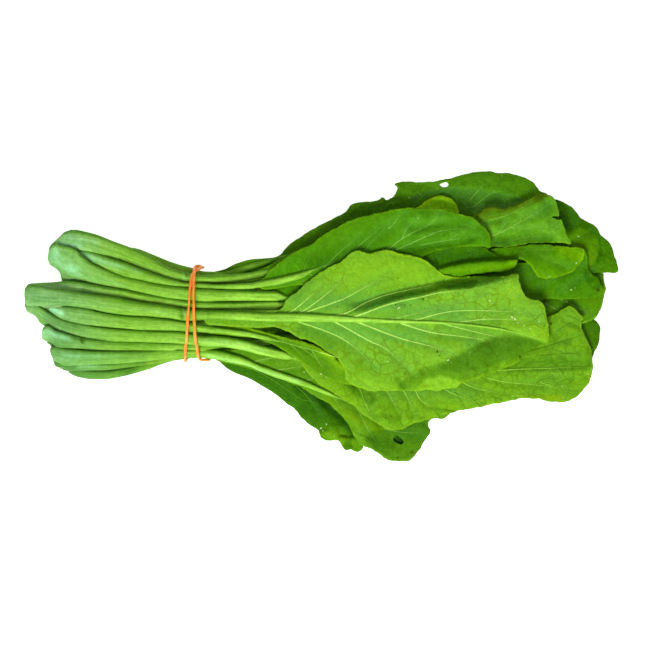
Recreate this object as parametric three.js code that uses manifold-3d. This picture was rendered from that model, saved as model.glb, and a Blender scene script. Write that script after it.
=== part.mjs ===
// A bunch of mustard greens held by one rubber band and lying on its side.
//
// Five small plants (a to e) are gathered side by side. Each plant is a cut crown
// with four or five leaves round it, and each leaf is one grown piece: a thick
// petiole that runs on as the midrib of a thin, broad blade. The petioles are packed
// into an oval bundle where the rubber band passes twice round them, and beyond it
// the blades fan out and lie on each other like the pages of a loose book.
//
// Units are millimetres, +Z is up and the bunch rests on z = 0. Crowns point to -X and leaf
// tips to +X. The origin is on the resting surface, under the middle of the bunch.

import * as THREE from 'three';
import { mergeVertices } from 'three/addons/utils/BufferGeometryUtils.js';
import Module from 'manifold-3d';

// ---------------------------------------------------------------- driving dimensions
const BLADE_THICKNESS = 0.7; // leaf blade with its veins
const GRID = 12; // pitch of the common grid that carries the height of every blade
const GRID_ORIGIN = [-78, -90]; // x, y of grid node 0, 0
const SMALLEST_STEP = 0.06; // facets finer than this are merged
const GAP = 0.32; // clearance between neighbouring pieces
const PETIOLE_SIDES = 6;
const CROWN_SIDES = 10;
const BAND_STRAND = 1.6; // diameter of the rubber band's strand
const BAND_CENTRE = [0.74, 15.8]; // y, z of the middle of the bundle at the band
const BAND_X_TURNS = [
  // angle round the bundle in degrees (0 = +Y side, 90 = top), x of the strand,
  // lift of the strand off the bundle where it crosses its other turn
  [0, -72.4, 0], [30, -73.1, 0], [60, -74.7, 0], [90, -76.2, 0], [120, -77.3, 0], [150, -77.7, 0],
  [180, -77.5, 0], [210, -77.2, 0], [240, -76.6, 0], [270, -75.8, 0], [300, -74.1, 0.9], [325, -71.4, 1.8],
  [345, -69.2, 1.2], [360, -67.5, 0.4], [375, -69.0, 0.8], [390, -71.6, 1.5], [405, -72.6, 1.6],
  [420, -72.8, 1.4], [435, -72.9, 0.8], [450, -72.8, 0.1], [480, -71.2, 0], [500, -70.2, 0], [510, -69.0, 0],
  [525, -66.4, 0], [540, -64.0, 0], [570, -64.4, 0], [600, -65.3, 0], [630, -66.5, 0], [660, -68.9, 0],
  [690, -71.2, 0], [705, -72.0, 0],
];
// Distance of the tight wrap round the bundle from its middle, every 10 degrees, as a
// support function: the petioles never reach past it.
const BUNDLE_SUPPORT = [25.35, 25.42, 24.85, 23.71, 21.91, 19.81, 17.95, 15.88, 14.15, 14.08, 14.31, 15.82, 17.4, 19.37, 21.67, 23.4, 24.48, 24.91, 25, 25.19, 24.7, 23.55, 21.74, 19.78, 18.07, 15.87, 14.31, 13.08, 13.9, 15.77, 17.93, 20.11, 21.88, 23.17, 23.81, 24.58];

// Middle of the model's footprint in these coordinates; the whole group is moved so that
// it comes to the origin.
const FOOTPRINT_CENTRE = [0.285, 0];

const COLOURS = {
  top: 0x6fa82a, upper: 0x4f8f1c, middle: 0x3d7a14, deep: 0x2f6610, crown: 0xc3d69a, band: 0xff7a2c,
};
const LEAF_COLOUR = {
  B2: 'top', B3: 'upper', B4: 'upper', A2: 'upper', A1: 'upper', A3: 'middle', B1: 'upper', D1: 'middle',
  D2: 'deep', B5: 'middle', E1: 'middle', A1b: 'deep', A4: 'middle', C1: 'deep', E2: 'deep', C2: 'deep',
  D3: 'middle', E3: 'deep', C3: 'deep', E4: 'deep', D4: 'deep',
};

// Each leaf, from the one that lies lowest to the one on top.
// stalk:   sections of the petiole and midrib, each [x, yA, zA, yB, zB, r]: a flattened
//          round bar as wide as the line from A to B with radius r about it.
// outline: the blade seen from above, x and y, counter-clockwise.
// at, heights: first grid node of the blade and the height of its underside at the grid
//          nodes in hundredths of a millimetre, one row per x; -1 where there is no blade.
const LEAVES = {
  D4: {
    stalk: [[-149.05, -20.12, 4.69, -16.63, 7.35, 2.8], [-143.35, -20.05, 4.95, -16.74, 7.31, 2.8], [-134.23, -20.65, 6.54, -17.21, 7.33, 2.8], [-123.97, -19.41, 6.52, -16.55, 7.35, 2.77], [-112.57, -17.88, 6.57, -15.61, 7.27, 2.72], [-100.03, -15.87, 6.59, -13.95, 7.11, 2.67], [-87.49, -13.17, 6.36, -11.61, 7.03, 2.64], [-77.23, -9.94, 5.8, -9.48, 7.17, 2.61], [-55.57, -11.16, 5.99, -10.3, 6.87, 2.46], [-43.03, -14.68, 4.35, -13.33, 4.35, 2.24], [-14.53, -21.53, 1.92, -20.33, 1.92, 1.9], [1.42, -25.09, 1.69, -24.08, 1.69, 1.67], [19.66, -28.68, 1.42, -27.88, 1.42, 1.4], [40.18, -31.94, 1.23, -31.33, 1.23, 1.21], [67.54, -34.88, 0.99, -34.49, 0.99, 0.97]],
    outline: [[-24.79, -23.72], [-0.85, -36.2], [27.64, -45.31], [61.84, -48.73], [90.34, -48.73], [135.94, -43.03], [142.78, -36.2], [139.36, -30.49], [124.54, -25.93], [50.44, -23.65], [-24.79, -14.25]],
    at: [4, 3],
    heights: [[-1, -1, 382, 156, 0], [-1, 300, 335, 138, 0], [-1, 266, 286, 98, 0], [-1, 214, 226, 34, 0], [133, 154, 159, 0, 0], [117, 121, 123, 0, -1], [109, 117, 110, 0, -1], [0, 108, 0, 0, -1], [0, 0, 0, 0, -1], [0, 0, 0, 0, -1], [0, 0, 0, 0, -1], [0, 0, 0, 0, -1], [0, 0, 0, 0, -1], [0, 0, 0, 0, -1], [0, 0, 0, 0, -1], [-1, 0, 0, -1, -1]],
  },
  E4: {
    stalk: [[-147.91, 5.23, 6.2, 8.14, 3, 2.8], [-143.35, 5.3, 6.38, 7.89, 3.25, 2.8], [-134.23, 5.49, 6.92, 8.09, 4.53, 2.8], [-123.97, 4.27, 6.42, 6.64, 4.61, 2.77], [-112.57, 2.83, 5.97, 4.94, 4.88, 2.72], [-100.03, 1.1, 5.64, 3.03, 5.18, 2.67], [-87.49, -0.61, 5.48, 1.07, 5.34, 2.64], [-77.23, -1.95, 5.4, -0.5, 5.36, 2.61], [-55.57, -4.77, 5.13, -3.55, 5.13, 2.46], [-43.03, -6.52, 2.26, -5.14, 2.26, 2.24], [-14.53, -10.19, 3.53, -8.99, 3.53, 1.9], [1.42, -12.16, 3.28, -11.15, 3.28, 1.67], [19.66, -14.34, 2.44, -13.54, 2.44, 1.4], [40.18, -16.68, 1.98, -16.07, 1.98, 1.21], [67.54, -19.2, 2.55, -18.81, 2.55, 0.97]],
    outline: [[-24.79, -12.99], [-17.95, -15.67], [39.04, -30.49], [73.24, -35.05], [107.44, -33.91], [133.09, -29.35], [142.78, -24.79], [141.64, -19.09], [127.39, -13.39], [61.84, -4.27], [21.94, -1.99], [-24.79, -4.59]],
    at: [4, 4],
    heights: [[-1, -1, 552, 269, 0], [-1, 466, 486, 270, 0], [-1, 448, 429, 268, 0], [-1, 429, 324, 252, 0], [-1, 391, 244, 225, 0], [358, 361, 222, 177, 0], [355, 347, 205, 0, 0], [345, 331, 223, 0, 0], [335, 312, 233, 0, 0], [325, 301, 233, 0, 0], [314, 290, 234, 0, -1], [303, 280, 234, 0, -1], [289, 271, 234, 0, -1], [268, 255, 233, 0, -1], [257, 246, 232, 0, -1], [-1, 238, 167, 0, -1]],
  },
  C3: {
    stalk: [[-154.75, -7.41, 12.35, -4.32, 15.89, 2.8], [-143.35, -8.01, 13.3, -5.22, 16.26, 2.8], [-134.23, -7.86, 13.45, -5.3, 15.89, 2.8], [-123.97, -7.72, 13.66, -5.37, 15.49, 2.77], [-112.57, -7.45, 13.9, -5.34, 15, 2.72], [-100.03, -6.93, 13.99, -5, 14.44, 2.67], [-87.49, -6.07, 13.76, -4.39, 13.88, 2.64], [-77.23, -5.12, 13.25, -3.67, 13.28, 2.61], [-55.57, -3.08, 11.09, -1.86, 10.99, 2.46], [-43.03, -2.03, 6.94, -0.73, 6.94, 2.24], [-14.53, 0.18, 4.43, 1.34, 4.43, 1.9], [1.42, 1.57, 3.95, 2.57, 3.95, 1.67], [19.66, 3.46, 3.14, 4.26, 3.14, 1.4], [40.18, 5.97, 2.52, 6.58, 2.52, 1.21], [67.54, 9.78, 1.94, 10.16, 1.94, 0.97]],
    outline: [[-24.79, -5.06], [-12.25, -6.55], [21.94, -7.69], [56.14, -5.41], [90.34, -0.85], [118.84, 5.98], [135.94, 11.68], [142.78, 19.66], [140.5, 26.5], [130.24, 31.06], [113.14, 31.06], [50.44, 20.23], [-24.79, 2.56]],
    at: [4, 6],
    heights: [[-1, 548, 456, -1, -1, -1], [605, 558, 395, 225, -1, -1], [595, 588, 336, 163, -1, -1], [508, 511, 309, 0, -1, -1], [451, 454, 279, 0, -1, -1], [428, 411, 262, 98, 0, -1], [405, 348, 242, 113, 0, -1], [449, 301, 233, 122, 0, -1], [-1, 250, 222, 105, 0, -1], [-1, 233, 205, 0, 0, -1], [-1, 230, 144, 0, 0, -1], [-1, 229, 106, 0, 0, 0], [-1, 225, 0, 0, 0, 0], [-1, 224, 0, 0, 0, 0], [-1, -1, 0, 0, 0, 0], [-1, -1, 0, 0, 0, -1]],
  },
  E3: {
    stalk: [[-145.63, 3.01, 14.76, 6.78, 13.25, 2.8], [-134.23, 3.71, 13.97, 7.06, 12.86, 2.8], [-123.97, 4.12, 13.16, 6.98, 12.31, 2.77], [-112.57, 4.34, 12.22, 6.67, 11.7, 2.72], [-100.03, 4.29, 11.27, 6.26, 11.05, 2.67], [-87.49, 4.12, 10.52, 5.81, 10.45, 2.64], [-77.23, 4.02, 10.13, 5.47, 10.1, 2.61], [-55.57, 3.87, 10.16, 5.09, 10.05, 2.46], [-43.03, 3.77, 10.02, 5.07, 10.02, 2.24], [-14.53, 3.9, 8.07, 5.06, 8.07, 1.9], [1.42, 3.88, 7.74, 4.87, 7.74, 1.67], [19.66, 3.58, 6.43, 4.38, 6.43, 1.4], [40.18, 2.84, 5.35, 3.45, 5.35, 1.21], [67.54, 1.34, 4.76, 1.72, 4.76, 0.97]],
    outline: [[-24.79, -0.2], [50.44, -12.25], [84.64, -15.67], [118.84, -15.67], [138.79, -12.25], [146.2, -6.55], [142.78, -0.85], [127.39, 7.12], [56.14, 17.38], [16.24, 16.24], [-24.79, 7.98]],
    at: [4, 6],
    heights: [[-1, 673, 845, 360], [-1, 660, 822, 360], [-1, 763, 805, 330], [688, 744, 745, 287], [657, 693, 638, 254], [633, 646, 564, 394], [606, 586, 494, 376], [677, 536, 467, 360], [552, 486, 446, 341], [496, 465, 423, 311], [476, 461, 376, 293], [471, 457, 339, 292], [471, 451, 304, 274], [466, 449, 278, 249], [464, 374, 248, 235], [405, 336, 239, -1]],
  },
  D3: {
    stalk: [[-145.63, -31.85, 7.77, -28.99, 5.32, 2.8], [-134.23, -31.5, 7.84, -28.57, 6.42, 2.8], [-123.97, -30.78, 7.41, -28.14, 6.7, 2.77], [-112.57, -28.82, 7.28, -26.61, 7.02, 2.7], [-100.03, -25.42, 7.07, -23.55, 7.29, 2.67], [-87.49, -20.58, 6.66, -19.29, 7.5, 2.63], [-77.23, -16.26, 8.21, -15.11, 7.69, 2.61], [-55.57, -16.16, 7.89, -16.85, 8.73, 2.37], [-43.03, -20.95, 7.63, -19.98, 7.63, 2.23], [-14.53, -29.12, 7.51, -28.12, 7.51, 1.8], [1.42, -33.45, 7.1, -32.55, 7.1, 1.57], [19.66, -37.66, 6.44, -36.86, 6.44, 1.3], [40.18, -41.13, 6.12, -40.51, 6.12, 1.11], [67.54, -43.49, 5.87, -43.09, 5.87, 0.9]],
    outline: [[-24.79, -31.74], [-0.85, -43.03], [21.94, -51.01], [44.74, -54.43], [67.54, -52.15], [80.08, -48.73], [83.5, -43.03], [76.09, -37.33], [-0.85, -20.23], [-24.79, -18.14]],
    at: [4, 2],
    heights: [[-1, -1, 701, 714, 661, 780], [-1, -1, 695, 746, 707, 762], [-1, 565, 657, 734, 789, -1], [-1, 557, 635, 718, 869, -1], [-1, 535, 604, 686, 865, -1], [-1, 502, 596, 683, 840, -1], [530, 537, 593, 671, 807, -1], [534, 547, 583, 608, -1, -1], [-1, 557, 572, 566, -1, -1], [-1, 557, 563, 549, -1, -1], [-1, 554, 552, 532, -1, -1]],
  },
  C2: {
    stalk: [[-156.46, -21.3, 17.79, -18.88, 14.11, 2.8], [-151.33, -22.27, 14.43, -17.88, 13.36, 2.8], [-143.35, -21.46, 13.5, -17.39, 13.6, 2.8], [-134.23, -20.61, 12.77, -17.17, 13.6, 2.8], [-123.97, -19.8, 13.04, -16.94, 13.9, 2.77], [-112.57, -18.9, 13.68, -16.57, 14.18, 2.72], [-100.03, -17.81, 14.1, -15.84, 14.29, 2.67], [-87.49, -16.51, 14.25, -14.82, 14.27, 2.64], [-77.23, -15.2, 14.22, -13.75, 14.11, 2.61], [-55.57, -13.42, 13, -12.19, 13.01, 2.46], [-43.03, -13.15, 9.88, -11.78, 9.88, 2.24], [-14.53, -13.55, 10.31, -12.35, 10.31, 1.9], [1.42, -14.08, 9.96, -13.07, 9.96, 1.67], [19.66, -14.7, 10.33, -13.9, 10.33, 1.4], [40.18, -15.24, 9.84, -14.63, 9.84, 1.21], [67.54, -15.54, 8.2, -15.16, 8.2, 0.97]],
    outline: [[-24.79, -16.18], [10.54, -23.65], [44.74, -27.64], [113.14, -29.35], [141.64, -28.21], [153.04, -24.79], [157.6, -16.24], [158.74, -5.41], [155.32, -1.42], [130.24, 1.42], [16.24, -3.13], [-24.79, -8.74]],
    at: [4, 5],
    heights: [[-1, 959, 1155, -1], [992, 908, 1363, 952], [974, 1014, 1028, 1102], [926, 1051, 947, 964], [914, 1074, 925, 863], [964, 1048, 889, 798], [941, 1009, 835, 728], [861, 907, 770, 700], [804, 831, 719, 673], [787, 783, 696, 648], [770, 738, 691, 607], [736, 726, 689, 569], [713, 708, 680, 538], [697, 700, 676, 513], [680, 698, 612, 484], [646, 643, 574, 476], [618, 592, 517, 435]],
  },
  E2: {
    stalk: [[-145.63, 20.15, 3.07, 22.23, 6.56, 2.8], [-134.23, 18.21, 4.61, 20.22, 7.51, 2.8], [-123.97, 17.54, 5.24, 19.52, 7.48, 2.77], [-112.57, 16.59, 6.06, 18.54, 7.43, 2.72], [-100.03, 15.38, 6.86, 17.3, 7.37, 2.67], [-87.49, 14.19, 7.3, 15.88, 7.26, 2.64], [-77.23, 13.24, 7.38, 14.59, 6.82, 2.61], [-55.57, 13.94, 6.81, 15.17, 6.87, 2.46], [-43.03, 18.07, 2.37, 19.43, 2.37, 2.24], [-14.53, 31.7, 2.31, 32.9, 2.31, 1.9], [1.42, 41.03, 1.88, 42.04, 1.88, 1.67], [19.66, 52.17, 1.45, 52.97, 1.45, 1.4], [30.49, 52.17, 1.45, 52.97, 1.45, 1.4]],
    outline: [[-23.65, 16.24], [33.34, 36.76], [44.74, 44.74], [49.3, 53.86], [44.74, 60.7], [36.2, 62.98], [27.64, 61.27], [-0.85, 48.16], [-24.79, 30.22]],
    at: [4, 8],
    heights: [[1010, 486, 174, 183, -1, -1], [1054, 512, 241, 201, 180, -1], [-1, 496, 250, 181, 166, -1], [-1, 489, 252, 183, 144, 127], [-1, 482, 233, 174, 134, 114], [-1, -1, 237, 151, 103, 89], [-1, -1, 229, 120, 71, 64], [-1, -1, -1, 76, 47, 50]],
  },
  C1: {
    stalk: [[-158.17, -12.41, 27.85, -7.57, 28.33, 2.8], [-151.33, -13.72, 27.94, -9.21, 27.71, 2.8], [-143.35, -15.05, 26.47, -11.03, 25.85, 2.8], [-134.23, -16.09, 26.11, -12.73, 25.03, 2.8], [-123.97, -16.84, 25.49, -14.19, 24.13, 2.77], [-112.57, -17.2, 24.51, -15.23, 23.18, 2.72], [-100.03, -17.32, 23.33, -15.75, 22.11, 2.67], [-87.49, -16.85, 22.36, -15.67, 21.15, 2.64], [-77.23, -16.01, 21.46, -15.18, 20.26, 2.61], [-55.57, -15.71, 18.39, -14.48, 18.38, 2.46], [-43.03, -15.55, 15.01, -14.17, 15.01, 2.24], [-14.53, -12.8, 14.61, -11.61, 14.61, 1.9], [1.42, -10.42, 13.47, -9.41, 13.47, 1.67], [19.66, -7.42, 12.12, -6.62, 12.12, 1.4], [40.18, -3.99, 10.68, -3.38, 10.68, 1.21], [67.54, 0.28, 9.38, 0.67, 9.38, 0.97]],
    outline: [[-24.79, -17.65], [-12.25, -17.38], [56.14, -9.97], [147.34, -4.27], [155.32, -1.42], [158.74, 2.56], [162.16, 16.24], [159.88, 25.36], [141.64, 25.36], [113.14, 21.94], [78.94, 15.1], [-24.79, -11.68]],
    at: [4, 6],
    heights: [[1473, 1507, -1, -1, -1], [1437, 1505, -1, -1, -1], [1345, 1441, 1204, -1, -1], [1306, 1321, 1167, -1, -1], [1292, 1212, 1088, -1, -1], [1267, 1135, 1033, -1, -1], [1230, 1070, 962, 613, -1], [1144, 1004, 935, 597, -1], [1068, 951, 901, 576, -1], [1020, 921, 875, 547, -1], [977, 926, 837, 528, 328], [964, 923, 798, 523, 340], [946, 912, 772, 506, 344], [938, 912, 749, 486, 345], [-1, 850, 721, 470, 347], [-1, 811, 713, 445, 355], [-1, 755, 673, 437, 363], [-1, -1, 553, 438, -1]],
  },
  A4: {
    stalk: [[-151.33, 28.97, 14.92, 32.72, 12.39, 2.8], [-143.35, 29.18, 16.53, 32.51, 14.2, 2.8], [-134.23, 27.78, 16.14, 30.64, 14.07, 2.8], [-123.97, 26.06, 15.84, 28.49, 14.11, 2.77], [-112.57, 23.99, 15.64, 26.01, 14.39, 2.72], [-100.03, 21.51, 15.67, 23.33, 14.85, 2.67], [-87.49, 19.18, 16.11, 20.67, 15.3, 2.64], [-77.23, 17.52, 16.12, 18.63, 15.19, 2.61], [-55.57, 17.97, 15.44, 18.18, 14.23, 2.46], [-43.03, 19.14, 7.32, 20.14, 7.32, 2.24], [-14.53, 23.71, 6.98, 24.9, 6.98, 1.9], [1.42, 26.68, 6.2, 27.68, 6.2, 1.67], [19.66, 29.68, 5.08, 30.48, 5.08, 1.4], [40.18, 32.54, 4.48, 33.15, 4.48, 1.21], [67.54, 35.66, 4.18, 36.05, 4.18, 0.97]],
    outline: [[-24.79, 15.15], [-0.85, 19.09], [169, 25.36], [163.3, 43.03], [141.64, 62.98], [133.66, 66.69], [67.54, 51.58], [4.84, 33.34], [-24.79, 22.63]],
    at: [4, 8],
    heights: [[1112, 814, 691, -1, -1, -1, -1], [1156, 778, 642, -1, -1, -1, -1], [1306, 769, 600, 545, -1, -1, -1], [-1, 693, 567, 509, -1, -1, -1], [-1, 712, 507, 445, -1, -1, -1], [-1, 674, 474, 408, 341, -1, -1], [-1, 851, 457, 373, 309, -1, -1], [-1, 835, 440, 362, 285, -1, -1], [-1, 811, 477, 333, 265, -1, -1], [-1, 784, 524, 332, 247, 180, -1], [-1, 763, 566, 349, 240, 167, -1], [-1, 755, 578, 357, 243, 178, -1], [-1, 739, 582, 374, 228, 179, -1], [-1, 721, 583, 388, 229, 179, 151], [-1, 705, 585, 399, 239, 194, 164], [-1, 682, 593, 419, 312, 261, -1], [-1, 675, 601, 458, 363, 304, -1], [-1, 676, 579, 476, 412, -1, -1]],
  },
  A1b: {
    stalk: [[-142.21, 41.46, 15.46, 45.45, 15.12, 2.8], [-134.23, 39.86, 15.15, 43.37, 14.73, 2.8], [-123.97, 37.62, 14.68, 40.56, 14.18, 2.77], [-112.57, 34.78, 13.94, 37.11, 13.45, 2.72], [-100.03, 30.83, 12.71, 32.78, 12.32, 2.67], [-87.49, 25.73, 10.84, 27.41, 10.66, 2.64], [-77.23, 20.76, 10.26, 19.61, 9.37, 2.61], [-55.57, 19.79, 9.44, 20.87, 10.03, 2.46], [-43.03, 26.01, 13.18, 26.93, 13.18, 2.24], [-14.53, 36.04, 9.42, 37.24, 9.42, 1.9], [1.42, 42.37, 8.06, 43.39, 8.06, 1.67], [19.66, 49.16, 6.88, 49.96, 6.88, 1.4], [40.18, 55.68, 5.94, 56.29, 5.94, 1.21], [67.54, 62.37, 5, 62.75, 5, 0.97]],
    outline: [[-40.75, 23.84], [-12.25, 28.78], [96.04, 52.72], [124.54, 62.98], [129.1, 68.68], [120.55, 76.66], [106.3, 81.79], [87.49, 82.36], [67.54, 76.09], [44.74, 76.66], [41.32, 75.24], [43.03, 73.81], [40.75, 68.11], [17.38, 64.12], [13.39, 59.56], [-17.95, 41.32], [-23.08, 35.62], [-40.75, 32.49]],
    at: [3, 9],
    heights: [[1142, 1250, 1119, -1, -1, -1, -1], [992, 1058, 997, -1, -1, -1, -1], [881, 1023, 867, 783, -1, -1, -1], [892, 905, 792, 716, 658, -1, -1], [-1, 793, 731, 662, 617, -1, -1], [-1, 732, 677, 615, 558, 515, -1], [-1, 699, 645, 579, 519, 489, -1], [-1, 680, 611, 547, 485, 458, -1], [-1, 659, 599, 523, 457, 425, -1], [-1, -1, 571, 503, 432, 386, 356], [-1, -1, 569, 485, 418, 368, 344], [-1, -1, 587, 478, 405, 358, 338], [-1, -1, 594, 481, 416, 362, 339], [-1, -1, -1, 466, 417, 370, 347], [-1, -1, -1, 467, 417, 389, 359], [-1, -1, -1, 477, 432, 402, -1]],
  },
  E1: {
    stalk: [[-146.77, 16.97, 17.51, 20.14, 14.7, 2.8], [-134.23, 15.78, 16.28, 18.56, 14.1, 2.8], [-123.97, 15.36, 16.12, 17.72, 14.3, 2.77], [-112.57, 14.65, 15.82, 16.64, 14.51, 2.72], [-100.03, 13.52, 15.51, 15.29, 14.61, 2.67], [-87.49, 12.25, 15.4, 13.58, 14.36, 2.64], [-77.23, 11.66, 15.52, 12.27, 14.2, 2.61], [-55.57, 12.3, 16.54, 12.56, 15.34, 2.46], [-43.03, 14.4, 14.9, 15.65, 14.9, 2.24], [-14.53, 24.01, 12.37, 25.18, 12.37, 1.9], [1.42, 30.77, 11.3, 31.72, 11.3, 1.67], [19.66, 39.51, 9.87, 40.31, 9.87, 1.4], [40.18, 50.19, 8.72, 50.8, 8.72, 1.21], [67.54, 62.63, 7.66, 63.02, 7.66, 1]],
    outline: [[-24.79, 16.91], [-17.95, 19.09], [-0.85, 26.5], [61.84, 45.88], [73.24, 52.72], [78.38, 58.99], [73.24, 67.54], [67.54, 68.97], [24.79, 50.44], [-24.79, 24.54]],
    at: [4, 8],
    heights: [[1214, 1098, 1346, -1, -1, -1, -1], [1258, 989, 1248, 1207, -1, -1, -1], [-1, 1102, 1125, 1109, -1, -1, -1], [-1, 1021, 1041, 1017, 953, -1, -1], [-1, 943, 956, 937, 906, -1, -1], [-1, -1, 924, 883, 849, 802, -1], [-1, -1, 903, 849, 801, 770, -1], [-1, -1, 876, 836, 771, 728, 701], [-1, -1, -1, 808, 746, 698, 687], [-1, -1, -1, 806, 734, 697, 685], [-1, -1, -1, -1, 716, 699, -1]],
  },
  B5: {
    stalk: [[-166.15, 7.99, 17.78, 12.99, 19.48, 2.8], [-158.17, 7.85, 18.2, 12.51, 19.62, 2.8], [-151.33, 7.24, 20.06, 11.66, 20.99, 2.8], [-143.35, 7.29, 19.67, 11.29, 20.45, 2.8], [-134.23, 7.22, 19.29, 10.7, 19.93, 2.8], [-123.97, 6.99, 18.93, 9.93, 19.43, 2.77], [-112.57, 6.64, 18.62, 9, 18.94, 2.72], [-100.03, 6.04, 18.28, 8.02, 18.45, 2.67], [-87.49, 5.32, 17.87, 7, 18, 2.64], [-77.23, 4.84, 17.42, 6.29, 17.45, 2.61], [-55.57, 5.65, 16.24, 6.87, 16.33, 2.46], [-43.03, 7.09, 14.89, 8.46, 14.89, 2.24], [-14.53, 9.35, 14.96, 10.55, 14.96, 1.9], [1.42, 10.33, 14, 11.35, 14, 1.67], [19.66, 11.37, 12.91, 12.17, 12.91, 1.4], [40.18, 12.43, 12.11, 13.04, 12.11, 1.21], [67.54, 13.59, 11.24, 13.97, 11.24, 0.97]],
    outline: [[-24.79, 5.92], [27.64, 2.56], [61.84, 2.56], [90.34, 3.7], [124.54, 10.54], [147.34, 10.54], [156.46, 11.68], [158.74, 14.53], [147.34, 18.52], [151.33, 31.06], [118.84, 31.06], [-24.79, 10.42]],
    at: [4, 7],
    heights: [[1635, 1451, 1592, -1, -1], [1638, 1462, 1424, -1, -1], [1606, 1439, 1321, -1, -1], [1525, 1371, 1234, -1, -1], [1444, 1313, 1174, 1181, -1], [1372, 1267, 1128, 1150, -1], [1307, 1210, 1100, 1126, -1], [1232, 1169, 1077, 1094, -1], [1180, 1137, 1045, 976, -1], [1144, 1109, 1019, 927, -1], [1163, 1073, 997, 888, -1], [1158, 1041, 987, 880, 832], [1145, 1008, 972, 874, 831], [-1, 985, 956, 875, 833], [-1, 960, 939, 869, 834], [-1, 949, 919, 859, 834], [-1, 929, 913, 856, 841]],
  },
  D2: {
    stalk: [[-151.33, -32.05, 14.96, -30.24, 19.1, 2.8], [-143.35, -32, 14.63, -30.32, 18.33, 2.8], [-134.23, -31.26, 13.97, -30.2, 17.34, 2.8], [-123.97, -29.97, 13.45, -28.9, 16.23, 2.77], [-112.57, -28.54, 13.26, -26.87, 14.96, 2.72], [-100.03, -26.57, 13.1, -24.7, 13.76, 2.67], [-87.49, -24.29, 12.6, -22.62, 12.86, 2.64], [-77.23, -21.32, 12.72, -20.3, 11.69, 2.61], [-55.57, -21.57, 12.97, -20.87, 11.96, 2.46], [-43.03, -28.33, 12.22, -26.96, 12.22, 2.24], [-14.53, -45.76, 9.84, -44.56, 9.84, 1.9], [1.42, -58.73, 8.09, -57.72, 8.09, 1.67], [15.1, -72.72, 6.55, -71.87, 6.55, 1.47]],
    outline: [[-40.75, -35.62], [-15.1, -53.29], [0.28, -69.25], [8.83, -70.39], [13.39, -76.09], [22.51, -76.66], [26.5, -61.84], [21.94, -52.15], [13.39, -44.17], [-12.25, -31.06], [-40.75, -23.65]],
    at: [3, 1],
    heights: [[-1, -1, 891, 930, 1106, 1344], [-1, -1, 871, 938, 1146, 1594], [-1, 746, 819, 963, 1186, 1560], [633, 697, 808, 948, 1185, 1502], [596, 673, 776, 934, 1131, -1], [590, 632, 768, 912, 1143, -1], [582, 628, 739, 833, -1, -1]],
  },
  D1: {
    stalk: [[-149.05, -24.32, 20.48, -19.93, 20.27, 2.8], [-143.35, -24.42, 20.2, -20.36, 19.94, 2.8], [-134.23, -24.34, 19.05, -20.81, 18.96, 2.8], [-123.97, -23.99, 20.07, -21.15, 19.17, 2.77], [-112.57, -23.67, 20.07, -21.48, 19.15, 2.72], [-100.03, -23.24, 19.58, -21.36, 18.96, 2.67], [-87.49, -22.54, 19.23, -21.06, 18.4, 2.64], [-77.23, -21.16, 19.17, -20.32, 17.99, 2.61], [-55.57, -21.83, 18.08, -21.23, 19.15, 2.46], [-43.03, -27.41, 17.23, -26.04, 17.23, 2.24], [-14.53, -38.6, 14.3, -37.4, 14.3, 1.9], [1.42, -45.52, 12.62, -44.5, 12.62, 1.67], [19.66, -54.87, 10.66, -54.07, 10.66, 1.4], [47.59, -67.45, 8.7, -66.84, 8.7, 1.21]],
    outline: [[-40.75, -29.92], [-12.25, -40.18], [4.84, -50.44], [13.39, -58.99], [22.51, -73.24], [40.18, -82.36], [50.44, -81.79], [62.41, -64.69], [60.7, -61.84], [62.41, -58.42], [70.39, -57.85], [76.09, -50.44], [67.54, -43.03], [50.44, -35.05], [27.64, -28.21], [-12.25, -19.09], [-29.35, -16.81], [-40.75, -17.95]],
    at: [3, 0],
    heights: [[-1, -1, -1, -1, 1514, 1607, 1758, 1775], [-1, -1, -1, -1, 1432, 1544, 1717, 1796], [-1, -1, -1, 1248, 1345, 1467, 1684, 1773], [-1, -1, -1, 1174, 1275, 1409, 1660, -1], [-1, 891, 948, 1083, 1204, 1366, 1512, -1], [-1, 860, 909, 1021, 1160, 1372, 1514, -1], [770, 820, 866, 976, 1112, 1292, 1489, -1], [746, 773, 821, 927, 1055, 1220, 1455, -1], [731, 753, 804, 886, 987, 1099, -1, -1], [728, 748, 796, 857, 936, 1042, -1, -1], [-1, -1, 811, 842, 883, -1, -1, -1]],
  },
  B1: {
    stalk: [[-162.73, 15.91, 25.49, 19.07, 29.5, 2.8], [-158.17, 15.65, 25.8, 18.68, 29.61, 2.8], [-151.33, 14.72, 26.31, 17.72, 29.68, 2.8], [-143.35, 14.79, 26.35, 17.46, 29.42, 2.8], [-134.23, 14.26, 26.23, 16.56, 28.91, 2.8], [-123.97, 13.15, 25.91, 15.11, 28.16, 2.77], [-112.57, 11.62, 25.42, 13.25, 27.16, 2.72], [-100.03, 9.64, 24.72, 11.07, 26.1, 2.67], [-87.49, 7.69, 23.89, 8.81, 25.16, 2.64], [-77.23, 6.42, 23.16, 7.3, 24.31, 2.61], [-55.57, 5.21, 21.7, 6.43, 21.81, 2.46], [-43.03, 5.53, 19.95, 6.9, 19.95, 2.24], [-14.53, 7.82, 19.18, 9.02, 19.18, 1.9], [1.42, 9.88, 17.82, 10.89, 17.82, 1.67], [19.66, 12.47, 16.2, 13.27, 16.2, 1.4], [40.18, 15.54, 14.54, 16.16, 14.54, 1.21], [67.54, 19.89, 13.13, 20.27, 13.13, 0.97]],
    outline: [[-32.2, 4.27], [16.24, 1.99], [44.74, 2.56], [73.24, 6.55], [96.04, 11.68], [122.26, 23.65], [125.68, 21.66], [139.36, 23.08], [147.34, 29.92], [150.19, 37.9], [120.55, 41.32], [-33.91, 8.26]],
    at: [3, 7],
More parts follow.
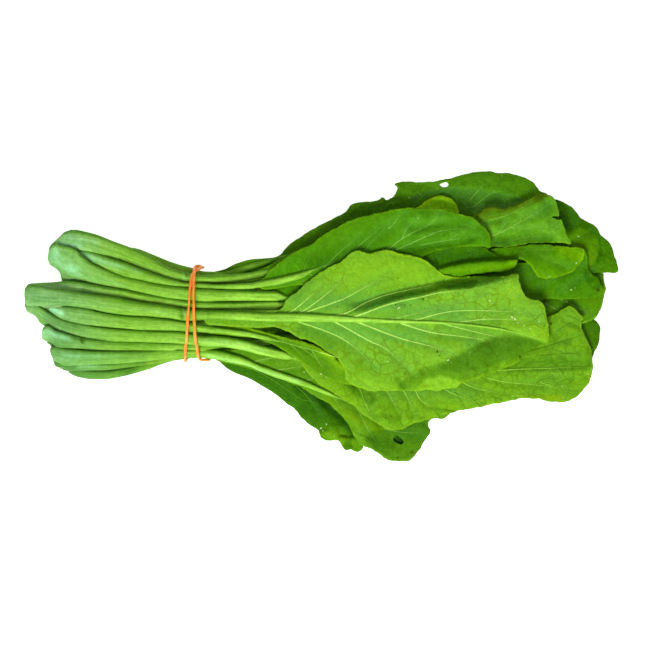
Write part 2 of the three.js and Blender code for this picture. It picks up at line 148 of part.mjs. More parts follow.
    heights: [[1926, 1931, 1708, -1, -1], [1926, 1924, 1719, -1, -1], [1910, 1900, 1714, -1, -1], [1829, 1833, 1673, -1, -1], [1755, 1766, 1566, 1437, -1], [1679, 1680, 1486, 1405, -1], [1610, 1582, 1430, 1375, -1], [1544, 1494, 1369, 1349, -1], [1460, 1410, 1326, 1313, -1], [1410, 1375, 1280, 1213, 1117], [1367, 1347, 1253, 1165, 1088], [-1, 1311, 1234, 1125, 1064], [-1, 1279, 1224, 1117, 1069], [-1, 1243, 1208, 1112, 1069], [-1, -1, 1193, 1113, 1071], [-1, -1, 1177, 1107, 1072], [-1, -1, 1157, 1097, 1072], [-1, -1, -1, 1094, 1079]],
  },
  A1: {
    stalk: [[-145.63, 45.27, 26.4, 44.23, 22.19, 2.8], [-134.23, 42.35, 25.69, 42.2, 21.6, 2.8], [-123.97, 38.74, 24.69, 39.57, 20.97, 2.8], [-112.57, 34.36, 23.23, 36.25, 20.43, 2.78], [-100.03, 29.81, 21.21, 32.09, 20.06, 2.71], [-87.49, 25.74, 19.5, 27.45, 19.4, 2.65], [-77.23, 23.2, 18.06, 22.72, 18.98, 2.6], [-55.57, 22.73, 17.55, 23.37, 18.05, 2.37], [-43.03, 23.59, 18.49, 24.49, 18.49, 2.18], [-14.53, 28.73, 17.53, 29.58, 17.53, 1.78], [1.42, 31.69, 16.87, 32.43, 16.87, 1.58], [19.66, 34.73, 16.21, 35.33, 16.21, 1.38], [40.18, 37.89, 15.27, 38.31, 15.27, 1.15], [67.54, 42.83, 13.94, 43.15, 13.94, 0.95]],
    outline: [[-33.91, 21.37], [16.24, 23.65], [67.54, 29.92], [96.61, 39.61], [142.21, 41.89], [133.66, 65.83], [129.1, 69.54], [124.54, 69.54], [113.14, 64.12], [92.62, 61.27], [84.64, 57.28], [44.74, 52.72], [10.54, 45.88], [-9.4, 39.61], [-36.2, 25.36]],
    at: [3, 9],
    heights: [[1836, 1733, -1, -1, -1, -1], [1846, 1713, 1656, -1, -1, -1], [1851, 1687, 1621, -1, -1, -1], [1840, 1664, 1560, 1499, -1, -1], [1766, 1642, 1516, 1468, -1, -1], [1707, 1631, 1486, 1437, -1, -1], [1658, 1601, 1453, 1403, -1, -1], [1603, 1574, 1421, 1364, -1, -1], [1557, 1534, 1386, 1309, 1260, -1], [1517, 1451, 1355, 1277, 1239, -1], [1487, 1402, 1326, 1255, 1218, -1], [-1, 1361, 1302, 1226, 1196, -1], [-1, 1352, 1307, 1216, 1180, -1], [-1, 1350, 1307, 1205, 1159, 1140], [-1, 1350, 1309, 1221, 1165, 1142], [-1, 1345, 1310, 1236, 1175, 1149], [-1, 1335, 1310, 1267, -1, -1]],
  },
  A3: {
    stalk: [[-154.75, 27.16, 25.43, 36.61, 29.82, 2.6], [-143.35, 25.13, 22.35, 32.7, 28.27, 2.6], [-134.23, 23.19, 22.88, 28.75, 27.38, 2.6], [-123.97, 21.21, 23.59, 24.45, 26.28, 2.68], [-112.57, 18.98, 23.91, 20.89, 25.49, 2.7], [-100.03, 16.43, 23.62, 18.12, 25.25, 2.67], [-87.49, 14.27, 23.33, 15.6, 25.19, 2.64], [-77.23, 12.73, 23.08, 13.57, 25.16, 2.62], [-55.57, 11.73, 23.22, 13.57, 24.07, 2.49], [-43.03, 11.64, 22.29, 13.47, 22.29, 2.37], [-14.53, 12.94, 21.57, 14.36, 21.57, 1.98], [1.42, 14.89, 20.56, 16.05, 20.56, 1.67], [19.66, 17.91, 19.74, 18.75, 19.74, 1.43], [40.18, 21.54, 18.89, 22.02, 18.89, 1.16], [67.54, 25.71, 17.54, 26.05, 17.54, 0.95]],
    outline: [[-25.93, 9.97], [-6.55, 7.69], [27.64, 7.69], [61.84, 15.1], [73.24, 20.8], [84.64, 23.65], [106.3, 25.93], [112.57, 32.77], [104.59, 32.2], [89.2, 40.75], [36.2, 41.32], [19.09, 37.9], [-7.12, 23.08], [-23.08, 18.52], [-28.21, 13.39]],
    at: [4, 8],
    heights: [[2258, 2110, 2051, -1], [2210, 2058, 2008, -1], [2105, 2008, 1940, 1870], [2003, 1966, 1898, 1822], [1928, 1929, 1861, 1760], [1871, 1886, 1832, 1710], [1822, 1837, 1804, 1679], [1779, 1789, 1757, 1644], [1747, 1753, 1689, 1612], [1729, 1722, 1640, 1577], [-1, 1632, 1596, 1541], [-1, 1595, 1587, 1548], [-1, 1585, 1587, 1561]],
  },
  B4: {
    stalk: [[-163.88, -1.33, 26.31, 0.69, 21.66, 2.8], [-158.17, -1.61, 26.79, 0.66, 22.74, 2.8], [-151.33, -1.73, 27.38, 0.95, 24.29, 2.8], [-143.35, -4.73, 26.78, -3.04, 23.86, 2.8], [-134.23, -6.72, 26.3, -5.94, 23.67, 2.79], [-123.97, -8.38, 26, -7.81, 23.54, 2.77], [-112.57, -9.77, 25.74, -8.89, 23.62, 2.74], [-100.03, -10.85, 25.48, -9.57, 23.88, 2.71], [-87.49, -11.6, 25.34, -10.16, 23.78, 2.7], [-77.23, -11.76, 25.22, -10.55, 23.63, 2.68], [-55.57, -15.21, 24.04, -13.84, 23.96, 2.5], [-43.03, -18.29, 21.25, -16.64, 21.25, 2.33], [-14.53, -24.1, 19.08, -22.69, 19.08, 1.82], [1.42, -26.76, 17.72, -25.63, 17.72, 1.62], [19.66, -29.09, 16.68, -28.29, 16.68, 1.4], [40.18, -30.8, 15.45, -30.2, 15.45, 1.21], [67.54, -31.31, 13.92, -30.93, 13.92, 0.97]],
    outline: [[-25.93, -23.65], [-13.39, -25.36], [-1.99, -37.9], [30.49, -60.13], [36.2, -63.55], [44.74, -64.69], [73.24, -55], [113.14, -47.02], [133.66, -49.02], [141.64, -47.88], [150.19, -40.75], [154.75, -30.49], [153.04, -16.24], [147.91, -3.13], [149.62, -0.85], [141.64, 5.98], [101.74, -11.11], [78.94, -16.81], [-13.39, -21.37], [-25.93, -19.66]],
    at: [4, 2],
    heights: [[-1, -1, -1, 1913, 1976, -1, -1], [-1, -1, 1719, 1828, 1898, -1, -1], [-1, 1549, 1629, 1734, 1824, -1, -1], [-1, 1491, 1555, 1656, 1749, -1, -1], [1342, 1405, 1487, 1602, 1738, -1, -1], [1303, 1346, 1427, 1546, 1714, -1, -1], [1259, 1293, 1370, 1488, 1682, -1, -1], [1214, 1244, 1314, 1423, 1566, 1689, -1], [1174, 1199, 1261, 1359, 1492, 1640, -1], [1141, 1159, 1211, 1299, 1425, 1590, -1], [1122, 1124, 1166, 1239, 1342, 1439, -1], [-1, 1091, 1122, 1189, 1287, 1395, -1], [-1, 1055, 1080, 1137, 1242, 1380, 1479], [-1, 1021, 1042, 1091, 1176, 1262, 1321], [-1, 995, 1009, 1044, 1113, 1178, 1227], [-1, 984, 990, 1011, 1063, 1123, 1187], [-1, -1, 991, 1008, 1044, 1079, -1]],
  },
  A2: {
    stalk: [[-149.05, 40.44, 27.48, 40.21, 31.71, 2.8], [-143.35, 39.52, 28.46, 37.6, 32.05, 2.8], [-134.23, 35.78, 27.41, 34.55, 30.73, 2.8], [-123.97, 31.75, 26.26, 31.28, 29.2, 2.77], [-112.57, 27.67, 25.05, 28.09, 27.39, 2.72], [-100.03, 23.87, 23.69, 24.9, 25.39, 2.67], [-87.49, 20.66, 22.36, 21.67, 23.72, 2.64], [-77.23, 18.01, 21.59, 18.57, 22.93, 2.61], [-55.57, 18.05, 20.97, 19.16, 21.51, 2.46], [-43.03, 18.46, 26.02, 19.84, 26.02, 2.24], [-14.53, 23.41, 23.67, 24.61, 23.67, 1.9], [1.42, 27.74, 22.26, 28.74, 22.26, 1.67], [19.66, 32.23, 21.19, 33, 21.19, 1.4], [40.18, 36.38, 20.28, 36.97, 20.28, 1.21], [67.54, 40.88, 19.02, 41.26, 19.02, 0.97]],
    outline: [[-33.91, 15.67], [13.39, 19.09], [41.89, 26.5], [67.54, 37.9], [96.04, 39.61], [96.61, 43.6], [94.9, 48.16], [87.49, 55.57], [78.94, 58.42], [67.54, 61.27], [41.89, 61.27], [21.94, 56.71], [4.84, 48.73], [-20.8, 33.34], [-37.33, 18.52]],
    at: [3, 8],
    heights: [[2529, 2538, 2418, -1, -1, -1], [2529, 2493, 2309, 2224, -1, -1], [2439, 2417, 2227, 2163, -1, -1], [2329, 2329, 2177, 2075, 1988, -1], [2231, 2241, 2131, 2027, 1931, 1874], [-1, 2177, 2093, 1992, 1894, 1848], [-1, 2122, 2065, 1948, 1860, 1821], [-1, 2074, 2036, 1917, 1833, 1796], [-1, 2025, 1991, 1881, 1806, 1774], [-1, -1, 1926, 1850, 1782, 1754], [-1, -1, 1877, 1815, 1760, 1738], [-1, -1, 1834, 1778, 1740, 1730], [-1, -1, 1823, 1786, 1755, -1]],
  },
  B3: {
    stalk: [[-167.29, 2.91, 33.48, 6.26, 34.8, 2.7], [-158.17, 2.06, 32.92, 5.47, 34.07, 2.7], [-151.33, 1.19, 32.64, 4.7, 33.45, 2.7], [-143.35, 0.08, 31.54, 3.51, 32.27, 2.7], [-134.23, -1.24, 30.47, 2.06, 31.02, 2.7], [-123.97, -2.65, 29.44, 0.51, 29.7, 2.7], [-112.57, -3.84, 28.47, -0.93, 28.3, 2.7], [-100.03, -4.81, 27.58, -2.25, 26.88, 2.7], [-87.49, -5.28, 27, -3.48, 25.75, 2.67], [-77.23, -5.55, 26.5, -4.55, 25.03, 2.63], [-55.57, -8.28, 24.06, -7.12, 23.69, 2.42], [-43.03, -10.64, 24.24, -9.61, 24.24, 2.23], [-14.53, -17.11, 22.04, -16.13, 22.04, 1.66], [1.42, -21.05, 20.8, -20.15, 20.8, 1.49], [19.66, -25.31, 19.71, -24.51, 19.71, 1.3], [40.18, -29.01, 18.65, -28.42, 18.65, 1.11], [67.54, -32.24, 17.1, -31.87, 17.1, 0.87]],
    outline: [[-40.75, -10.93], [-28.21, -15.67], [4.84, -36.2], [16.24, -39.04], [50.44, -40.75], [73.24, -39.04], [90.34, -35.05], [113.14, -24.79], [110.29, -20.23], [96.04, -16.24], [73.24, -14.53], [50.44, -16.24], [13.39, -25.93], [-3.7, -16.24], [-40.75, -6.31]],
    at: [3, 4],
    heights: [[-1, -1, 2397, 2314], [-1, 2273, 2289, 2226], [-1, 2168, 2177, 2131], [1964, 2037, 2078, 2059], [1909, 1952, 2009, 2026], [1842, 1882, 1967, -1], [1791, 1834, 1944, -1], [1746, 1795, 1913, 1912], [1696, 1738, 1828, 1920], [1642, 1675, 1761, 1872], [1586, 1618, 1699, 1815], [1551, 1561, 1628, 1688], [1535, 1551, 1592, 1632], [1532, 1547, 1580, 1616]],
  },
  B2: {
    stalk: [[-168.43, 11.41, 38.61, 13.84, 32.15, 2.8], [-158.17, 10.32, 37.92, 13.06, 32.42, 2.81], [-151.33, 9.86, 36.72, 12.16, 32.81, 2.88], [-143.35, 8.95, 35.48, 11.13, 32.23, 2.9], [-134.23, 7.61, 34.31, 9.97, 31.38, 2.9], [-123.97, 6.01, 33, 8.6, 30.51, 2.9], [-112.57, 4.32, 31.57, 7.17, 29.7, 2.9], [-100.03, 3.02, 29.92, 5.44, 29.09, 2.85], [-87.49, 1.89, 28.43, 3.56, 28.23, 2.8], [-77.23, 0.87, 26.98, 2.11, 26.99, 2.73], [-55.57, 0.17, 25, 0.8, 25.12, 2.56], [-43.03, -0.27, 26.81, 0.48, 26.81, 2.45], [-29.35, -0.67, 26.75, 0.19, 26.75, 2.34], [-14.53, -1.11, 25.73, -0.13, 25.73, 2.22], [1.42, -1.57, 24.69, -0.75, 24.69, 1.96], [19.66, -2.21, 23.48, -1.7, 23.48, 1.61], [40.18, -3.06, 22.58, -2.97, 22.58, 1.19], [62.98, -4.47, 21.7, -4.43, 21.7, 0.98], [84.64, -6.51, 20.51, -6.45, 20.51, 0.85]],
    outline: [[-39.61, -2.56], [-33.91, -3.13], [-6.55, -13.96], [4.84, -20.8], [11.11, -27.07], [13.96, -36.2], [28.78, -42.46], [61.84, -43.03], [84.64, -39.04], [125.11, -16.24], [129.67, -9.4], [127.39, 4.84], [124.54, 8.83], [118.84, 9.97], [114.28, 15.1], [112, 24.22], [101.74, 22.51], [70.39, 23.65], [56.14, 33.34], [36.2, 37.9], [17.38, 36.76], [-3.7, 23.08], [-25.36, 3.13], [-39.61, 0.85]],
    at: [3, 3],
    heights: [[-1, -1, -1, -1, 2561, 2657, -1, -1, -1], [-1, -1, -1, 2566, 2568, 2653, 2760, -1, -1], [-1, -1, -1, 2462, 2490, 2574, 2645, 2636, -1], [-1, -1, 2269, 2352, 2414, 2497, 2517, 2513, -1], [-1, 2126, 2196, 2273, 2342, 2433, 2446, 2404, 2347], [2020, 2075, 2133, 2209, 2274, 2352, 2409, 2348, 2313], [1988, 2029, 2088, 2181, 2231, 2288, 2359, 2305, 2277], [1949, 1984, 2044, 2149, 2187, 2236, 2311, 2273, 2244], [1908, 1934, 1988, 2069, 2152, 2180, 2262, 2228, 2208], [1877, 1894, 1940, 2013, 2104, 2115, 2146, 2163, 2177], [1860, 1865, 1901, 1965, 2042, 2037, 2072, 2114, -1], [-1, 1846, 1868, 1920, 1979, 1986, 2019, 2071, -1], [-1, 1832, 1836, 1863, 1917, 1934, 1975, 2060, -1], [-1, -1, 1811, 1819, 1853, 1877, 1914, 1980, -1], [-1, -1, 1798, 1799, 1815, 1831, 1849, -1, -1], [-1, -1, -1, 1792, 1799, 1810, 1822, -1, -1]],
  },
};

// The cut crown that each plant's petioles grow from: [x, y, z, radius].
const CROWNS = {
  A: [[-151.33, 38.62, 20.5, 6], [-146.77, 39.07, 19.33, 5.4], [-142.21, 35.84, 21.27, 4.56], [-137.66, 35.21, 20.64, 4.24], [-133.09, 34.58, 20.01, 3.84], [-128.53, 33.44, 19.87, 3.72]],
  B: [[-165.01, 7.69, 26.5, 5.15], [-160.45, 7.89, 26.31, 4.69], [-155.89, 7.48, 26.83, 4.29], [-151.33, 7.77, 27.47, 3.63], [-146.77, 7.44, 26.79, 3.58], [-142.21, 7.11, 26.61, 3.44]],
  C: [[-155.89, -9.25, 17.5, 6], [-151.33, -12.3, 19.31, 4.96], [-146.77, -12.52, 18.93, 4.24], [-142.21, -12.66, 18.81, 3.82], [-137.66, -12.72, 18.72, 3.45], [-133.09, -12.28, 18.14, 3.25]],
  D: [[-149.05, -27.22, 9, 4.12], [-144.49, -27.01, 11.57, 2.62], [-139.93, -26.4, 11.13, 2.47], [-135.38, -26.4, 11.6, 2.33], [-130.81, -25.78, 11.58, 2.33], [-126.25, -25.12, 11.06, 2.24]],
  E: [[-147.91, 16.96, 10.5, 6], [-143.35, 13.71, 9.2, 4.82], [-138.79, 13.71, 9.01, 4.2], [-134.23, 13.05, 9.55, 3.65], [-129.67, 12.91, 9.52, 3.47], [-125.11, 12.78, 9.49, 3.3]],
};

// ---------------------------------------------------------------- solids
const wasm = await Module();
wasm.setup();

function solidOf(geometry) {
  const bare = geometry.index ? geometry.clone() : geometry.clone();
  for (const name of Object.keys(bare.attributes)) if (name !== 'position') bare.deleteAttribute(name);
  const merged = mergeVertices(bare, 1e-4);
  const mesh = new wasm.Mesh({
    numProp: 3,
    vertProperties: new Float32Array(merged.attributes.position.array),
    triVerts: new Uint32Array(merged.index.array),
  });
  return new wasm.Manifold(mesh);
}

function geometryOf(solid) {
  const mesh = solid.getMesh();
  const geometry = new THREE.BufferGeometry();
  const count = mesh.vertProperties.length / mesh.numProp;
  const position = new Float32Array(count * 3);
  for (let i = 0; i < count; i++) {
    for (let k = 0; k < 3; k++) position[i * 3 + k] = mesh.vertProperties[i * mesh.numProp + k];
  }
  geometry.setAttribute('position', new THREE.BufferAttribute(position, 3));
  geometry.setIndex(new THREE.BufferAttribute(new Uint32Array(mesh.triVerts), 1));
  return geometry;
}

function meshGeometry(points, triangles) {
  const geometry = new THREE.BufferGeometry();
  geometry.setAttribute('position', new THREE.Float32BufferAttribute(points.flat(), 3));
  geometry.setIndex(triangles.flat());
  return geometry;
}

// Skin over a row of rings with the same number of points, closed by a flat cap at each end.
function loft(rings) {
  const n = rings[0].length;
  const points = rings.flat();
  const triangles = [];
  for (let i = 0; i + 1 < rings.length; i++) {
    for (let k = 0; k < n; k++) {
      const a = i * n + k;
      const b = i * n + ((k + 1) % n);
      triangles.push([a, b, b + n], [a, b + n, a + n]);
    }
  }
  const last = (rings.length - 1) * n;
  for (let k = 1; k + 1 < n; k++) {
    triangles.push([0, k + 1, k], [last, last + k, last + k + 1]);
  }
  return meshGeometry(points, triangles);
}

// The flattened round section of a petiole in the plane x = const, with its radius grown by more.
function petioleRing([x, yA, zA, yB, zB, r], more = 0) {
  const along = Math.atan2(zB - zA, yB - yA);
  const half = PETIOLE_SIDES / 2;
  const ring = [];
  for (let k = 0; k < PETIOLE_SIDES; k++) {
    const atB = k < half;
    const angle = along + ((k + 0.5) / half) * Math.PI - Math.PI / 2;
    const cy = atB ? yB : yA;
    const cz = atB ? zB : zA;
    ring.push([x, cy + (r + more) * Math.cos(angle), cz + (r + more) * Math.sin(angle)]);
  }
  return ring;
}

function petioleSolid(leaf, more = 0) {
  const rings = leaf.stalk.map((section) => petioleRing(section, more));
  if (more > 0) {
    rings[0] = rings[0].map(([x, y, z]) => [x - more, y, z]);
    rings[rings.length - 1] = rings[rings.length - 1].map(([x, y, z]) => [x + more, y, z]);
  }
  return solidOf(loft(rings));
}

// A thin sheet over the grid cells that the blade covers, trimmed to its outline.
function bladeSolid(leaf) {
  const [i0, j0] = leaf.at;
  const rows = leaf.heights.length;
  const columns = leaf.heights[0].length;
  const has = (i, j) => i >= 0 && j >= 0 && i < rows && j < columns && leaf.heights[i][j] >= 0;
  const cell = (i, j) => has(i, j) && has(i + 1, j) && has(i, j + 1) && has(i + 1, j + 1);
  const points = [];
  const id = new Map();
  const node = (i, j, top) => {
    const key = `${i},${j},${top}`;
    if (!id.has(key)) {
      id.set(key, points.length);
      points.push([
        GRID_ORIGIN[0] + (i0 + i) * GRID,
        GRID_ORIGIN[1] + (j0 + j) * GRID,
        leaf.heights[i][j] / 100 + (top ? BLADE_THICKNESS : 0),
      ]);
    }
    return id.get(key);
  };
  const triangles = [];
  const wall = (a, b) => {
    // outer edge from a to b, with the sheet on its left
    const [la, lb, ta, tb] = [node(...a, 0), node(...b, 0), node(...a, 1), node(...b, 1)];
    triangles.push([la, lb, tb], [la, tb, ta]);
  };
  for (let i = 0; i + 1 < rows; i++) {
    for (let j = 0; j + 1 < columns; j++) {
      if (!cell(i, j)) continue;
      for (const top of [0, 1]) {
        const [a, b, c, d] = [node(i, j, top), node(i + 1, j, top), node(i + 1, j + 1, top), node(i, j + 1, top)];
        if (top) triangles.push([a, b, c], [a, c, d]);
        else triangles.push([a, c, b], [a, d, c]);
      }
      if (!cell(i, j - 1)) wall([i, j], [i + 1, j]);
      if (!cell(i + 1, j)) wall([i + 1, j], [i + 1, j + 1]);
      if (!cell(i, j + 1)) wall([i + 1, j + 1], [i, j + 1]);
      if (!cell(i - 1, j)) wall([i, j + 1], [i, j]);
    }
  }
  const sheet = solidOf(meshGeometry(points, triangles));
  const shape = new THREE.Shape(leaf.outline.map(([x, y]) => new THREE.Vector2(x, y)));
  const prism = new THREE.ExtrudeGeometry(shape, { depth: 70, bevelEnabled: false });
  prism.translate(0, 0, -10);
  return sheet.intersect(solidOf(prism));
}

function largestBody(solid) {
  const parts = solid.decompose();
  parts.sort((a, b) => b.volume() - a.volume());
  return parts[0];
}

function crownSolid(sections) {
  const rings = sections.map(([x, y, z, r]) => {
    const ring = [];
    for (let k = 0; k < CROWN_SIDES; k++) {
      const angle = (k / CROWN_SIDES) * Math.PI * 2;
      ring.push([x, y + r * Math.cos(angle), z + r * Math.sin(angle)]);
    }
    return ring;
  });
  return solidOf(loft(rings));
}

// The rubber band: one closed loop wound twice round the bundle.
class BandCurve extends THREE.Curve {
  constructor() {
    super();
    const knots = BAND_X_TURNS.map(([, x, lift]) => [x, lift]);
    this.angles = BAND_X_TURNS.map(([angle]) => angle);
    this.knots = knots;
  }
  support(degrees) {
    // smoothed support of the bundle and its slope
    const n = BUNDLE_SUPPORT.length;
    const read = (k) => BUNDLE_SUPPORT[((k % n) + n) % n];
    const u = degrees / 10;
    let value = 0;
    let weight = 0;
    for (let k = Math.floor(u) - 2; k <= Math.floor(u) + 3; k++) {
      const w = Math.exp(-((k - u) ** 2) / 1.1);
      value += w * read(k);
      weight += w;
    }
    return value / weight;
  }
  getPoint(t, target = new THREE.Vector3()) {
    const s = t * 720;
    const n = this.angles.length;
    let i = 0;
    while (i + 1 < n && this.angles[i + 1] <= s) i++;
    const s0 = this.angles[i];
    const s1 = i + 1 < n ? this.angles[i + 1] : 720;
    const f = (s - s0) / (s1 - s0);
    const at = (k) => this.knots[((k % n) + n) % n];
    const slope = (k, c) => {
      const q = ((k % n) + n) % n;
      const before = this.angles[((q - 1) % n + n) % n] - (q === 0 ? 720 : 0);
      const after = q + 1 < n ? this.angles[q + 1] : 720;
      return (at(q + 1)[c] - at(q - 1)[c]) / (after - before);
    };
    const hermite = (c) => {
      const h = s1 - s0;
      const f2 = f * f;
      const f3 = f2 * f;
      return (2 * f3 - 3 * f2 + 1) * at(i)[c] + (f3 - 2 * f2 + f) * h * slope(i, c)
        + (-2 * f3 + 3 * f2) * at(i + 1)[c] + (f3 - f2) * h * slope(i + 1, c);
    };
    const x = hermite(0);
    const lift = Math.max(0, hermite(1));
    const angle = THREE.MathUtils.degToRad(s % 360);
    const h = this.support(s % 360) + BAND_STRAND / 2 + GAP + lift;
    const slopeH = (this.support((s % 360) + 3) - this.support((s % 360) - 3)) / THREE.MathUtils.degToRad(6);
    const y = BAND_CENTRE[0] + h * Math.cos(angle) - slopeH * Math.sin(angle);
    const z = BAND_CENTRE[1] + h * Math.sin(angle) + slopeH * Math.cos(angle);
    return target.set(x, y, z);
  }
}

function bandGeometry() {
  const tube = new THREE.TubeGeometry(new BandCurve(), 112, BAND_STRAND / 2, 6, true);
  for (const name of ['normal', 'uv']) tube.deleteAttribute(name);
  return mergeVertices(tube, 1e-3);
}

// ---------------------------------------------------------------- the bunch
const bunch = new THREE.Group();
bunch.name = 'mustard_greens';
bunch.position.set(-FOOTPRINT_CENTRE[0], -FOOTPRINT_CENTRE[1], 0);

function add(name, geometry, colour, roughness) {
  geometry.computeVertexNormals();
  const material = new THREE.MeshStandardMaterial({ color: colour, roughness, metalness: 0 });
  const mesh = new THREE.Mesh(geometry, material);
  mesh.name = name;
  bunch.add(mesh);
}

const names = Object.keys(LEAVES);
const petioles = new Map(names.map((name) => [name, petioleSolid(LEAVES[name])]));
const cleared = new Map(names.map((name) => [name, petioleSolid(LEAVES[name], GAP)]));
// where two petioles are squeezed together, the lower one is dented by the upper one
names.forEach((name, i) => {
  for (const other of names.slice(i + 1)) {
    if (petioles.get(name).minGap(petioles.get(other), 1) < GAP / 2) {
      petioles.set(name, petioles.get(name).subtract(cleared.get(other)));
    }
  }
});
for (const name of names) {
  let blade = bladeSolid(LEAVES[name]);
  // a blade passes clear of every other leaf's petiole
  for (const other of names) {
    if (other === name) continue;
    if (blade.intersect(cleared.get(other)).volume() > 1e-6) blade = blade.subtract(cleared.get(other));
  }
  const leaf = largestBody(petioles.get(name).add(blade)).simplify(SMALLEST_STEP);
  add(`leaf_${name.toLowerCase()}`, geometryOf(leaf), COLOURS[LEAF_COLOUR[name]], 0.6);
}
for (const [name, sections] of Object.entries(CROWNS)) {
  // the crown fills the middle between the petioles that grow round it
  let crown = crownSolid(sections);
  for (const other of names) {
    if (crown.intersect(cleared.get(other)).volume() > 1e-6) crown = crown.subtract(cleared.get(other));
  }
  add(`crown_${name.toLowerCase()}`, geometryOf(largestBody(crown).simplify(SMALLEST_STEP)), COLOURS.crown, 0.7);
}
add('rubber_band', bandGeometry(), COLOURS.band, 0.55);

export default bunch;
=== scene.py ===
import bpy
import math
import numpy as np
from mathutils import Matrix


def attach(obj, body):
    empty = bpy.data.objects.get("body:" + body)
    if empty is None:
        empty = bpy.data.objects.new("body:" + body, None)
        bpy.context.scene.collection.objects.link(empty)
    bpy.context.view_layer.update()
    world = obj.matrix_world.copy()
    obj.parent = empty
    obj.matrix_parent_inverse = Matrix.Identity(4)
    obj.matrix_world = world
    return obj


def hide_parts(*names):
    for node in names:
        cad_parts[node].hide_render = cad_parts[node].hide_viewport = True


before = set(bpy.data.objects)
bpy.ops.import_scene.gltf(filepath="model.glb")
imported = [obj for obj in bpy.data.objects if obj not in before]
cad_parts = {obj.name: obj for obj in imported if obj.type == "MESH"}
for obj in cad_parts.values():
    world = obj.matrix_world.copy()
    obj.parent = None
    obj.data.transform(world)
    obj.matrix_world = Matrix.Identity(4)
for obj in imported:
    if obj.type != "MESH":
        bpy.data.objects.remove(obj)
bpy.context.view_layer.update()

UNIT = 0.57  # millimetres of one drawing unit
CAM_LENS = 180.0
CAM_DISTANCE = 650 * UNIT * CAM_LENS / 36.0  # mm from the lens to the reference level
REF_LEVEL = 30.0  # mm above the floor
AIM = (1.7, -4.85)


def X(u):
    return (np.asarray(u, float) - 322.0) * UNIT


def Y(v):
    return (316.5 - np.asarray(v, float)) * UNIT


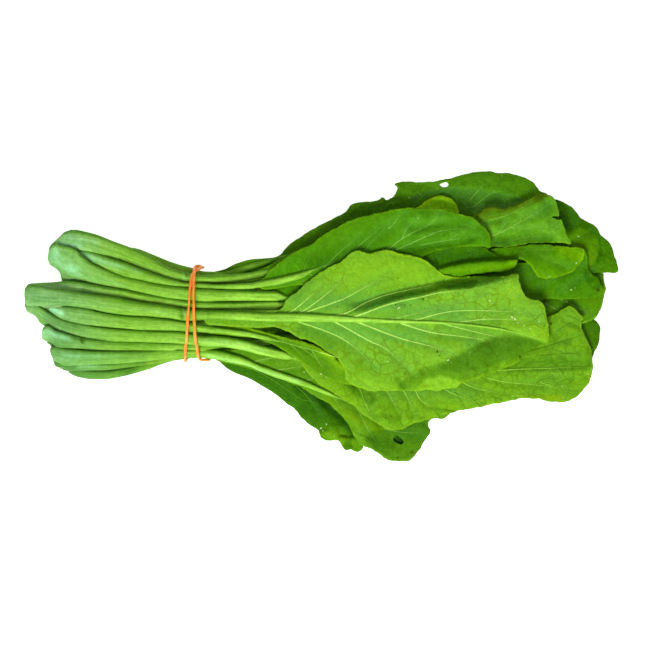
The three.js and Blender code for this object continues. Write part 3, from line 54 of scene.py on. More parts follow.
# ------------------------------------------------------------------ tables
# STALKS: sections of each petiole and midrib (u, y, z, half width, half height, tilt); LATTICE: height of
# each blade on a 12 mm grid; MIDRIBS and OUTLINES: plan curves of the leaves.
STALKS = {
    'D4': [(60, -18.38, 6.17, 4.01, 2.80, 0), (64, -18.38, 6.22, 3.97, 2.80, 0), (68, -18.39, 6.29, 3.94, 2.80, 0), (72, -18.46, 6.37, 3.90, 2.80, 0), (76, -18.60, 6.46, 3.86, 2.80, 0), (80, -18.73, 6.56, 3.83, 2.80, 0), (84, -18.86, 6.64, 3.79, 2.80, 0), (88, -18.82, 6.72, 3.75, 2.80, 0), (92, -18.61, 6.77, 3.71, 2.79, 0), (96, -18.40, 6.81, 3.67, 2.78, 0), (100, -18.19, 6.84, 3.63, 2.78, 0), (104, -17.98, 6.86, 3.59, 2.77, 0), (108, -17.73, 6.88, 3.55, 2.76, 0), (112, -17.49, 6.89, 3.50, 2.75, 0), (116, -17.24, 6.89, 3.46, 2.74, 0), (120, -16.99, 6.89, 3.42, 2.73, 0), (124, -16.74, 6.89, 3.37, 2.72, 0), (128, -16.41, 6.88, 3.34, 2.71, 0), (132, -16.08, 6.87, 3.32, 2.70, 0), (136, -15.74, 6.86, 3.29, 2.69, 0), (140, -15.41, 6.84, 3.26, 2.68, 0), (144, -15.08, 6.83, 3.23, 2.67, 0), (148, -14.68, 6.81, 3.21, 2.67, 0), (152, -14.22, 6.78, 3.19, 2.66, 0), (156, -13.76, 6.76, 3.17, 2.66, 0), (160, -13.31, 6.73, 3.15, 2.65, 0), (164, -12.85, 6.70, 3.13, 2.65, 0), (168, -12.39, 6.67, 3.11, 2.64, 0), (172, -11.79, 6.63, 3.08, 2.63, 0), (176, -11.20, 6.59, 3.06, 2.63, 0), (180, -10.60, 6.55, 3.04, 2.62, 0), (184, -10.01, 6.51, 3.02, 2.61, 0), (188, -9.71, 6.47, 3.00, 2.60, 0), (192, -9.72, 6.43, 2.97, 2.59, 0), (196, -9.72, 6.39, 2.95, 2.58, 0), (200, -9.72, 6.34, 2.93, 2.56, 0), (204, -9.73, 6.29, 2.91, 2.55, 0), (208, -9.93, 6.24, 2.89, 2.53, 0), (212, -10.13, 6.17, 2.87, 2.51, 0), (216, -10.33, 6.08, 2.84, 2.50, 0), (220, -10.53, 5.96, 2.82, 2.48, 0), (224, -10.73, 5.80, 2.80, 2.46, 0), (228, -11.33, 5.60, 2.76, 2.42, 0), (232, -11.92, 5.35, 2.73, 2.38, 0), (236, -12.52, 5.08, 2.70, 2.34, 0), (240, -13.11, 4.79, 2.66, 2.30, 0), (244, -13.71, 4.48, 2.63, 2.26, 0), (248, -14.29, 4.17, 2.60, 2.23, 0), (252, -14.85, 3.86, 2.57, 2.20, 0), (256, -15.41, 3.56, 2.54, 2.17, 0), (260, -15.97, 3.27, 2.51, 2.14, 0), (264, -16.53, 3.00, 2.48, 2.11, 0), (268, -17.09, 2.76, 2.45, 2.08, 0), (272, -17.65, 2.56, 2.41, 2.06, 0), (276, -18.20, 2.41, 2.38, 2.03, 0), (280, -18.74, 2.28, 2.35, 2.00, 0), (284, -19.29, 2.19, 2.32, 1.98, 0), (288, -19.84, 2.10, 2.29, 1.95, 0), (292, -20.38, 2.03, 2.26, 1.93, 0), (296, -20.93, 1.97, 2.23, 1.90, 0), (300, -21.45, 1.92, 2.19, 1.87, 0), (316, -24.19, 1.76, 1.74, 1.74, 0), (332, -26.62, 1.62, 1.60, 1.60, 0), (348, -29.05, 1.49, 1.47, 1.47, 0), (364, -30.72, 1.38, 1.36, 1.36, 0), (380, -32.29, 1.29, 1.27, 1.27, 0), (396, -33.85, 1.21, 1.19, 1.19, 0), (412, -35.41, 1.12, 1.10, 1.10, 0), (428, -36.46, 1.04, 1.02, 1.02, 0), (444, -36.98, 0.97, 0.95, 0.95, 0), (460, -37.50, 0.91, 0.89, 0.89, 0), (476, -38.02, 0.85, 0.83, 0.83, 0), (492, -38.40, 0.79, 0.77, 0.77, 0), (508, -37.79, 0.73, 0.71, 0.71, 0), (524, -37.18, 0.67, 0.65, 0.65, 0), (540, -36.58, 0.67, 0.65, 0.65, 0)],
    'E4': [(62, 6.69, 4.82, 3.99, 2.80, 0), (66, 6.64, 4.89, 3.95, 2.80, 0), (70, 6.59, 4.98, 3.92, 2.80, 0), (74, 6.64, 5.09, 3.88, 2.80, 0), (78, 6.69, 5.19, 3.84, 2.80, 0), (82, 6.74, 5.29, 3.81, 2.80, 0), (86, 6.79, 5.37, 3.77, 2.80, 0), (90, 6.49, 5.42, 3.73, 2.79, 0), (94, 6.20, 5.45, 3.69, 2.79, 0), (98, 5.90, 5.47, 3.65, 2.78, 0), (102, 5.60, 5.48, 3.61, 2.77, 0), (106, 5.30, 5.48, 3.57, 2.77, 0), (110, 4.98, 5.47, 3.52, 2.75, 0), (114, 4.67, 5.46, 3.48, 2.75, 0), (118, 4.36, 5.46, 3.44, 2.74, 0), (122, 4.04, 5.45, 3.39, 2.73, 0), (126, 3.72, 5.44, 3.36, 2.72, 0), (130, 3.39, 5.43, 3.33, 2.71, 0), (134, 3.06, 5.43, 3.30, 2.70, 0), (138, 2.73, 5.42, 3.27, 2.69, 0), (142, 2.40, 5.42, 3.24, 2.68, 0), (146, 2.06, 5.42, 3.22, 2.67, 0), (150, 1.73, 5.41, 3.20, 2.66, 0), (154, 1.40, 5.41, 3.17, 2.66, 0), (158, 1.06, 5.40, 3.15, 2.65, 0), (162, 0.73, 5.40, 3.13, 2.65, 0), (166, 0.40, 5.39, 3.11, 2.64, 0), (170, 0.07, 5.39, 3.09, 2.64, 0), (174, -0.26, 5.38, 3.07, 2.63, 0), (178, -0.58, 5.36, 3.05, 2.62, 0), (182, -0.90, 5.35, 3.03, 2.62, 0), (186, -1.23, 5.33, 3.01, 2.61, 0), (190, -1.54, 5.30, 2.99, 2.60, 0), (194, -1.85, 5.26, 2.96, 2.58, 0), (198, -2.16, 5.22, 2.94, 2.57, 0), (202, -2.47, 5.17, 2.92, 2.56, 0), (206, -2.78, 5.10, 2.90, 2.54, 0), (210, -3.09, 5.02, 2.87, 2.52, 0), (214, -3.40, 4.91, 2.85, 2.50, 0), (218, -3.70, 4.78, 2.83, 2.49, 0), (222, -4.01, 4.62, 2.81, 2.47, 0), (226, -4.31, 4.41, 2.78, 2.44, 0), (230, -4.62, 4.17, 2.75, 2.40, 0), (234, -4.92, 3.91, 2.72, 2.36, 0), (238, -5.22, 3.66, 2.68, 2.32, 0), (242, -5.53, 3.45, 2.65, 2.28, 0), (246, -5.83, 3.29, 2.62, 2.24, 0), (250, -6.13, 3.20, 2.59, 2.21, 0), (254, -6.43, 3.18, 2.56, 2.18, 0), (258, -6.74, 3.19, 2.53, 2.16, 0), (262, -7.04, 3.24, 2.50, 2.13, 0), (266, -7.34, 3.30, 2.46, 2.10, 0), (270, -7.64, 3.35, 2.43, 2.07, 0), (274, -7.94, 3.40, 2.40, 2.04, 0), (278, -8.24, 3.43, 2.37, 2.02, 0), (282, -8.54, 3.45, 2.34, 1.99, 0), (286, -8.84, 3.47, 2.31, 1.97, 0), (290, -9.14, 3.48, 2.28, 1.94, 0), (294, -9.44, 3.49, 2.25, 1.91, 0), (298, -9.74, 3.49, 2.21, 1.88, 0), (300, -9.88, 3.49, 2.19, 1.87, 0), (316, -11.19, 3.35, 1.74, 1.74, 0), (332, -12.41, 3.07, 1.60, 1.60, 0), (348, -13.62, 2.65, 1.47, 1.47, 0), (364, -14.86, 2.34, 1.36, 1.36, 0), (380, -16.16, 2.13, 1.27, 1.27, 0), (396, -17.47, 2.03, 1.19, 1.19, 0), (412, -18.77, 2.25, 1.10, 1.10, 0), (428, -20.07, 2.47, 1.02, 1.02, 0), (444, -20.69, 2.56, 0.95, 0.95, 0), (460, -21.21, 2.60, 0.89, 0.89, 0), (476, -21.73, 2.65, 0.83, 0.83, 0), (492, -22.25, 2.66, 0.77, 0.77, 0), (508, -22.18, 2.67, 0.71, 0.71, 0), (524, -21.52, 2.68, 0.65, 0.65, 0), (540, -20.86, 2.68, 0.65, 0.65, 0)],
    'C3': [(50, -5.87, 14.24, 4.09, 2.80, 0), (54, -5.87, 14.29, 4.06, 2.80, 0), (58, -5.98, 14.34, 4.03, 2.80, 0), (62, -6.19, 14.41, 3.99, 2.80, 0), (66, -6.40, 14.47, 3.95, 2.80, 0), (70, -6.62, 14.53, 3.92, 2.80, 0), (74, -6.61, 14.57, 3.88, 2.80, 0), (78, -6.60, 14.59, 3.85, 2.80, 0), (82, -6.59, 14.60, 3.81, 2.80, 0), (86, -6.58, 14.60, 3.77, 2.80, 0), (90, -6.57, 14.60, 3.73, 2.79, 0), (94, -6.56, 14.59, 3.69, 2.79, 0), (98, -6.56, 14.58, 3.65, 2.78, 0), (102, -6.55, 14.56, 3.61, 2.77, 0), (106, -6.53, 14.54, 3.57, 2.77, 0), (110, -6.50, 14.51, 3.52, 2.75, 0), (114, -6.47, 14.49, 3.48, 2.75, 0), (118, -6.44, 14.46, 3.44, 2.74, 0), (122, -6.41, 14.43, 3.40, 2.73, 0), (126, -6.36, 14.39, 3.36, 2.72, 0), (130, -6.28, 14.35, 3.33, 2.71, 0), (134, -6.20, 14.30, 3.30, 2.70, 0), (138, -6.12, 14.26, 3.27, 2.69, 0), (142, -6.04, 14.20, 3.24, 2.68, 0), (146, -5.96, 14.14, 3.21, 2.67, 0), (150, -5.83, 14.08, 3.19, 2.66, 0), (154, -5.70, 14.01, 3.17, 2.66, 0), (158, -5.56, 13.93, 3.15, 2.65, 0), (162, -5.43, 13.84, 3.13, 2.65, 0), (166, -5.30, 13.74, 3.11, 2.64, 0), (170, -5.14, 13.63, 3.09, 2.64, 0), (174, -4.95, 13.51, 3.07, 2.63, 0), (178, -4.77, 13.38, 3.05, 2.62, 0), (182, -4.58, 13.23, 3.03, 2.62, 0), (186, -4.39, 13.07, 3.01, 2.61, 0), (190, -4.19, 12.89, 2.99, 2.60, 0), (194, -3.99, 12.69, 2.97, 2.58, 0), (198, -3.79, 12.47, 2.94, 2.57, 0), (202, -3.59, 12.23, 2.92, 2.56, 0), (206, -3.38, 11.96, 2.90, 2.54, 0), (210, -3.18, 11.67, 2.88, 2.52, 0), (214, -2.98, 11.34, 2.85, 2.50, 0), (218, -2.77, 10.98, 2.83, 2.49, 0), (222, -2.57, 10.57, 2.81, 2.47, 0), (226, -2.37, 10.12, 2.78, 2.44, 0), (230, -2.17, 9.61, 2.74, 2.40, 0), (234, -1.97, 9.09, 2.71, 2.36, 0), (238, -1.78, 8.55, 2.67, 2.32, 0), (242, -1.58, 8.03, 2.63, 2.28, 0), (246, -1.38, 7.53, 2.60, 2.24, 0), (250, -1.21, 7.08, 2.56, 2.21, 0), (254, -1.03, 6.67, 2.53, 2.18, 0), (258, -0.86, 6.30, 2.50, 2.16, 0), (262, -0.69, 5.97, 2.47, 2.13, 0), (266, -0.51, 5.67, 2.43, 2.10, 0), (270, -0.34, 5.42, 2.40, 2.07, 0), (274, -0.17, 5.20, 2.37, 2.04, 0), (278, -0.00, 5.03, 2.34, 2.02, 0), (282, 0.17, 4.88, 2.32, 1.99, 0), (286, 0.34, 4.74, 2.29, 1.97, 0), (290, 0.51, 4.62, 2.26, 1.94, 0), (294, 0.68, 4.52, 2.23, 1.91, 0), (298, 0.85, 4.41, 2.20, 1.88, 0), (300, 0.95, 4.36, 2.18, 1.87, 0), (316, 1.27, 4.09, 1.74, 1.74, 0), (332, 1.88, 3.75, 1.60, 1.60, 0), (348, 2.49, 3.34, 1.47, 1.47, 0), (364, 3.59, 3.00, 1.36, 1.36, 0), (380, 4.76, 2.73, 1.27, 1.27, 0), (396, 5.94, 2.48, 1.19, 1.19, 0), (412, 7.11, 2.30, 1.10, 1.10, 0), (428, 8.41, 2.13, 1.02, 1.02, 0), (444, 9.84, 1.86, 0.95, 0.95, 0), (460, 11.28, 1.56, 0.89, 0.89, 0), (476, 12.71, 1.25, 0.83, 0.83, 0), (492, 14.14, 1.06, 0.77, 0.77, 0), (508, 15.54, 0.86, 0.71, 0.71, 0), (524, 16.95, 0.67, 0.65, 0.65, 0), (540, 18.35, 0.67, 0.65, 0.65, 0)],
    'E3': [(66, 4.89, 13.80, 3.92, 2.80, 0), (70, 4.99, 13.73, 3.89, 2.80, 0), (74, 5.09, 13.64, 3.86, 2.80, 0), (78, 5.19, 13.55, 3.83, 2.80, 0), (82, 5.29, 13.44, 3.80, 2.80, 0), (86, 5.38, 13.32, 3.77, 2.80, 0), (90, 5.42, 13.20, 3.73, 2.79, 0), (94, 5.46, 13.06, 3.69, 2.79, 0), (98, 5.50, 12.93, 3.65, 2.78, 0), (102, 5.53, 12.78, 3.61, 2.77, 0), (106, 5.55, 12.64, 3.57, 2.77, 0), (110, 5.54, 12.49, 3.53, 2.75, 0), (114, 5.53, 12.35, 3.48, 2.75, 0), (118, 5.52, 12.20, 3.44, 2.74, 0), (122, 5.51, 12.05, 3.40, 2.73, 0), (126, 5.48, 11.91, 3.36, 2.72, 0), (130, 5.44, 11.76, 3.33, 2.71, 0), (134, 5.40, 11.62, 3.30, 2.70, 0), (138, 5.36, 11.48, 3.27, 2.69, 0), (142, 5.32, 11.35, 3.24, 2.68, 0), (146, 5.28, 11.21, 3.22, 2.67, 0), (150, 5.22, 11.09, 3.20, 2.66, 0), (154, 5.16, 10.96, 3.18, 2.66, 0), (158, 5.11, 10.85, 3.16, 2.65, 0), (162, 5.05, 10.74, 3.14, 2.65, 0), (166, 4.99, 10.63, 3.12, 2.64, 0), (170, 4.94, 10.53, 3.09, 2.64, 0), (174, 4.89, 10.45, 3.07, 2.63, 0), (178, 4.84, 10.37, 3.05, 2.62, 0), (182, 4.79, 10.30, 3.03, 2.62, 0), (186, 4.74, 10.24, 3.01, 2.61, 0), (190, 4.71, 10.19, 2.99, 2.60, 0), (194, 4.67, 10.14, 2.96, 2.58, 0), (198, 4.63, 10.11, 2.94, 2.57, 0), (202, 4.60, 10.08, 2.92, 2.56, 0), (206, 4.57, 10.06, 2.90, 2.54, 0), (210, 4.55, 10.05, 2.87, 2.52, 0), (214, 4.53, 10.04, 2.85, 2.50, 0), (218, 4.51, 10.02, 2.83, 2.49, 0), (222, 4.49, 10.01, 2.81, 2.47, 0), (226, 4.47, 9.98, 2.78, 2.44, 0), (230, 4.46, 9.94, 2.74, 2.40, 0), (234, 4.45, 9.89, 2.71, 2.36, 0), (238, 4.44, 9.83, 2.67, 2.32, 0), (242, 4.43, 9.74, 2.63, 2.28, 0), (246, 4.42, 9.63, 2.60, 2.24, 0), (250, 4.43, 9.49, 2.57, 2.21, 0), (254, 4.43, 9.33, 2.53, 2.18, 0), (258, 4.44, 9.16, 2.50, 2.16, 0), (262, 4.44, 8.99, 2.47, 2.13, 0), (266, 4.45, 8.82, 2.44, 2.10, 0), (270, 4.46, 8.67, 2.40, 2.07, 0), (274, 4.46, 8.54, 2.37, 2.04, 0), (278, 4.46, 8.43, 2.35, 2.02, 0), (282, 4.47, 8.34, 2.32, 1.99, 0), (286, 4.47, 8.26, 2.29, 1.97, 0), (290, 4.47, 8.19, 2.26, 1.94, 0), (294, 4.48, 8.12, 2.23, 1.91, 0), (298, 4.47, 8.05, 2.20, 1.88, 0), (300, 4.46, 8.02, 2.18, 1.87, 0), (316, 4.84, 7.83, 1.74, 1.74, 0), (332, 4.84, 7.41, 1.60, 1.60, 0), (348, 4.84, 6.76, 1.47, 1.47, 0), (364, 4.71, 6.19, 1.36, 1.36, 0), (380, 4.19, 5.71, 1.27, 1.27, 0), (396, 3.67, 5.30, 1.19, 1.19, 0), (412, 3.15, 5.10, 1.10, 1.10, 0), (428, 2.63, 4.90, 1.02, 1.02, 0), (444, 1.88, 4.71, 0.95, 0.95, 0), (460, 1.10, 4.52, 0.89, 0.89, 0), (476, 0.32, 4.33, 0.83, 0.83, 0), (492, -0.46, 4.27, 0.77, 0.77, 0), (508, -1.16, 4.20, 0.71, 0.71, 0), (524, -1.77, 4.14, 0.65, 0.65, 0), (540, -2.38, 4.14, 0.65, 0.65, 0), (556, -2.98, 4.14, 0.65, 0.65, 0)],
    'D3': [(62, -29.07, 6.66, 2.16, 2.29, 0.35), (66, -29.78, 6.70, 2.45, 2.62, 0.34), (70, -30.49, 6.74, 2.73, 2.86, 0.34), (74, -31.18, 6.80, 2.85, 2.86, 0.34), (78, -31.79, 6.86, 2.89, 2.86, 0.33), (82, -32.33, 6.91, 2.86, 2.86, 0.33), (86, -32.75, 6.96, 2.83, 2.86, 0.33), (90, -33.04, 7.00, 2.80, 2.85, 0.32), (94, -33.16, 7.02, 2.78, 2.84, 0.32), (98, -33.22, 7.04, 2.77, 2.84, 0.32), (102, -33.23, 7.06, 2.75, 2.83, 0.32), (106, -33.13, 7.07, 2.72, 2.82, 0.31), (110, -33.03, 7.09, 2.69, 2.80, 0.31), (114, -32.70, 7.10, 2.64, 2.79, 0.3), (118, -32.29, 7.11, 2.59, 2.78, 0.3), (122, -31.88, 7.13, 2.54, 2.73, 0.29), (126, -31.43, 7.14, 2.49, 2.67, 0.28), (130, -30.85, 7.15, 2.44, 2.61, 0.26), (134, -30.26, 7.15, 2.38, 2.55, 0.24), (138, -29.68, 7.16, 2.33, 2.48, 0.23), (142, -29.10, 7.17, 2.27, 2.42, 0.21), (146, -28.51, 7.18, 2.22, 2.36, 0.2), (150, -27.93, 7.19, 2.16, 2.29, 0.18), (154, -27.02, 7.20, 2.12, 2.24, 0.16), (158, -26.11, 7.21, 2.07, 2.19, 0.15), (162, -25.29, 7.23, 2.07, 2.19, 0.13), (166, -24.56, 7.27, 2.11, 2.23, 0.12), (170, -23.84, 7.31, 2.15, 2.28, 0.1), (174, -23.11, 7.37, 2.19, 2.33, 0.1), (178, -22.78, 7.42, 2.21, 2.35, 0.1), (182, -22.44, 7.47, 2.24, 2.38, 0.1), (186, -22.11, 7.49, 2.26, 2.40, 0.1), (190, -21.77, 7.51, 2.28, 2.43, 0.1), (194, -21.53, 7.51, 2.36, 2.52, 0.1), (198, -21.29, 7.50, 2.44, 2.59, 0.1), (202, -21.04, 7.50, 2.52, 2.57, 0.1), (206, -20.60, 7.51, 2.67, 2.55, 0.1), (210, -20.05, 7.59, 2.64, 2.52, 0.1), (214, -19.61, 7.71, 2.61, 2.49, 0.1), (218, -19.26, 7.81, 2.41, 2.46, 0.1), (222, -18.99, 7.86, 2.38, 2.43, 0.1), (226, -19.06, 7.88, 2.36, 2.40, 0.1), (230, -19.45, 7.86, 2.33, 2.38, 0.1), (234, -19.90, 7.82, 2.31, 2.35, 0.1), (238, -20.38, 7.76, 2.28, 2.33, 0.1), (242, -20.90, 7.69, 2.26, 2.30, 0.1), (246, -21.45, 7.62, 2.23, 2.27, 0.1), (250, -21.96, 7.54, 2.20, 2.24, 0.1), (254, -22.49, 7.46, 2.16, 2.21, 0.1), (258, -23.04, 7.39, 2.13, 2.17, 0.1), (262, -23.60, 7.33, 2.10, 2.14, 0.1), (266, -24.18, 7.28, 2.06, 2.10, 0.1), (270, -24.77, 7.25, 2.03, 2.07, 0.1), (274, -25.37, 7.25, 1.99, 2.03, 0.1), (278, -25.97, 7.26, 1.96, 2.00, 0.1), (282, -26.58, 7.29, 1.92, 1.96, 0.1), (286, -27.19, 7.32, 1.89, 1.93, 0.1), (290, -27.81, 7.36, 1.85, 1.89, 0.1), (294, -28.44, 7.40, 1.82, 1.85, 0.1), (298, -29.06, 7.44, 1.78, 1.82, 0.1), (300, -29.36, 7.45, 1.77, 1.80, 0.1), (316, -32.50, 7.22, 1.64, 1.64, 0), (332, -35.32, 6.93, 1.50, 1.50, 0), (348, -37.45, 6.61, 1.37, 1.37, 0), (364, -39.58, 6.37, 1.26, 1.26, 0), (380, -41.71, 6.23, 1.17, 1.17, 0), (396, -43.03, 6.09, 1.09, 1.09, 0), (412, -43.03, 6.00, 1.01, 1.01, 0), (428, -43.03, 5.90, 0.92, 0.92, 0), (444, -43.03, 5.87, 0.90, 0.90, 0)],
    'C2': [(46, -16.53, 15.20, 2.45, 2.62, 0), (50, -16.78, 14.94, 2.38, 2.54, 0), (54, -17.03, 14.65, 2.30, 2.45, 0), (58, -17.29, 14.39, 2.23, 2.37, 0), (62, -17.50, 14.18, 2.14, 2.27, 0), (66, -17.68, 14.00, 2.04, 2.15, 0), (70, -17.86, 13.85, 1.93, 2.03, 0), (74, -18.04, 13.72, 1.87, 1.96, 0), (78, -18.20, 13.63, 1.86, 1.94, 0), (82, -18.36, 13.55, 1.84, 1.93, 0), (86, -18.48, 13.51, 1.82, 1.89, 0), (90, -18.59, 13.49, 1.79, 1.86, 0), (94, -18.71, 13.49, 1.76, 1.83, 0), (98, -18.83, 13.51, 1.73, 1.79, 0), (102, -18.93, 13.55, 1.71, 1.77, 0), (106, -18.95, 13.60, 1.71, 1.77, 0), (110, -18.97, 13.65, 1.71, 1.77, 0), (114, -18.99, 13.71, 1.71, 1.77, 0), (118, -19.00, 13.78, 1.71, 1.77, 0), (122, -19.02, 13.84, 1.71, 1.77, 0), (126, -19.04, 13.90, 1.70, 1.76, 0), (130, -19.03, 13.95, 1.67, 1.73, 0), (134, -19.02, 14.01, 1.65, 1.70, 0), (138, -19.01, 14.05, 1.62, 1.67, 0), (142, -19.00, 14.10, 1.59, 1.64, 0), (146, -18.99, 14.14, 1.57, 1.60, 0), (150, -18.98, 14.17, 1.54, 1.60, 0), (154, -18.96, 14.20, 1.51, 1.60, 0), (158, -18.94, 14.24, 1.48, 1.60, 0), (162, -18.91, 14.27, 1.45, 1.60, 0), (166, -18.89, 14.30, 1.42, 1.60, 0), (170, -18.87, 14.34, 1.39, 1.60, 0), (174, -18.84, 14.38, 1.36, 1.60, 0), (178, -18.82, 14.43, 1.33, 1.60, 0), (182, -18.37, 14.47, 2.79, 2.67, 0), (186, -17.57, 14.36, 2.78, 2.66, 0), (190, -16.89, 14.19, 2.77, 2.65, 0), (194, -16.27, 14.03, 2.75, 2.63, 0), (198, -15.71, 13.87, 2.74, 2.62, 0), (202, -15.20, 13.70, 2.73, 2.61, 0), (206, -14.78, 13.53, 2.71, 2.59, 0), (210, -14.44, 13.33, 2.69, 2.57, 0), (214, -14.14, 13.12, 2.67, 2.56, 0), (218, -13.86, 12.89, 2.49, 2.54, 0), (222, -13.60, 12.63, 2.47, 2.52, 0), (226, -13.40, 12.34, 2.44, 2.49, 0), (230, -13.25, 12.01, 2.40, 2.45, 0), (234, -13.10, 11.68, 2.36, 2.41, 0), (238, -12.98, 11.35, 2.32, 2.37, 0), (242, -12.86, 11.06, 2.28, 2.33, 0), (246, -12.75, 10.82, 2.24, 2.28, 0), (250, -12.72, 10.64, 2.21, 2.26, 0), (254, -12.69, 10.53, 2.18, 2.23, 0), (258, -12.68, 10.45, 2.16, 2.20, 0), (262, -12.66, 10.41, 2.13, 2.17, 0), (266, -12.65, 10.39, 2.10, 2.14, 0), (270, -12.65, 10.37, 2.07, 2.11, 0), (274, -12.69, 10.36, 2.04, 2.08, 0), (278, -12.74, 10.34, 2.02, 2.06, 0), (282, -12.80, 10.33, 1.99, 2.03, 0), (286, -12.85, 10.32, 1.97, 2.00, 0), (290, -12.90, 10.30, 1.94, 1.98, 0), (294, -12.96, 10.29, 1.91, 1.95, 0), (298, -13.03, 10.27, 1.88, 1.92, 0), (300, -13.07, 10.26, 1.87, 1.90, 0), (316, -13.24, 10.06, 1.74, 1.74, 0), (332, -13.85, 10.05, 1.60, 1.60, 0), (348, -14.46, 10.24, 1.47, 1.47, 0), (364, -14.83, 10.22, 1.36, 1.36, 0), (380, -15.18, 10.00, 1.27, 1.27, 0), (396, -15.52, 9.69, 1.19, 1.19, 0), (412, -15.86, 9.10, 1.10, 1.10, 0), (428, -16.20, 8.51, 1.02, 1.02, 0), (444, -16.15, 8.13, 0.95, 0.95, 0), (460, -16.03, 7.83, 0.89, 0.89, 0), (476, -15.92, 7.52, 0.83, 0.83, 0), (492, -15.80, 7.43, 0.77, 0.77, 0), (508, -15.69, 7.34, 0.71, 0.71, 0), (524, -15.48, 7.25, 0.65, 0.65, 0), (540, -15.26, 7.13, 0.62, 0.62, 0), (556, -15.04, 7.01, 0.60, 0.60, 0), (572, -14.81, 6.88, 0.57, 0.57, 0), (588, -14.59, 6.86, 0.57, 0.57, 0)],
    'E2': [(66, 21.19, 5.16, 3.92, 2.80, 0), (70, 20.79, 5.28, 3.89, 2.80, 0), (74, 20.40, 5.42, 3.86, 2.80, 0), (78, 20.00, 5.56, 3.83, 2.80, 0), (82, 19.61, 5.71, 3.80, 2.80, 0), (86, 19.21, 5.84, 3.77, 2.80, 0), (90, 19.06, 5.97, 3.73, 2.79, 0), (94, 18.91, 6.08, 3.69, 2.79, 0), (98, 18.76, 6.18, 3.65, 2.78, 0), (102, 18.61, 6.27, 3.61, 2.77, 0), (106, 18.43, 6.36, 3.57, 2.77, 0), (110, 18.24, 6.44, 3.53, 2.75, 0), (114, 18.05, 6.52, 3.48, 2.75, 0), (118, 17.85, 6.60, 3.44, 2.74, 0), (122, 17.66, 6.68, 3.40, 2.73, 0), (126, 17.45, 6.75, 3.36, 2.72, 0), (130, 17.23, 6.81, 3.33, 2.71, 0), (134, 17.01, 6.87, 3.30, 2.70, 0), (138, 16.79, 6.93, 3.27, 2.69, 0), (142, 16.56, 6.98, 3.25, 2.68, 0), (146, 16.34, 7.03, 3.22, 2.67, 0), (150, 16.10, 7.07, 3.20, 2.66, 0), (154, 15.87, 7.10, 3.18, 2.66, 0), (158, 15.63, 7.13, 3.16, 2.65, 0), (162, 15.39, 7.14, 3.14, 2.65, 0), (166, 15.15, 7.15, 3.12, 2.64, 0), (170, 14.91, 7.15, 3.09, 2.64, 0), (174, 14.66, 7.13, 3.07, 2.63, 0), (178, 14.41, 7.11, 3.05, 2.62, 0), (182, 14.16, 7.08, 3.03, 2.62, 0), (186, 13.91, 7.04, 3.01, 2.61, 0), (190, 13.87, 6.99, 2.99, 2.60, 0), (194, 13.82, 6.93, 2.97, 2.58, 0), (198, 13.77, 6.87, 2.94, 2.57, 0), (202, 13.72, 6.78, 2.92, 2.56, 0), (206, 13.79, 6.68, 2.90, 2.54, 0), (210, 13.96, 6.56, 2.88, 2.52, 0), (214, 14.13, 6.40, 2.85, 2.50, 0), (218, 14.30, 6.20, 2.83, 2.49, 0), (222, 14.47, 5.94, 2.81, 2.47, 0), (226, 14.94, 5.61, 2.78, 2.44, 0), (230, 15.70, 5.22, 2.75, 2.40, 0), (234, 16.46, 4.79, 2.71, 2.36, 0), (238, 17.22, 4.36, 2.68, 2.32, 0), (242, 17.99, 3.95, 2.65, 2.28, 0), (246, 18.75, 3.62, 2.61, 2.24, 0), (250, 19.74, 3.37, 2.58, 2.21, 0), (254, 20.72, 3.20, 2.55, 2.18, 0), (258, 21.71, 3.08, 2.51, 2.16, 0), (262, 22.69, 2.99, 2.48, 2.13, 0), (266, 23.68, 2.93, 2.45, 2.10, 0), (270, 24.66, 2.86, 2.41, 2.07, 0), (274, 25.84, 2.80, 2.39, 2.04, 0), (278, 27.01, 2.72, 2.36, 2.02, 0), (282, 28.19, 2.64, 2.33, 1.99, 0), (286, 29.36, 2.55, 2.30, 1.97, 0), (290, 30.54, 2.46, 2.27, 1.94, 0), (294, 31.71, 2.38, 2.24, 1.91, 0), (298, 32.96, 2.29, 2.21, 1.88, 0), (300, 33.62, 2.25, 2.19, 1.87, 0), (316, 37.32, 2.00, 1.74, 1.74, 0), (332, 43.57, 1.77, 1.60, 1.60, 0), (348, 49.56, 1.56, 1.47, 1.47, 0), (364, 55.49, 1.45, 1.40, 1.40, 0)],
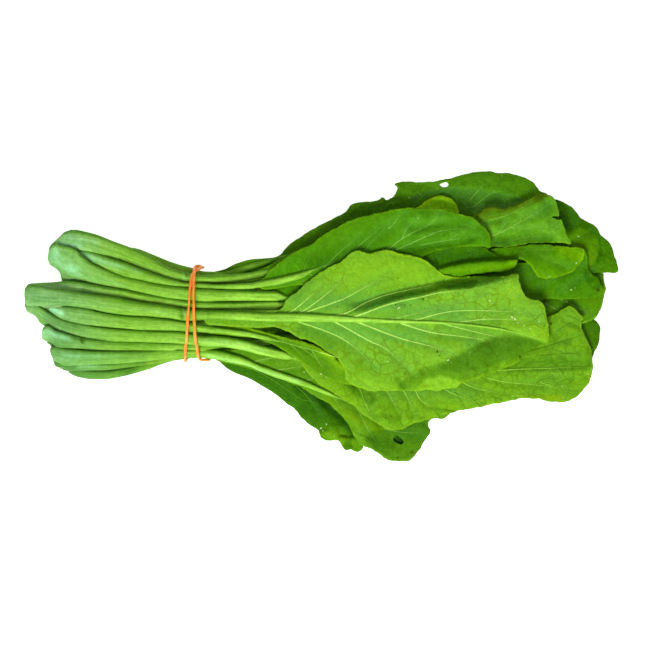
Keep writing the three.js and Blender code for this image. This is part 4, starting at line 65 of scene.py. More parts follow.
    'C1': [(42, -9.55, 27.82, 4.30, 2.86, 0.2), (46, -10.40, 27.71, 5.16, 2.86, 0.2), (50, -11.60, 27.57, 5.04, 2.86, 0.19), (54, -12.09, 27.40, 4.65, 2.86, 0.19), (58, -12.55, 27.20, 4.28, 2.86, 0.18), (62, -12.95, 26.95, 3.95, 2.86, 0.18), (66, -13.35, 26.70, 3.62, 2.86, 0.18), (70, -13.72, 26.44, 3.32, 2.86, 0.17), (74, -14.07, 26.20, 3.03, 2.86, 0.17), (78, -14.40, 25.97, 2.79, 2.86, 0.17), (82, -14.68, 25.76, 2.68, 2.86, 0.17), (86, -14.95, 25.54, 2.56, 2.75, 0.16), (90, -15.17, 25.32, 2.48, 2.66, 0.16), (94, -15.38, 25.09, 2.41, 2.57, 0.15), (98, -15.58, 24.84, 2.33, 2.49, 0.15), (102, -15.76, 24.58, 2.26, 2.41, 0.14), (106, -15.85, 24.29, 2.21, 2.34, 0.14), (110, -15.95, 23.97, 2.15, 2.28, 0.12), (114, -16.04, 23.73, 2.09, 2.21, 0.11), (118, -16.14, 23.66, 2.04, 2.15, 0.1), (122, -16.23, 23.58, 1.98, 2.08, 0.095), (126, -16.31, 23.48, 1.93, 2.03, 0.085), (130, -16.34, 23.35, 1.93, 2.02, 0.075), (134, -16.36, 23.20, 1.92, 2.01, 0.065), (138, -16.39, 23.05, 1.91, 2.00, 0.055), (142, -16.42, 22.88, 1.90, 1.99, 0.045), (146, -16.45, 22.71, 1.89, 1.98, 0.035), (150, -16.47, 22.54, 1.88, 1.97, 0.025), (154, -16.55, 22.37, 1.83, 1.91, 0.015), (158, -16.62, 22.19, 1.79, 1.86, 0.005), (162, -16.70, 22.02, 1.74, 1.81, 0), (166, -16.78, 21.85, 1.70, 1.76, 0), (170, -16.85, 21.67, 1.65, 1.70, 0), (174, -16.93, 21.50, 1.61, 1.65, 0), (178, -17.01, 21.34, 1.56, 1.60, 0), (182, -17.10, 21.18, 1.52, 1.60, 0), (186, -17.22, 21.03, 1.48, 1.60, 0), (190, -17.34, 20.90, 1.44, 1.60, 0), (194, -17.46, 20.79, 1.40, 1.60, 0), (198, -17.58, 20.73, 1.36, 1.60, 0), (202, -17.42, 20.65, 2.73, 2.61, 0), (206, -17.05, 20.27, 2.71, 2.59, 0), (210, -16.75, 19.73, 2.69, 2.57, 0), (214, -16.49, 19.25, 2.67, 2.56, 0), (218, -16.27, 18.81, 2.49, 2.54, 0), (222, -16.07, 18.38, 2.47, 2.52, 0), (226, -15.89, 17.94, 2.44, 2.49, 0), (230, -15.73, 17.49, 2.40, 2.45, 0), (234, -15.58, 17.05, 2.36, 2.41, 0), (238, -15.45, 16.63, 2.32, 2.37, 0), (242, -15.33, 16.24, 2.28, 2.33, 0), (246, -15.23, 15.91, 2.24, 2.28, 0), (250, -15.01, 15.65, 2.21, 2.26, 0), (254, -14.80, 15.44, 2.18, 2.23, 0), (258, -14.59, 15.28, 2.16, 2.20, 0), (262, -14.39, 15.15, 2.13, 2.17, 0), (266, -14.20, 15.05, 2.10, 2.14, 0), (270, -14.01, 14.96, 2.07, 2.11, 0), (274, -13.73, 14.89, 2.04, 2.08, 0), (278, -13.46, 14.82, 2.02, 2.06, 0), (282, -13.19, 14.75, 1.99, 2.03, 0), (286, -12.92, 14.69, 1.97, 2.00, 0), (290, -12.65, 14.62, 1.94, 1.98, 0), (294, -12.39, 14.56, 1.91, 1.95, 0), (298, -12.09, 14.48, 1.88, 1.92, 0), (300, -11.92, 14.45, 1.87, 1.90, 0), (316, -10.93, 13.80, 1.74, 1.74, 0), (332, -9.40, 13.13, 1.60, 1.60, 0), (348, -7.88, 12.46, 1.47, 1.47, 0), (364, -6.30, 11.80, 1.36, 1.36, 0), (380, -4.70, 11.16, 1.27, 1.27, 0), (396, -3.11, 10.56, 1.19, 1.19, 0), (412, -1.51, 10.09, 1.10, 1.10, 0), (428, 0.09, 9.63, 1.02, 1.02, 0), (444, 1.38, 9.31, 0.95, 0.95, 0), (460, 2.64, 9.03, 0.89, 0.89, 0), (476, 3.89, 8.76, 0.83, 0.83, 0), (492, 5.14, 8.44, 0.77, 0.77, 0), (508, 6.40, 8.13, 0.71, 0.71, 0), (524, 7.18, 7.81, 0.65, 0.65, 0), (540, 7.88, 7.42, 0.62, 0.62, 0), (556, 8.59, 7.03, 0.60, 0.60, 0), (572, 9.30, 6.64, 0.57, 0.57, 0), (588, 10.01, 6.57, 0.57, 0.57, 0)],
    'A4': [(56, 30.84, 14.16, 4.04, 2.80, 0), (60, 30.84, 14.33, 4.01, 2.80, 0), (64, 30.84, 14.50, 3.97, 2.80, 0), (68, 30.84, 14.67, 3.94, 2.80, 0), (72, 30.64, 14.80, 3.90, 2.80, 0), (76, 30.23, 14.89, 3.86, 2.80, 0), (80, 29.82, 14.95, 3.83, 2.80, 0), (84, 29.41, 14.98, 3.79, 2.80, 0), (88, 29.00, 15.00, 3.75, 2.80, 0), (92, 28.57, 15.01, 3.71, 2.79, 0), (96, 28.13, 15.02, 3.67, 2.78, 0), (100, 27.70, 15.02, 3.63, 2.78, 0), (104, 27.27, 15.02, 3.59, 2.77, 0), (108, 26.82, 15.03, 3.55, 2.76, 0), (112, 26.36, 15.04, 3.50, 2.75, 0), (116, 25.91, 15.05, 3.46, 2.74, 0), (120, 25.45, 15.07, 3.42, 2.73, 0), (124, 25.00, 15.09, 3.37, 2.72, 0), (128, 24.53, 15.11, 3.35, 2.71, 0), (132, 24.06, 15.14, 3.32, 2.70, 0), (136, 23.59, 15.18, 3.29, 2.69, 0), (140, 23.12, 15.21, 3.26, 2.68, 0), (144, 22.65, 15.25, 3.23, 2.67, 0), (148, 22.19, 15.29, 3.21, 2.67, 0), (152, 21.74, 15.33, 3.19, 2.66, 0), (156, 21.29, 15.36, 3.17, 2.66, 0), (160, 20.83, 15.38, 3.15, 2.65, 0), (164, 20.38, 15.39, 3.13, 2.65, 0), (168, 19.93, 15.38, 3.11, 2.64, 0), (172, 19.51, 15.35, 3.08, 2.63, 0), (176, 19.10, 15.28, 3.06, 2.63, 0), (180, 18.69, 15.19, 3.04, 2.62, 0), (184, 18.28, 15.05, 3.02, 2.61, 0), (188, 18.03, 14.92, 3.00, 2.60, 0), (192, 17.94, 14.83, 2.97, 2.59, 0), (196, 17.85, 14.77, 2.95, 2.58, 0), (200, 17.76, 14.72, 2.93, 2.56, 0), (204, 17.67, 14.64, 2.91, 2.55, 0), (208, 17.75, 14.49, 2.89, 2.53, 0), (212, 17.83, 14.26, 2.86, 2.51, 0), (216, 17.91, 13.96, 2.84, 2.50, 0), (220, 17.99, 13.56, 2.82, 2.48, 0), (224, 18.07, 13.04, 2.80, 2.46, 0), (228, 18.36, 12.41, 2.75, 2.42, 0), (232, 18.64, 11.68, 2.69, 2.38, 0), (236, 18.93, 10.93, 2.64, 2.34, 0), (240, 19.21, 10.19, 2.59, 2.30, 0), (244, 19.50, 9.53, 2.54, 2.26, 0), (248, 19.81, 8.99, 2.51, 2.23, 0), (252, 20.15, 8.59, 2.49, 2.20, 0), (256, 20.50, 8.28, 2.47, 2.17, 0), (260, 20.84, 8.06, 2.45, 2.14, 0), (264, 21.18, 7.88, 2.43, 2.11, 0), (268, 21.52, 7.74, 2.42, 2.08, 0), (272, 21.90, 7.62, 2.39, 2.06, 0), (276, 22.30, 7.50, 2.37, 2.03, 0), (280, 22.70, 7.39, 2.34, 2.00, 0), (284, 23.10, 7.28, 2.31, 1.98, 0), (288, 23.50, 7.18, 2.28, 1.95, 0), (292, 23.90, 7.07, 2.26, 1.93, 0), (296, 24.30, 6.97, 2.23, 1.90, 0), (300, 24.72, 6.87, 2.19, 1.87, 0), (316, 26.87, 6.42, 1.74, 1.74, 0), (332, 28.95, 5.92, 1.60, 1.60, 0), (348, 30.25, 5.36, 1.47, 1.47, 0), (364, 31.55, 4.95, 1.36, 1.36, 0), (380, 32.86, 4.68, 1.27, 1.27, 0), (396, 34.16, 4.45, 1.19, 1.19, 0), (412, 35.27, 4.30, 1.10, 1.10, 0), (428, 36.31, 4.17, 1.02, 1.02, 0), (444, 37.35, 4.20, 0.95, 0.95, 0), (460, 38.39, 4.30, 0.89, 0.89, 0), (476, 39.27, 4.39, 0.83, 0.83, 0), (492, 39.88, 4.40, 0.77, 0.77, 0), (508, 40.49, 4.40, 0.71, 0.71, 0), (524, 41.10, 4.41, 0.65, 0.65, 0), (540, 41.16, 4.43, 0.62, 0.62, 0), (556, 40.90, 4.45, 0.60, 0.60, 0), (572, 40.64, 4.48, 0.57, 0.57, 0), (588, 40.38, 4.48, 0.57, 0.57, 0)],
    'A1b': [(60, 43.03, 15.22, 3.02, 2.86, -0.4), (64, 42.84, 15.20, 3.02, 2.86, -0.4), (68, 42.66, 15.16, 3.02, 2.86, -0.4), (72, 42.46, 15.11, 3.02, 2.86, -0.4), (76, 42.09, 15.05, 3.01, 2.86, -0.4), (80, 41.71, 14.98, 2.99, 2.86, -0.4), (84, 41.34, 14.89, 2.97, 2.86, -0.4), (88, 40.97, 14.80, 2.96, 2.85, -0.4), (92, 40.59, 14.69, 2.94, 2.85, -0.4), (96, 40.21, 14.58, 2.93, 2.84, -0.4), (100, 39.84, 14.46, 2.92, 2.83, -0.4), (104, 39.46, 14.33, 2.90, 2.83, -0.4), (108, 39.09, 14.19, 2.88, 2.82, -0.4), (112, 38.62, 14.05, 2.88, 2.81, -0.4), (116, 38.06, 13.89, 2.89, 2.79, -0.4), (120, 37.50, 13.72, 2.90, 2.78, -0.4), (124, 36.93, 13.55, 2.90, 2.77, -0.4), (128, 36.37, 13.36, 2.91, 2.77, -0.4), (132, 35.81, 13.15, 2.92, 2.76, -0.4), (136, 35.25, 12.94, 2.93, 2.75, -0.4), (140, 34.68, 12.72, 2.93, 2.74, -0.4), (144, 33.83, 12.48, 2.88, 2.73, -0.38), (148, 32.97, 12.23, 2.82, 2.72, -0.37), (152, 32.08, 11.98, 2.78, 2.72, -0.35), (156, 31.14, 11.72, 2.76, 2.71, -0.34), (160, 30.21, 11.46, 2.74, 2.70, -0.32), (164, 29.29, 11.21, 2.72, 2.70, -0.3), (168, 28.36, 10.97, 2.71, 2.69, -0.29), (172, 27.55, 10.75, 2.70, 2.69, -0.27), (176, 26.84, 10.55, 2.67, 2.68, -0.26), (180, 26.13, 10.37, 2.65, 2.67, -0.24), (184, 25.61, 10.22, 2.58, 2.67, -0.22), (188, 25.09, 10.10, 2.51, 2.66, -0.21), (192, 24.64, 10.00, 2.45, 2.63, -0.2), (196, 24.26, 9.94, 2.41, 2.57, -0.2), (200, 23.89, 9.90, 2.36, 2.51, -0.2), (204, 23.51, 9.90, 2.31, 2.46, -0.2), (208, 23.48, 9.93, 2.28, 2.43, -0.2), (212, 23.46, 10.01, 2.25, 2.39, -0.2), (216, 23.43, 10.11, 2.05, 2.36, -0.2), (220, 23.40, 10.26, 2.02, 2.33, -0.2), (224, 23.03, 10.46, 2.46, 2.51, -0.2), (228, 23.75, 10.71, 2.42, 2.47, -0.2), (232, 24.52, 10.98, 2.38, 2.43, -0.2), (236, 25.35, 11.25, 2.34, 2.39, -0.2), (240, 26.22, 11.49, 2.30, 2.35, -0.2), (244, 27.13, 11.67, 2.26, 2.31, -0.2), (248, 27.88, 11.74, 2.23, 2.27, -0.2), (252, 28.48, 11.71, 2.20, 2.24, -0.2), (256, 29.11, 11.61, 2.17, 2.21, -0.2), (260, 29.75, 11.44, 2.14, 2.18, -0.2), (264, 30.41, 11.24, 2.11, 2.15, -0.2), (268, 31.08, 11.02, 2.08, 2.13, -0.2), (272, 31.83, 10.80, 2.06, 2.10, -0.2), (276, 32.64, 10.57, 2.03, 2.07, -0.2), (280, 33.45, 10.34, 2.00, 2.04, -0.2), (284, 34.28, 10.12, 1.98, 2.02, -0.2), (288, 35.11, 9.89, 1.95, 1.99, -0.2), (292, 35.95, 9.67, 1.93, 1.96, -0.2), (296, 36.79, 9.45, 1.90, 1.94, -0.2), (300, 37.66, 9.23, 1.87, 1.90, -0.2), (316, 41.35, 8.45, 1.74, 1.74, 0), (332, 45.36, 7.77, 1.60, 1.60, 0), (348, 49.37, 7.17, 1.47, 1.47, 0), (364, 52.59, 6.67, 1.36, 1.36, 0), (380, 55.69, 6.25, 1.27, 1.27, 0), (396, 58.79, 5.86, 1.19, 1.19, 0), (412, 60.80, 5.53, 1.10, 1.10, 0), (428, 62.44, 5.20, 1.02, 1.02, 0), (444, 64.08, 4.95, 0.95, 0.95, 0), (460, 65.49, 4.71, 0.89, 0.89, 0), (476, 66.77, 4.48, 0.83, 0.83, 0), (492, 68.05, 4.48, 0.83, 0.83, 0)],
    'E1': [(64, 18.55, 15.94, 3.96, 2.80, 0), (68, 18.45, 15.88, 3.93, 2.80, 0), (72, 18.24, 15.80, 3.90, 2.80, 0), (76, 17.93, 15.70, 3.86, 2.80, 0), (80, 17.63, 15.60, 3.83, 2.80, 0), (84, 17.32, 15.51, 3.79, 2.80, 0), (88, 17.10, 15.43, 3.75, 2.80, 0), (92, 16.96, 15.37, 3.71, 2.79, 0), (96, 16.82, 15.32, 3.67, 2.78, 0), (100, 16.68, 15.28, 3.63, 2.78, 0), (104, 16.54, 15.25, 3.59, 2.77, 0), (108, 16.36, 15.23, 3.55, 2.76, 0), (112, 16.18, 15.21, 3.50, 2.75, 0), (116, 16.00, 15.19, 3.46, 2.74, 0), (120, 15.82, 15.17, 3.42, 2.73, 0), (124, 15.64, 15.15, 3.38, 2.72, 0), (128, 15.42, 15.14, 3.35, 2.71, 0), (132, 15.19, 15.12, 3.32, 2.70, 0), (136, 14.97, 15.10, 3.29, 2.69, 0), (140, 14.74, 15.08, 3.26, 2.68, 0), (144, 14.52, 15.06, 3.23, 2.67, 0), (148, 14.27, 15.04, 3.21, 2.67, 0), (152, 14.00, 15.02, 3.19, 2.66, 0), (156, 13.73, 15.00, 3.17, 2.66, 0), (160, 13.46, 14.98, 3.14, 2.65, 0), (164, 13.19, 14.97, 3.12, 2.65, 0), (168, 12.91, 14.96, 3.10, 2.64, 0), (172, 12.70, 14.96, 3.08, 2.63, 0), (176, 12.49, 14.96, 3.06, 2.63, 0), (180, 12.28, 14.98, 3.04, 2.62, 0), (184, 12.07, 15.00, 3.02, 2.61, 0), (188, 11.94, 15.04, 3.00, 2.60, 0), (192, 11.90, 15.09, 2.98, 2.59, 0), (196, 11.85, 15.15, 2.95, 2.58, 0), (200, 11.81, 15.21, 2.93, 2.56, 0), (204, 11.76, 15.27, 2.91, 2.55, 0), (208, 11.89, 15.33, 2.89, 2.53, 0), (212, 12.03, 15.38, 2.87, 2.51, 0), (216, 12.16, 15.42, 2.84, 2.50, 0), (220, 12.30, 15.43, 2.82, 2.48, 0), (224, 12.43, 15.41, 2.80, 2.46, 0), (228, 12.90, 15.35, 2.76, 2.42, 0), (232, 13.37, 15.26, 2.72, 2.38, 0), (236, 13.85, 15.13, 2.68, 2.34, 0), (240, 14.32, 14.98, 2.64, 2.30, 0), (244, 14.79, 14.81, 2.60, 2.26, 0), (248, 15.38, 14.63, 2.57, 2.23, 0), (252, 16.09, 14.43, 2.54, 2.20, 0), (256, 16.80, 14.23, 2.51, 2.17, 0), (260, 17.52, 14.02, 2.48, 2.14, 0), (264, 18.23, 13.81, 2.45, 2.11, 0), (268, 18.94, 13.60, 2.42, 2.08, 0), (272, 19.70, 13.41, 2.39, 2.06, 0), (276, 20.52, 13.22, 2.36, 2.03, 0), (280, 21.33, 13.04, 2.33, 2.00, 0), (284, 22.15, 12.87, 2.31, 1.98, 0), (288, 22.96, 12.70, 2.28, 1.95, 0), (292, 23.78, 12.54, 2.25, 1.93, 0), (296, 24.59, 12.38, 2.22, 1.90, 0), (300, 25.54, 12.22, 2.18, 1.87, 0), (316, 26.79, 11.61, 1.74, 1.74, 0), (332, 31.14, 10.94, 1.60, 1.60, 0), (348, 35.80, 10.23, 1.47, 1.47, 0), (364, 40.46, 9.61, 1.36, 1.36, 0), (380, 45.51, 9.10, 1.27, 1.27, 0), (396, 50.57, 8.61, 1.19, 1.19, 0), (412, 55.72, 8.19, 1.10, 1.10, 0), (428, 61.45, 7.77, 1.02, 1.02, 0), (444, 67.19, 7.66, 1.00, 1.00, 0)],
    'B5': [(30, 10.49, 16.51, 4.25, 2.80, 0), (34, 10.40, 16.57, 4.22, 2.80, 0), (38, 10.31, 17.04, 4.19, 2.80, 0), (42, 10.22, 17.61, 4.16, 2.80, 0), (46, 10.06, 18.16, 4.12, 2.80, 0), (50, 9.81, 18.64, 4.09, 2.80, 0), (54, 9.57, 19.02, 4.06, 2.80, 0), (58, 9.43, 19.30, 4.02, 2.80, 0), (62, 9.38, 19.48, 3.99, 2.80, 0), (66, 9.34, 19.59, 3.96, 2.80, 0), (70, 9.29, 19.64, 3.92, 2.80, 0), (74, 9.21, 19.65, 3.88, 2.80, 0), (78, 9.12, 19.63, 3.85, 2.80, 0), (82, 9.04, 19.59, 3.81, 2.80, 0), (86, 8.96, 19.54, 3.77, 2.80, 0), (90, 8.85, 19.47, 3.73, 2.79, 0), (94, 8.74, 19.40, 3.69, 2.79, 0), (98, 8.63, 19.32, 3.65, 2.78, 0), (102, 8.52, 19.24, 3.61, 2.77, 0), (106, 8.40, 19.16, 3.57, 2.77, 0), (110, 8.27, 19.07, 3.53, 2.75, 0), (114, 8.14, 18.99, 3.48, 2.75, 0), (118, 8.01, 18.91, 3.44, 2.74, 0), (122, 7.88, 18.83, 3.40, 2.73, 0), (126, 7.75, 18.75, 3.36, 2.72, 0), (130, 7.60, 18.67, 3.33, 2.71, 0), (134, 7.46, 18.59, 3.30, 2.70, 0), (138, 7.32, 18.51, 3.27, 2.69, 0), (142, 7.17, 18.43, 3.25, 2.68, 0), (146, 7.03, 18.35, 3.22, 2.67, 0), (150, 6.87, 18.27, 3.20, 2.66, 0), (154, 6.71, 18.19, 3.18, 2.66, 0), (158, 6.56, 18.10, 3.15, 2.65, 0), (162, 6.40, 18.02, 3.13, 2.65, 0), (166, 6.24, 17.93, 3.11, 2.64, 0), (170, 6.09, 17.83, 3.09, 2.64, 0), (174, 5.96, 17.73, 3.07, 2.63, 0), (178, 5.83, 17.63, 3.05, 2.62, 0), (182, 5.70, 17.52, 3.03, 2.62, 0), (186, 5.56, 17.41, 3.01, 2.61, 0), (190, 5.55, 17.29, 2.99, 2.60, 0), (194, 5.53, 17.18, 2.96, 2.58, 0), (198, 5.51, 17.06, 2.94, 2.57, 0), (202, 5.50, 16.94, 2.92, 2.56, 0), (206, 5.57, 16.81, 2.90, 2.54, 0), (210, 5.72, 16.67, 2.87, 2.52, 0), (214, 5.88, 16.53, 2.85, 2.50, 0), (218, 6.03, 16.39, 2.83, 2.49, 0), (222, 6.18, 16.24, 2.81, 2.47, 0), (226, 6.40, 16.08, 2.78, 2.44, 0), (230, 6.67, 15.91, 2.75, 2.40, 0), (234, 6.95, 15.75, 2.71, 2.36, 0), (238, 7.22, 15.60, 2.68, 2.32, 0), (242, 7.50, 15.46, 2.65, 2.28, 0), (246, 7.78, 15.35, 2.62, 2.24, 0), (250, 7.97, 15.28, 2.59, 2.21, 0), (254, 8.17, 15.23, 2.56, 2.18, 0), (258, 8.37, 15.20, 2.52, 2.16, 0), (262, 8.57, 15.19, 2.49, 2.13, 0), (266, 8.76, 15.18, 2.46, 2.10, 0), (270, 8.96, 15.16, 2.43, 2.07, 0), (274, 9.11, 15.14, 2.40, 2.04, 0), (278, 9.26, 15.10, 2.37, 2.02, 0), (282, 9.42, 15.06, 2.34, 1.99, 0), (286, 9.57, 15.02, 2.31, 1.97, 0), (290, 9.72, 14.97, 2.28, 1.94, 0), (294, 9.87, 14.92, 2.25, 1.91, 0), (298, 10.01, 14.85, 2.21, 1.88, 0), (300, 10.08, 14.82, 2.19, 1.87, 0), (316, 10.72, 14.27, 1.74, 1.74, 0), (332, 11.17, 13.73, 1.60, 1.60, 0), (348, 11.63, 13.18, 1.47, 1.47, 0), (364, 12.14, 12.73, 1.36, 1.36, 0), (380, 12.66, 12.38, 1.27, 1.27, 0), (396, 13.18, 12.03, 1.19, 1.19, 0), (412, 13.70, 11.73, 1.10, 1.10, 0), (428, 14.14, 11.43, 1.02, 1.02, 0), (444, 14.48, 11.18, 0.95, 0.95, 0), (460, 14.82, 10.96, 0.89, 0.89, 0), (476, 15.16, 10.73, 0.83, 0.83, 0), (492, 15.50, 10.57, 0.77, 0.77, 0), (508, 15.57, 10.42, 0.71, 0.71, 0), (524, 15.37, 10.26, 0.65, 0.65, 0), (540, 15.17, 10.11, 0.62, 0.62, 0), (556, 14.97, 9.96, 0.60, 0.60, 0), (572, 14.76, 9.81, 0.57, 0.57, 0), (588, 14.56, 9.78, 0.57, 0.57, 0)],
    'D2': [(54, -26.22, 15.61, 3.30, 2.86, 0.29), (58, -26.98, 15.53, 3.11, 2.86, 0.29), (62, -27.63, 15.54, 2.96, 2.86, 0.28), (66, -28.17, 15.56, 2.85, 2.86, 0.27), (70, -28.37, 15.57, 2.72, 2.86, 0.27), (74, -28.46, 15.58, 2.58, 2.77, 0.26), (78, -28.54, 15.56, 2.45, 2.62, 0.25), (82, -28.59, 15.51, 2.34, 2.49, 0.25), (86, -28.60, 15.42, 2.28, 2.43, 0.24), (90, -28.58, 15.31, 2.28, 2.43, 0.23), (94, -28.56, 15.19, 2.28, 2.43, 0.23), (98, -28.53, 15.05, 2.28, 2.43, 0.22), (102, -28.51, 14.91, 2.28, 2.43, 0.21), (106, -28.40, 14.77, 2.27, 2.41, 0.21), (110, -28.19, 14.63, 2.24, 2.39, 0.2), (114, -27.99, 14.49, 2.22, 2.36, 0.18), (118, -27.73, 14.35, 2.17, 2.30, 0.17), (122, -27.47, 14.21, 2.12, 2.24, 0.15), (126, -27.20, 14.08, 2.08, 2.20, 0.14), (130, -26.89, 13.95, 2.10, 2.22, 0.12), (134, -26.59, 13.81, 2.11, 2.23, 0.1), (138, -26.28, 13.68, 2.12, 2.25, 0.088), (142, -25.98, 13.55, 2.14, 2.26, 0.072), (146, -25.67, 13.42, 2.15, 2.28, 0.056), (150, -25.36, 13.29, 2.17, 2.29, 0.04), (154, -24.93, 13.15, 2.14, 2.27, 0.024), (158, -24.50, 13.01, 2.12, 2.24, 0.008), (162, -24.07, 12.87, 2.10, 2.22, 0), (166, -23.63, 12.73, 2.07, 2.19, 0), (170, -23.20, 12.57, 2.05, 2.16, 0), (174, -22.77, 12.41, 2.03, 2.14, 0), (178, -22.41, 12.24, 2.06, 2.17, 0), (182, -22.07, 12.09, 2.10, 2.22, 0), (186, -21.74, 12.15, 2.15, 2.27, 0), (190, -21.40, 12.26, 2.19, 2.33, 0), (194, -21.26, 12.35, 2.21, 2.35, 0), (198, -21.11, 12.41, 2.23, 2.36, 0), (202, -20.96, 12.42, 2.24, 2.38, 0), (206, -20.94, 12.43, 2.71, 2.59, 0), (210, -21.04, 12.46, 2.69, 2.57, 0), (214, -21.16, 12.44, 2.67, 2.56, 0), (218, -21.29, 12.42, 2.49, 2.54, 0), (222, -21.43, 12.39, 2.47, 2.52, 0), (226, -22.06, 12.35, 2.44, 2.49, 0), (230, -23.19, 12.31, 2.40, 2.45, 0), (234, -24.33, 12.25, 2.36, 2.41, 0), (238, -25.47, 12.19, 2.32, 2.37, 0), (242, -26.61, 12.11, 2.28, 2.33, 0), (246, -27.76, 12.01, 2.24, 2.28, 0), (250, -29.01, 11.90, 2.21, 2.26, 0), (254, -30.25, 11.77, 2.18, 2.23, 0), (258, -31.50, 11.63, 2.16, 2.20, 0), (262, -32.75, 11.47, 2.13, 2.17, 0), (266, -34.01, 11.31, 2.10, 2.14, 0), (270, -35.26, 11.13, 2.07, 2.11, 0), (274, -36.78, 10.95, 2.04, 2.08, 0), (278, -38.31, 10.75, 2.02, 2.06, 0), (282, -39.83, 10.55, 1.99, 2.03, 0), (286, -41.36, 10.34, 1.97, 2.00, 0), (290, -42.89, 10.13, 1.94, 1.98, 0), (294, -44.41, 9.92, 1.91, 1.95, 0), (298, -46.11, 9.70, 1.88, 1.92, 0), (300, -47.04, 9.59, 1.87, 1.90, 0), (316, -49.72, 8.59, 1.74, 1.74, 0), (332, -57.22, 7.58, 1.60, 1.60, 0), (348, -70.39, 6.55, 1.47, 1.47, 0)],
    'D1': [(50, -21.38, 21.24, 4.16, 2.86, 0.15), (54, -22.49, 21.40, 4.59, 2.86, 0.15), (58, -22.95, 21.34, 4.64, 2.86, 0.14), (62, -23.19, 21.16, 4.55, 2.86, 0.14), (66, -23.42, 20.93, 4.47, 2.86, 0.13), (70, -23.53, 20.67, 4.33, 2.86, 0.13), (74, -23.58, 20.39, 4.17, 2.86, 0.13), (78, -23.64, 20.14, 4.02, 2.86, 0.12), (82, -23.69, 19.93, 3.87, 2.86, 0.12), (86, -23.73, 19.77, 3.73, 2.86, 0.11), (90, -23.76, 19.67, 3.59, 2.85, 0.11), (94, -23.80, 19.61, 3.45, 2.84, 0.11), (98, -23.75, 19.59, 3.39, 2.84, 0.1), (102, -23.69, 19.58, 3.33, 2.83, 0.095), (106, -23.64, 19.57, 3.27, 2.82, 0.085), (110, -23.59, 19.56, 3.21, 2.81, 0.075), (114, -23.54, 19.55, 3.15, 2.80, 0.065), (118, -23.49, 19.53, 3.09, 2.79, 0.055), (122, -23.44, 19.51, 3.04, 2.78, 0.045), (126, -23.36, 19.48, 2.97, 2.77, 0.035), (130, -23.21, 19.44, 2.89, 2.76, 0.025), (134, -23.06, 19.39, 2.82, 2.75, 0.015), (138, -22.91, 19.34, 2.74, 2.74, 0.005), (142, -22.76, 19.28, 2.66, 2.73, 0), (146, -22.61, 19.22, 2.58, 2.72, 0), (150, -22.46, 19.16, 2.51, 2.69, 0), (154, -22.28, 19.09, 2.47, 2.64, 0), (158, -22.10, 19.02, 2.42, 2.59, 0), (162, -21.92, 18.94, 2.38, 2.55, 0), (166, -21.75, 18.87, 2.34, 2.50, 0), (170, -21.57, 18.80, 2.30, 2.45, 0), (174, -21.39, 18.72, 2.26, 2.40, 0), (178, -21.20, 18.65, 2.26, 2.41, 0), (182, -21.00, 18.55, 2.28, 2.42, 0), (186, -20.80, 18.38, 2.29, 2.44, 0), (190, -20.61, 18.18, 2.31, 2.46, 0), (194, -20.67, 17.95, 2.46, 2.63, 0), (198, -20.73, 17.67, 2.61, 2.62, 0), (202, -20.79, 17.38, 2.75, 2.61, 0), (206, -21.13, 17.41, 2.81, 2.59, 0), (210, -21.57, 17.61, 2.83, 2.57, 0), (214, -22.01, 17.77, 2.84, 2.56, 0), (218, -22.66, 17.87, 2.68, 2.54, 0), (222, -23.39, 17.90, 2.68, 2.52, 0), (226, -24.07, 17.87, 2.65, 2.49, 0), (230, -24.60, 17.79, 2.52, 2.45, 0), (234, -25.13, 17.67, 2.39, 2.41, 0), (238, -25.66, 17.52, 2.26, 2.37, 0), (242, -26.19, 17.34, 2.14, 2.33, 0), (246, -26.72, 17.15, 2.01, 2.28, 0), (250, -27.25, 16.95, 1.88, 2.16, 0), (254, -28.09, 16.74, 1.90, 2.18, 0), (258, -28.92, 16.52, 1.92, 2.20, 0), (262, -29.76, 16.30, 1.94, 2.17, 0), (266, -30.60, 16.07, 1.95, 2.14, 0), (270, -31.44, 15.84, 1.97, 2.11, 0), (274, -32.28, 15.61, 1.99, 2.08, 0), (278, -33.04, 15.37, 1.99, 2.06, 0), (282, -33.77, 15.14, 1.99, 2.03, 0), (286, -34.50, 14.90, 1.99, 2.00, 0), (290, -35.23, 14.66, 2.00, 1.98, 0), (294, -35.96, 14.42, 2.00, 1.95, 0), (298, -36.69, 14.18, 2.00, 1.92, 0), (300, -37.05, 14.06, 1.99, 1.90, 0), (316, -40.33, 13.10, 1.63, 1.63, 0), (332, -44.25, 12.13, 1.28, 1.28, 0), (348, -48.98, 11.15, 0.94, 0.94, 0), (364, -54.76, 10.22, 1.36, 1.36, 0), (380, -61.27, 9.35, 1.27, 1.27, 0), (396, -69.30, 8.70, 1.21, 1.21, 0)],
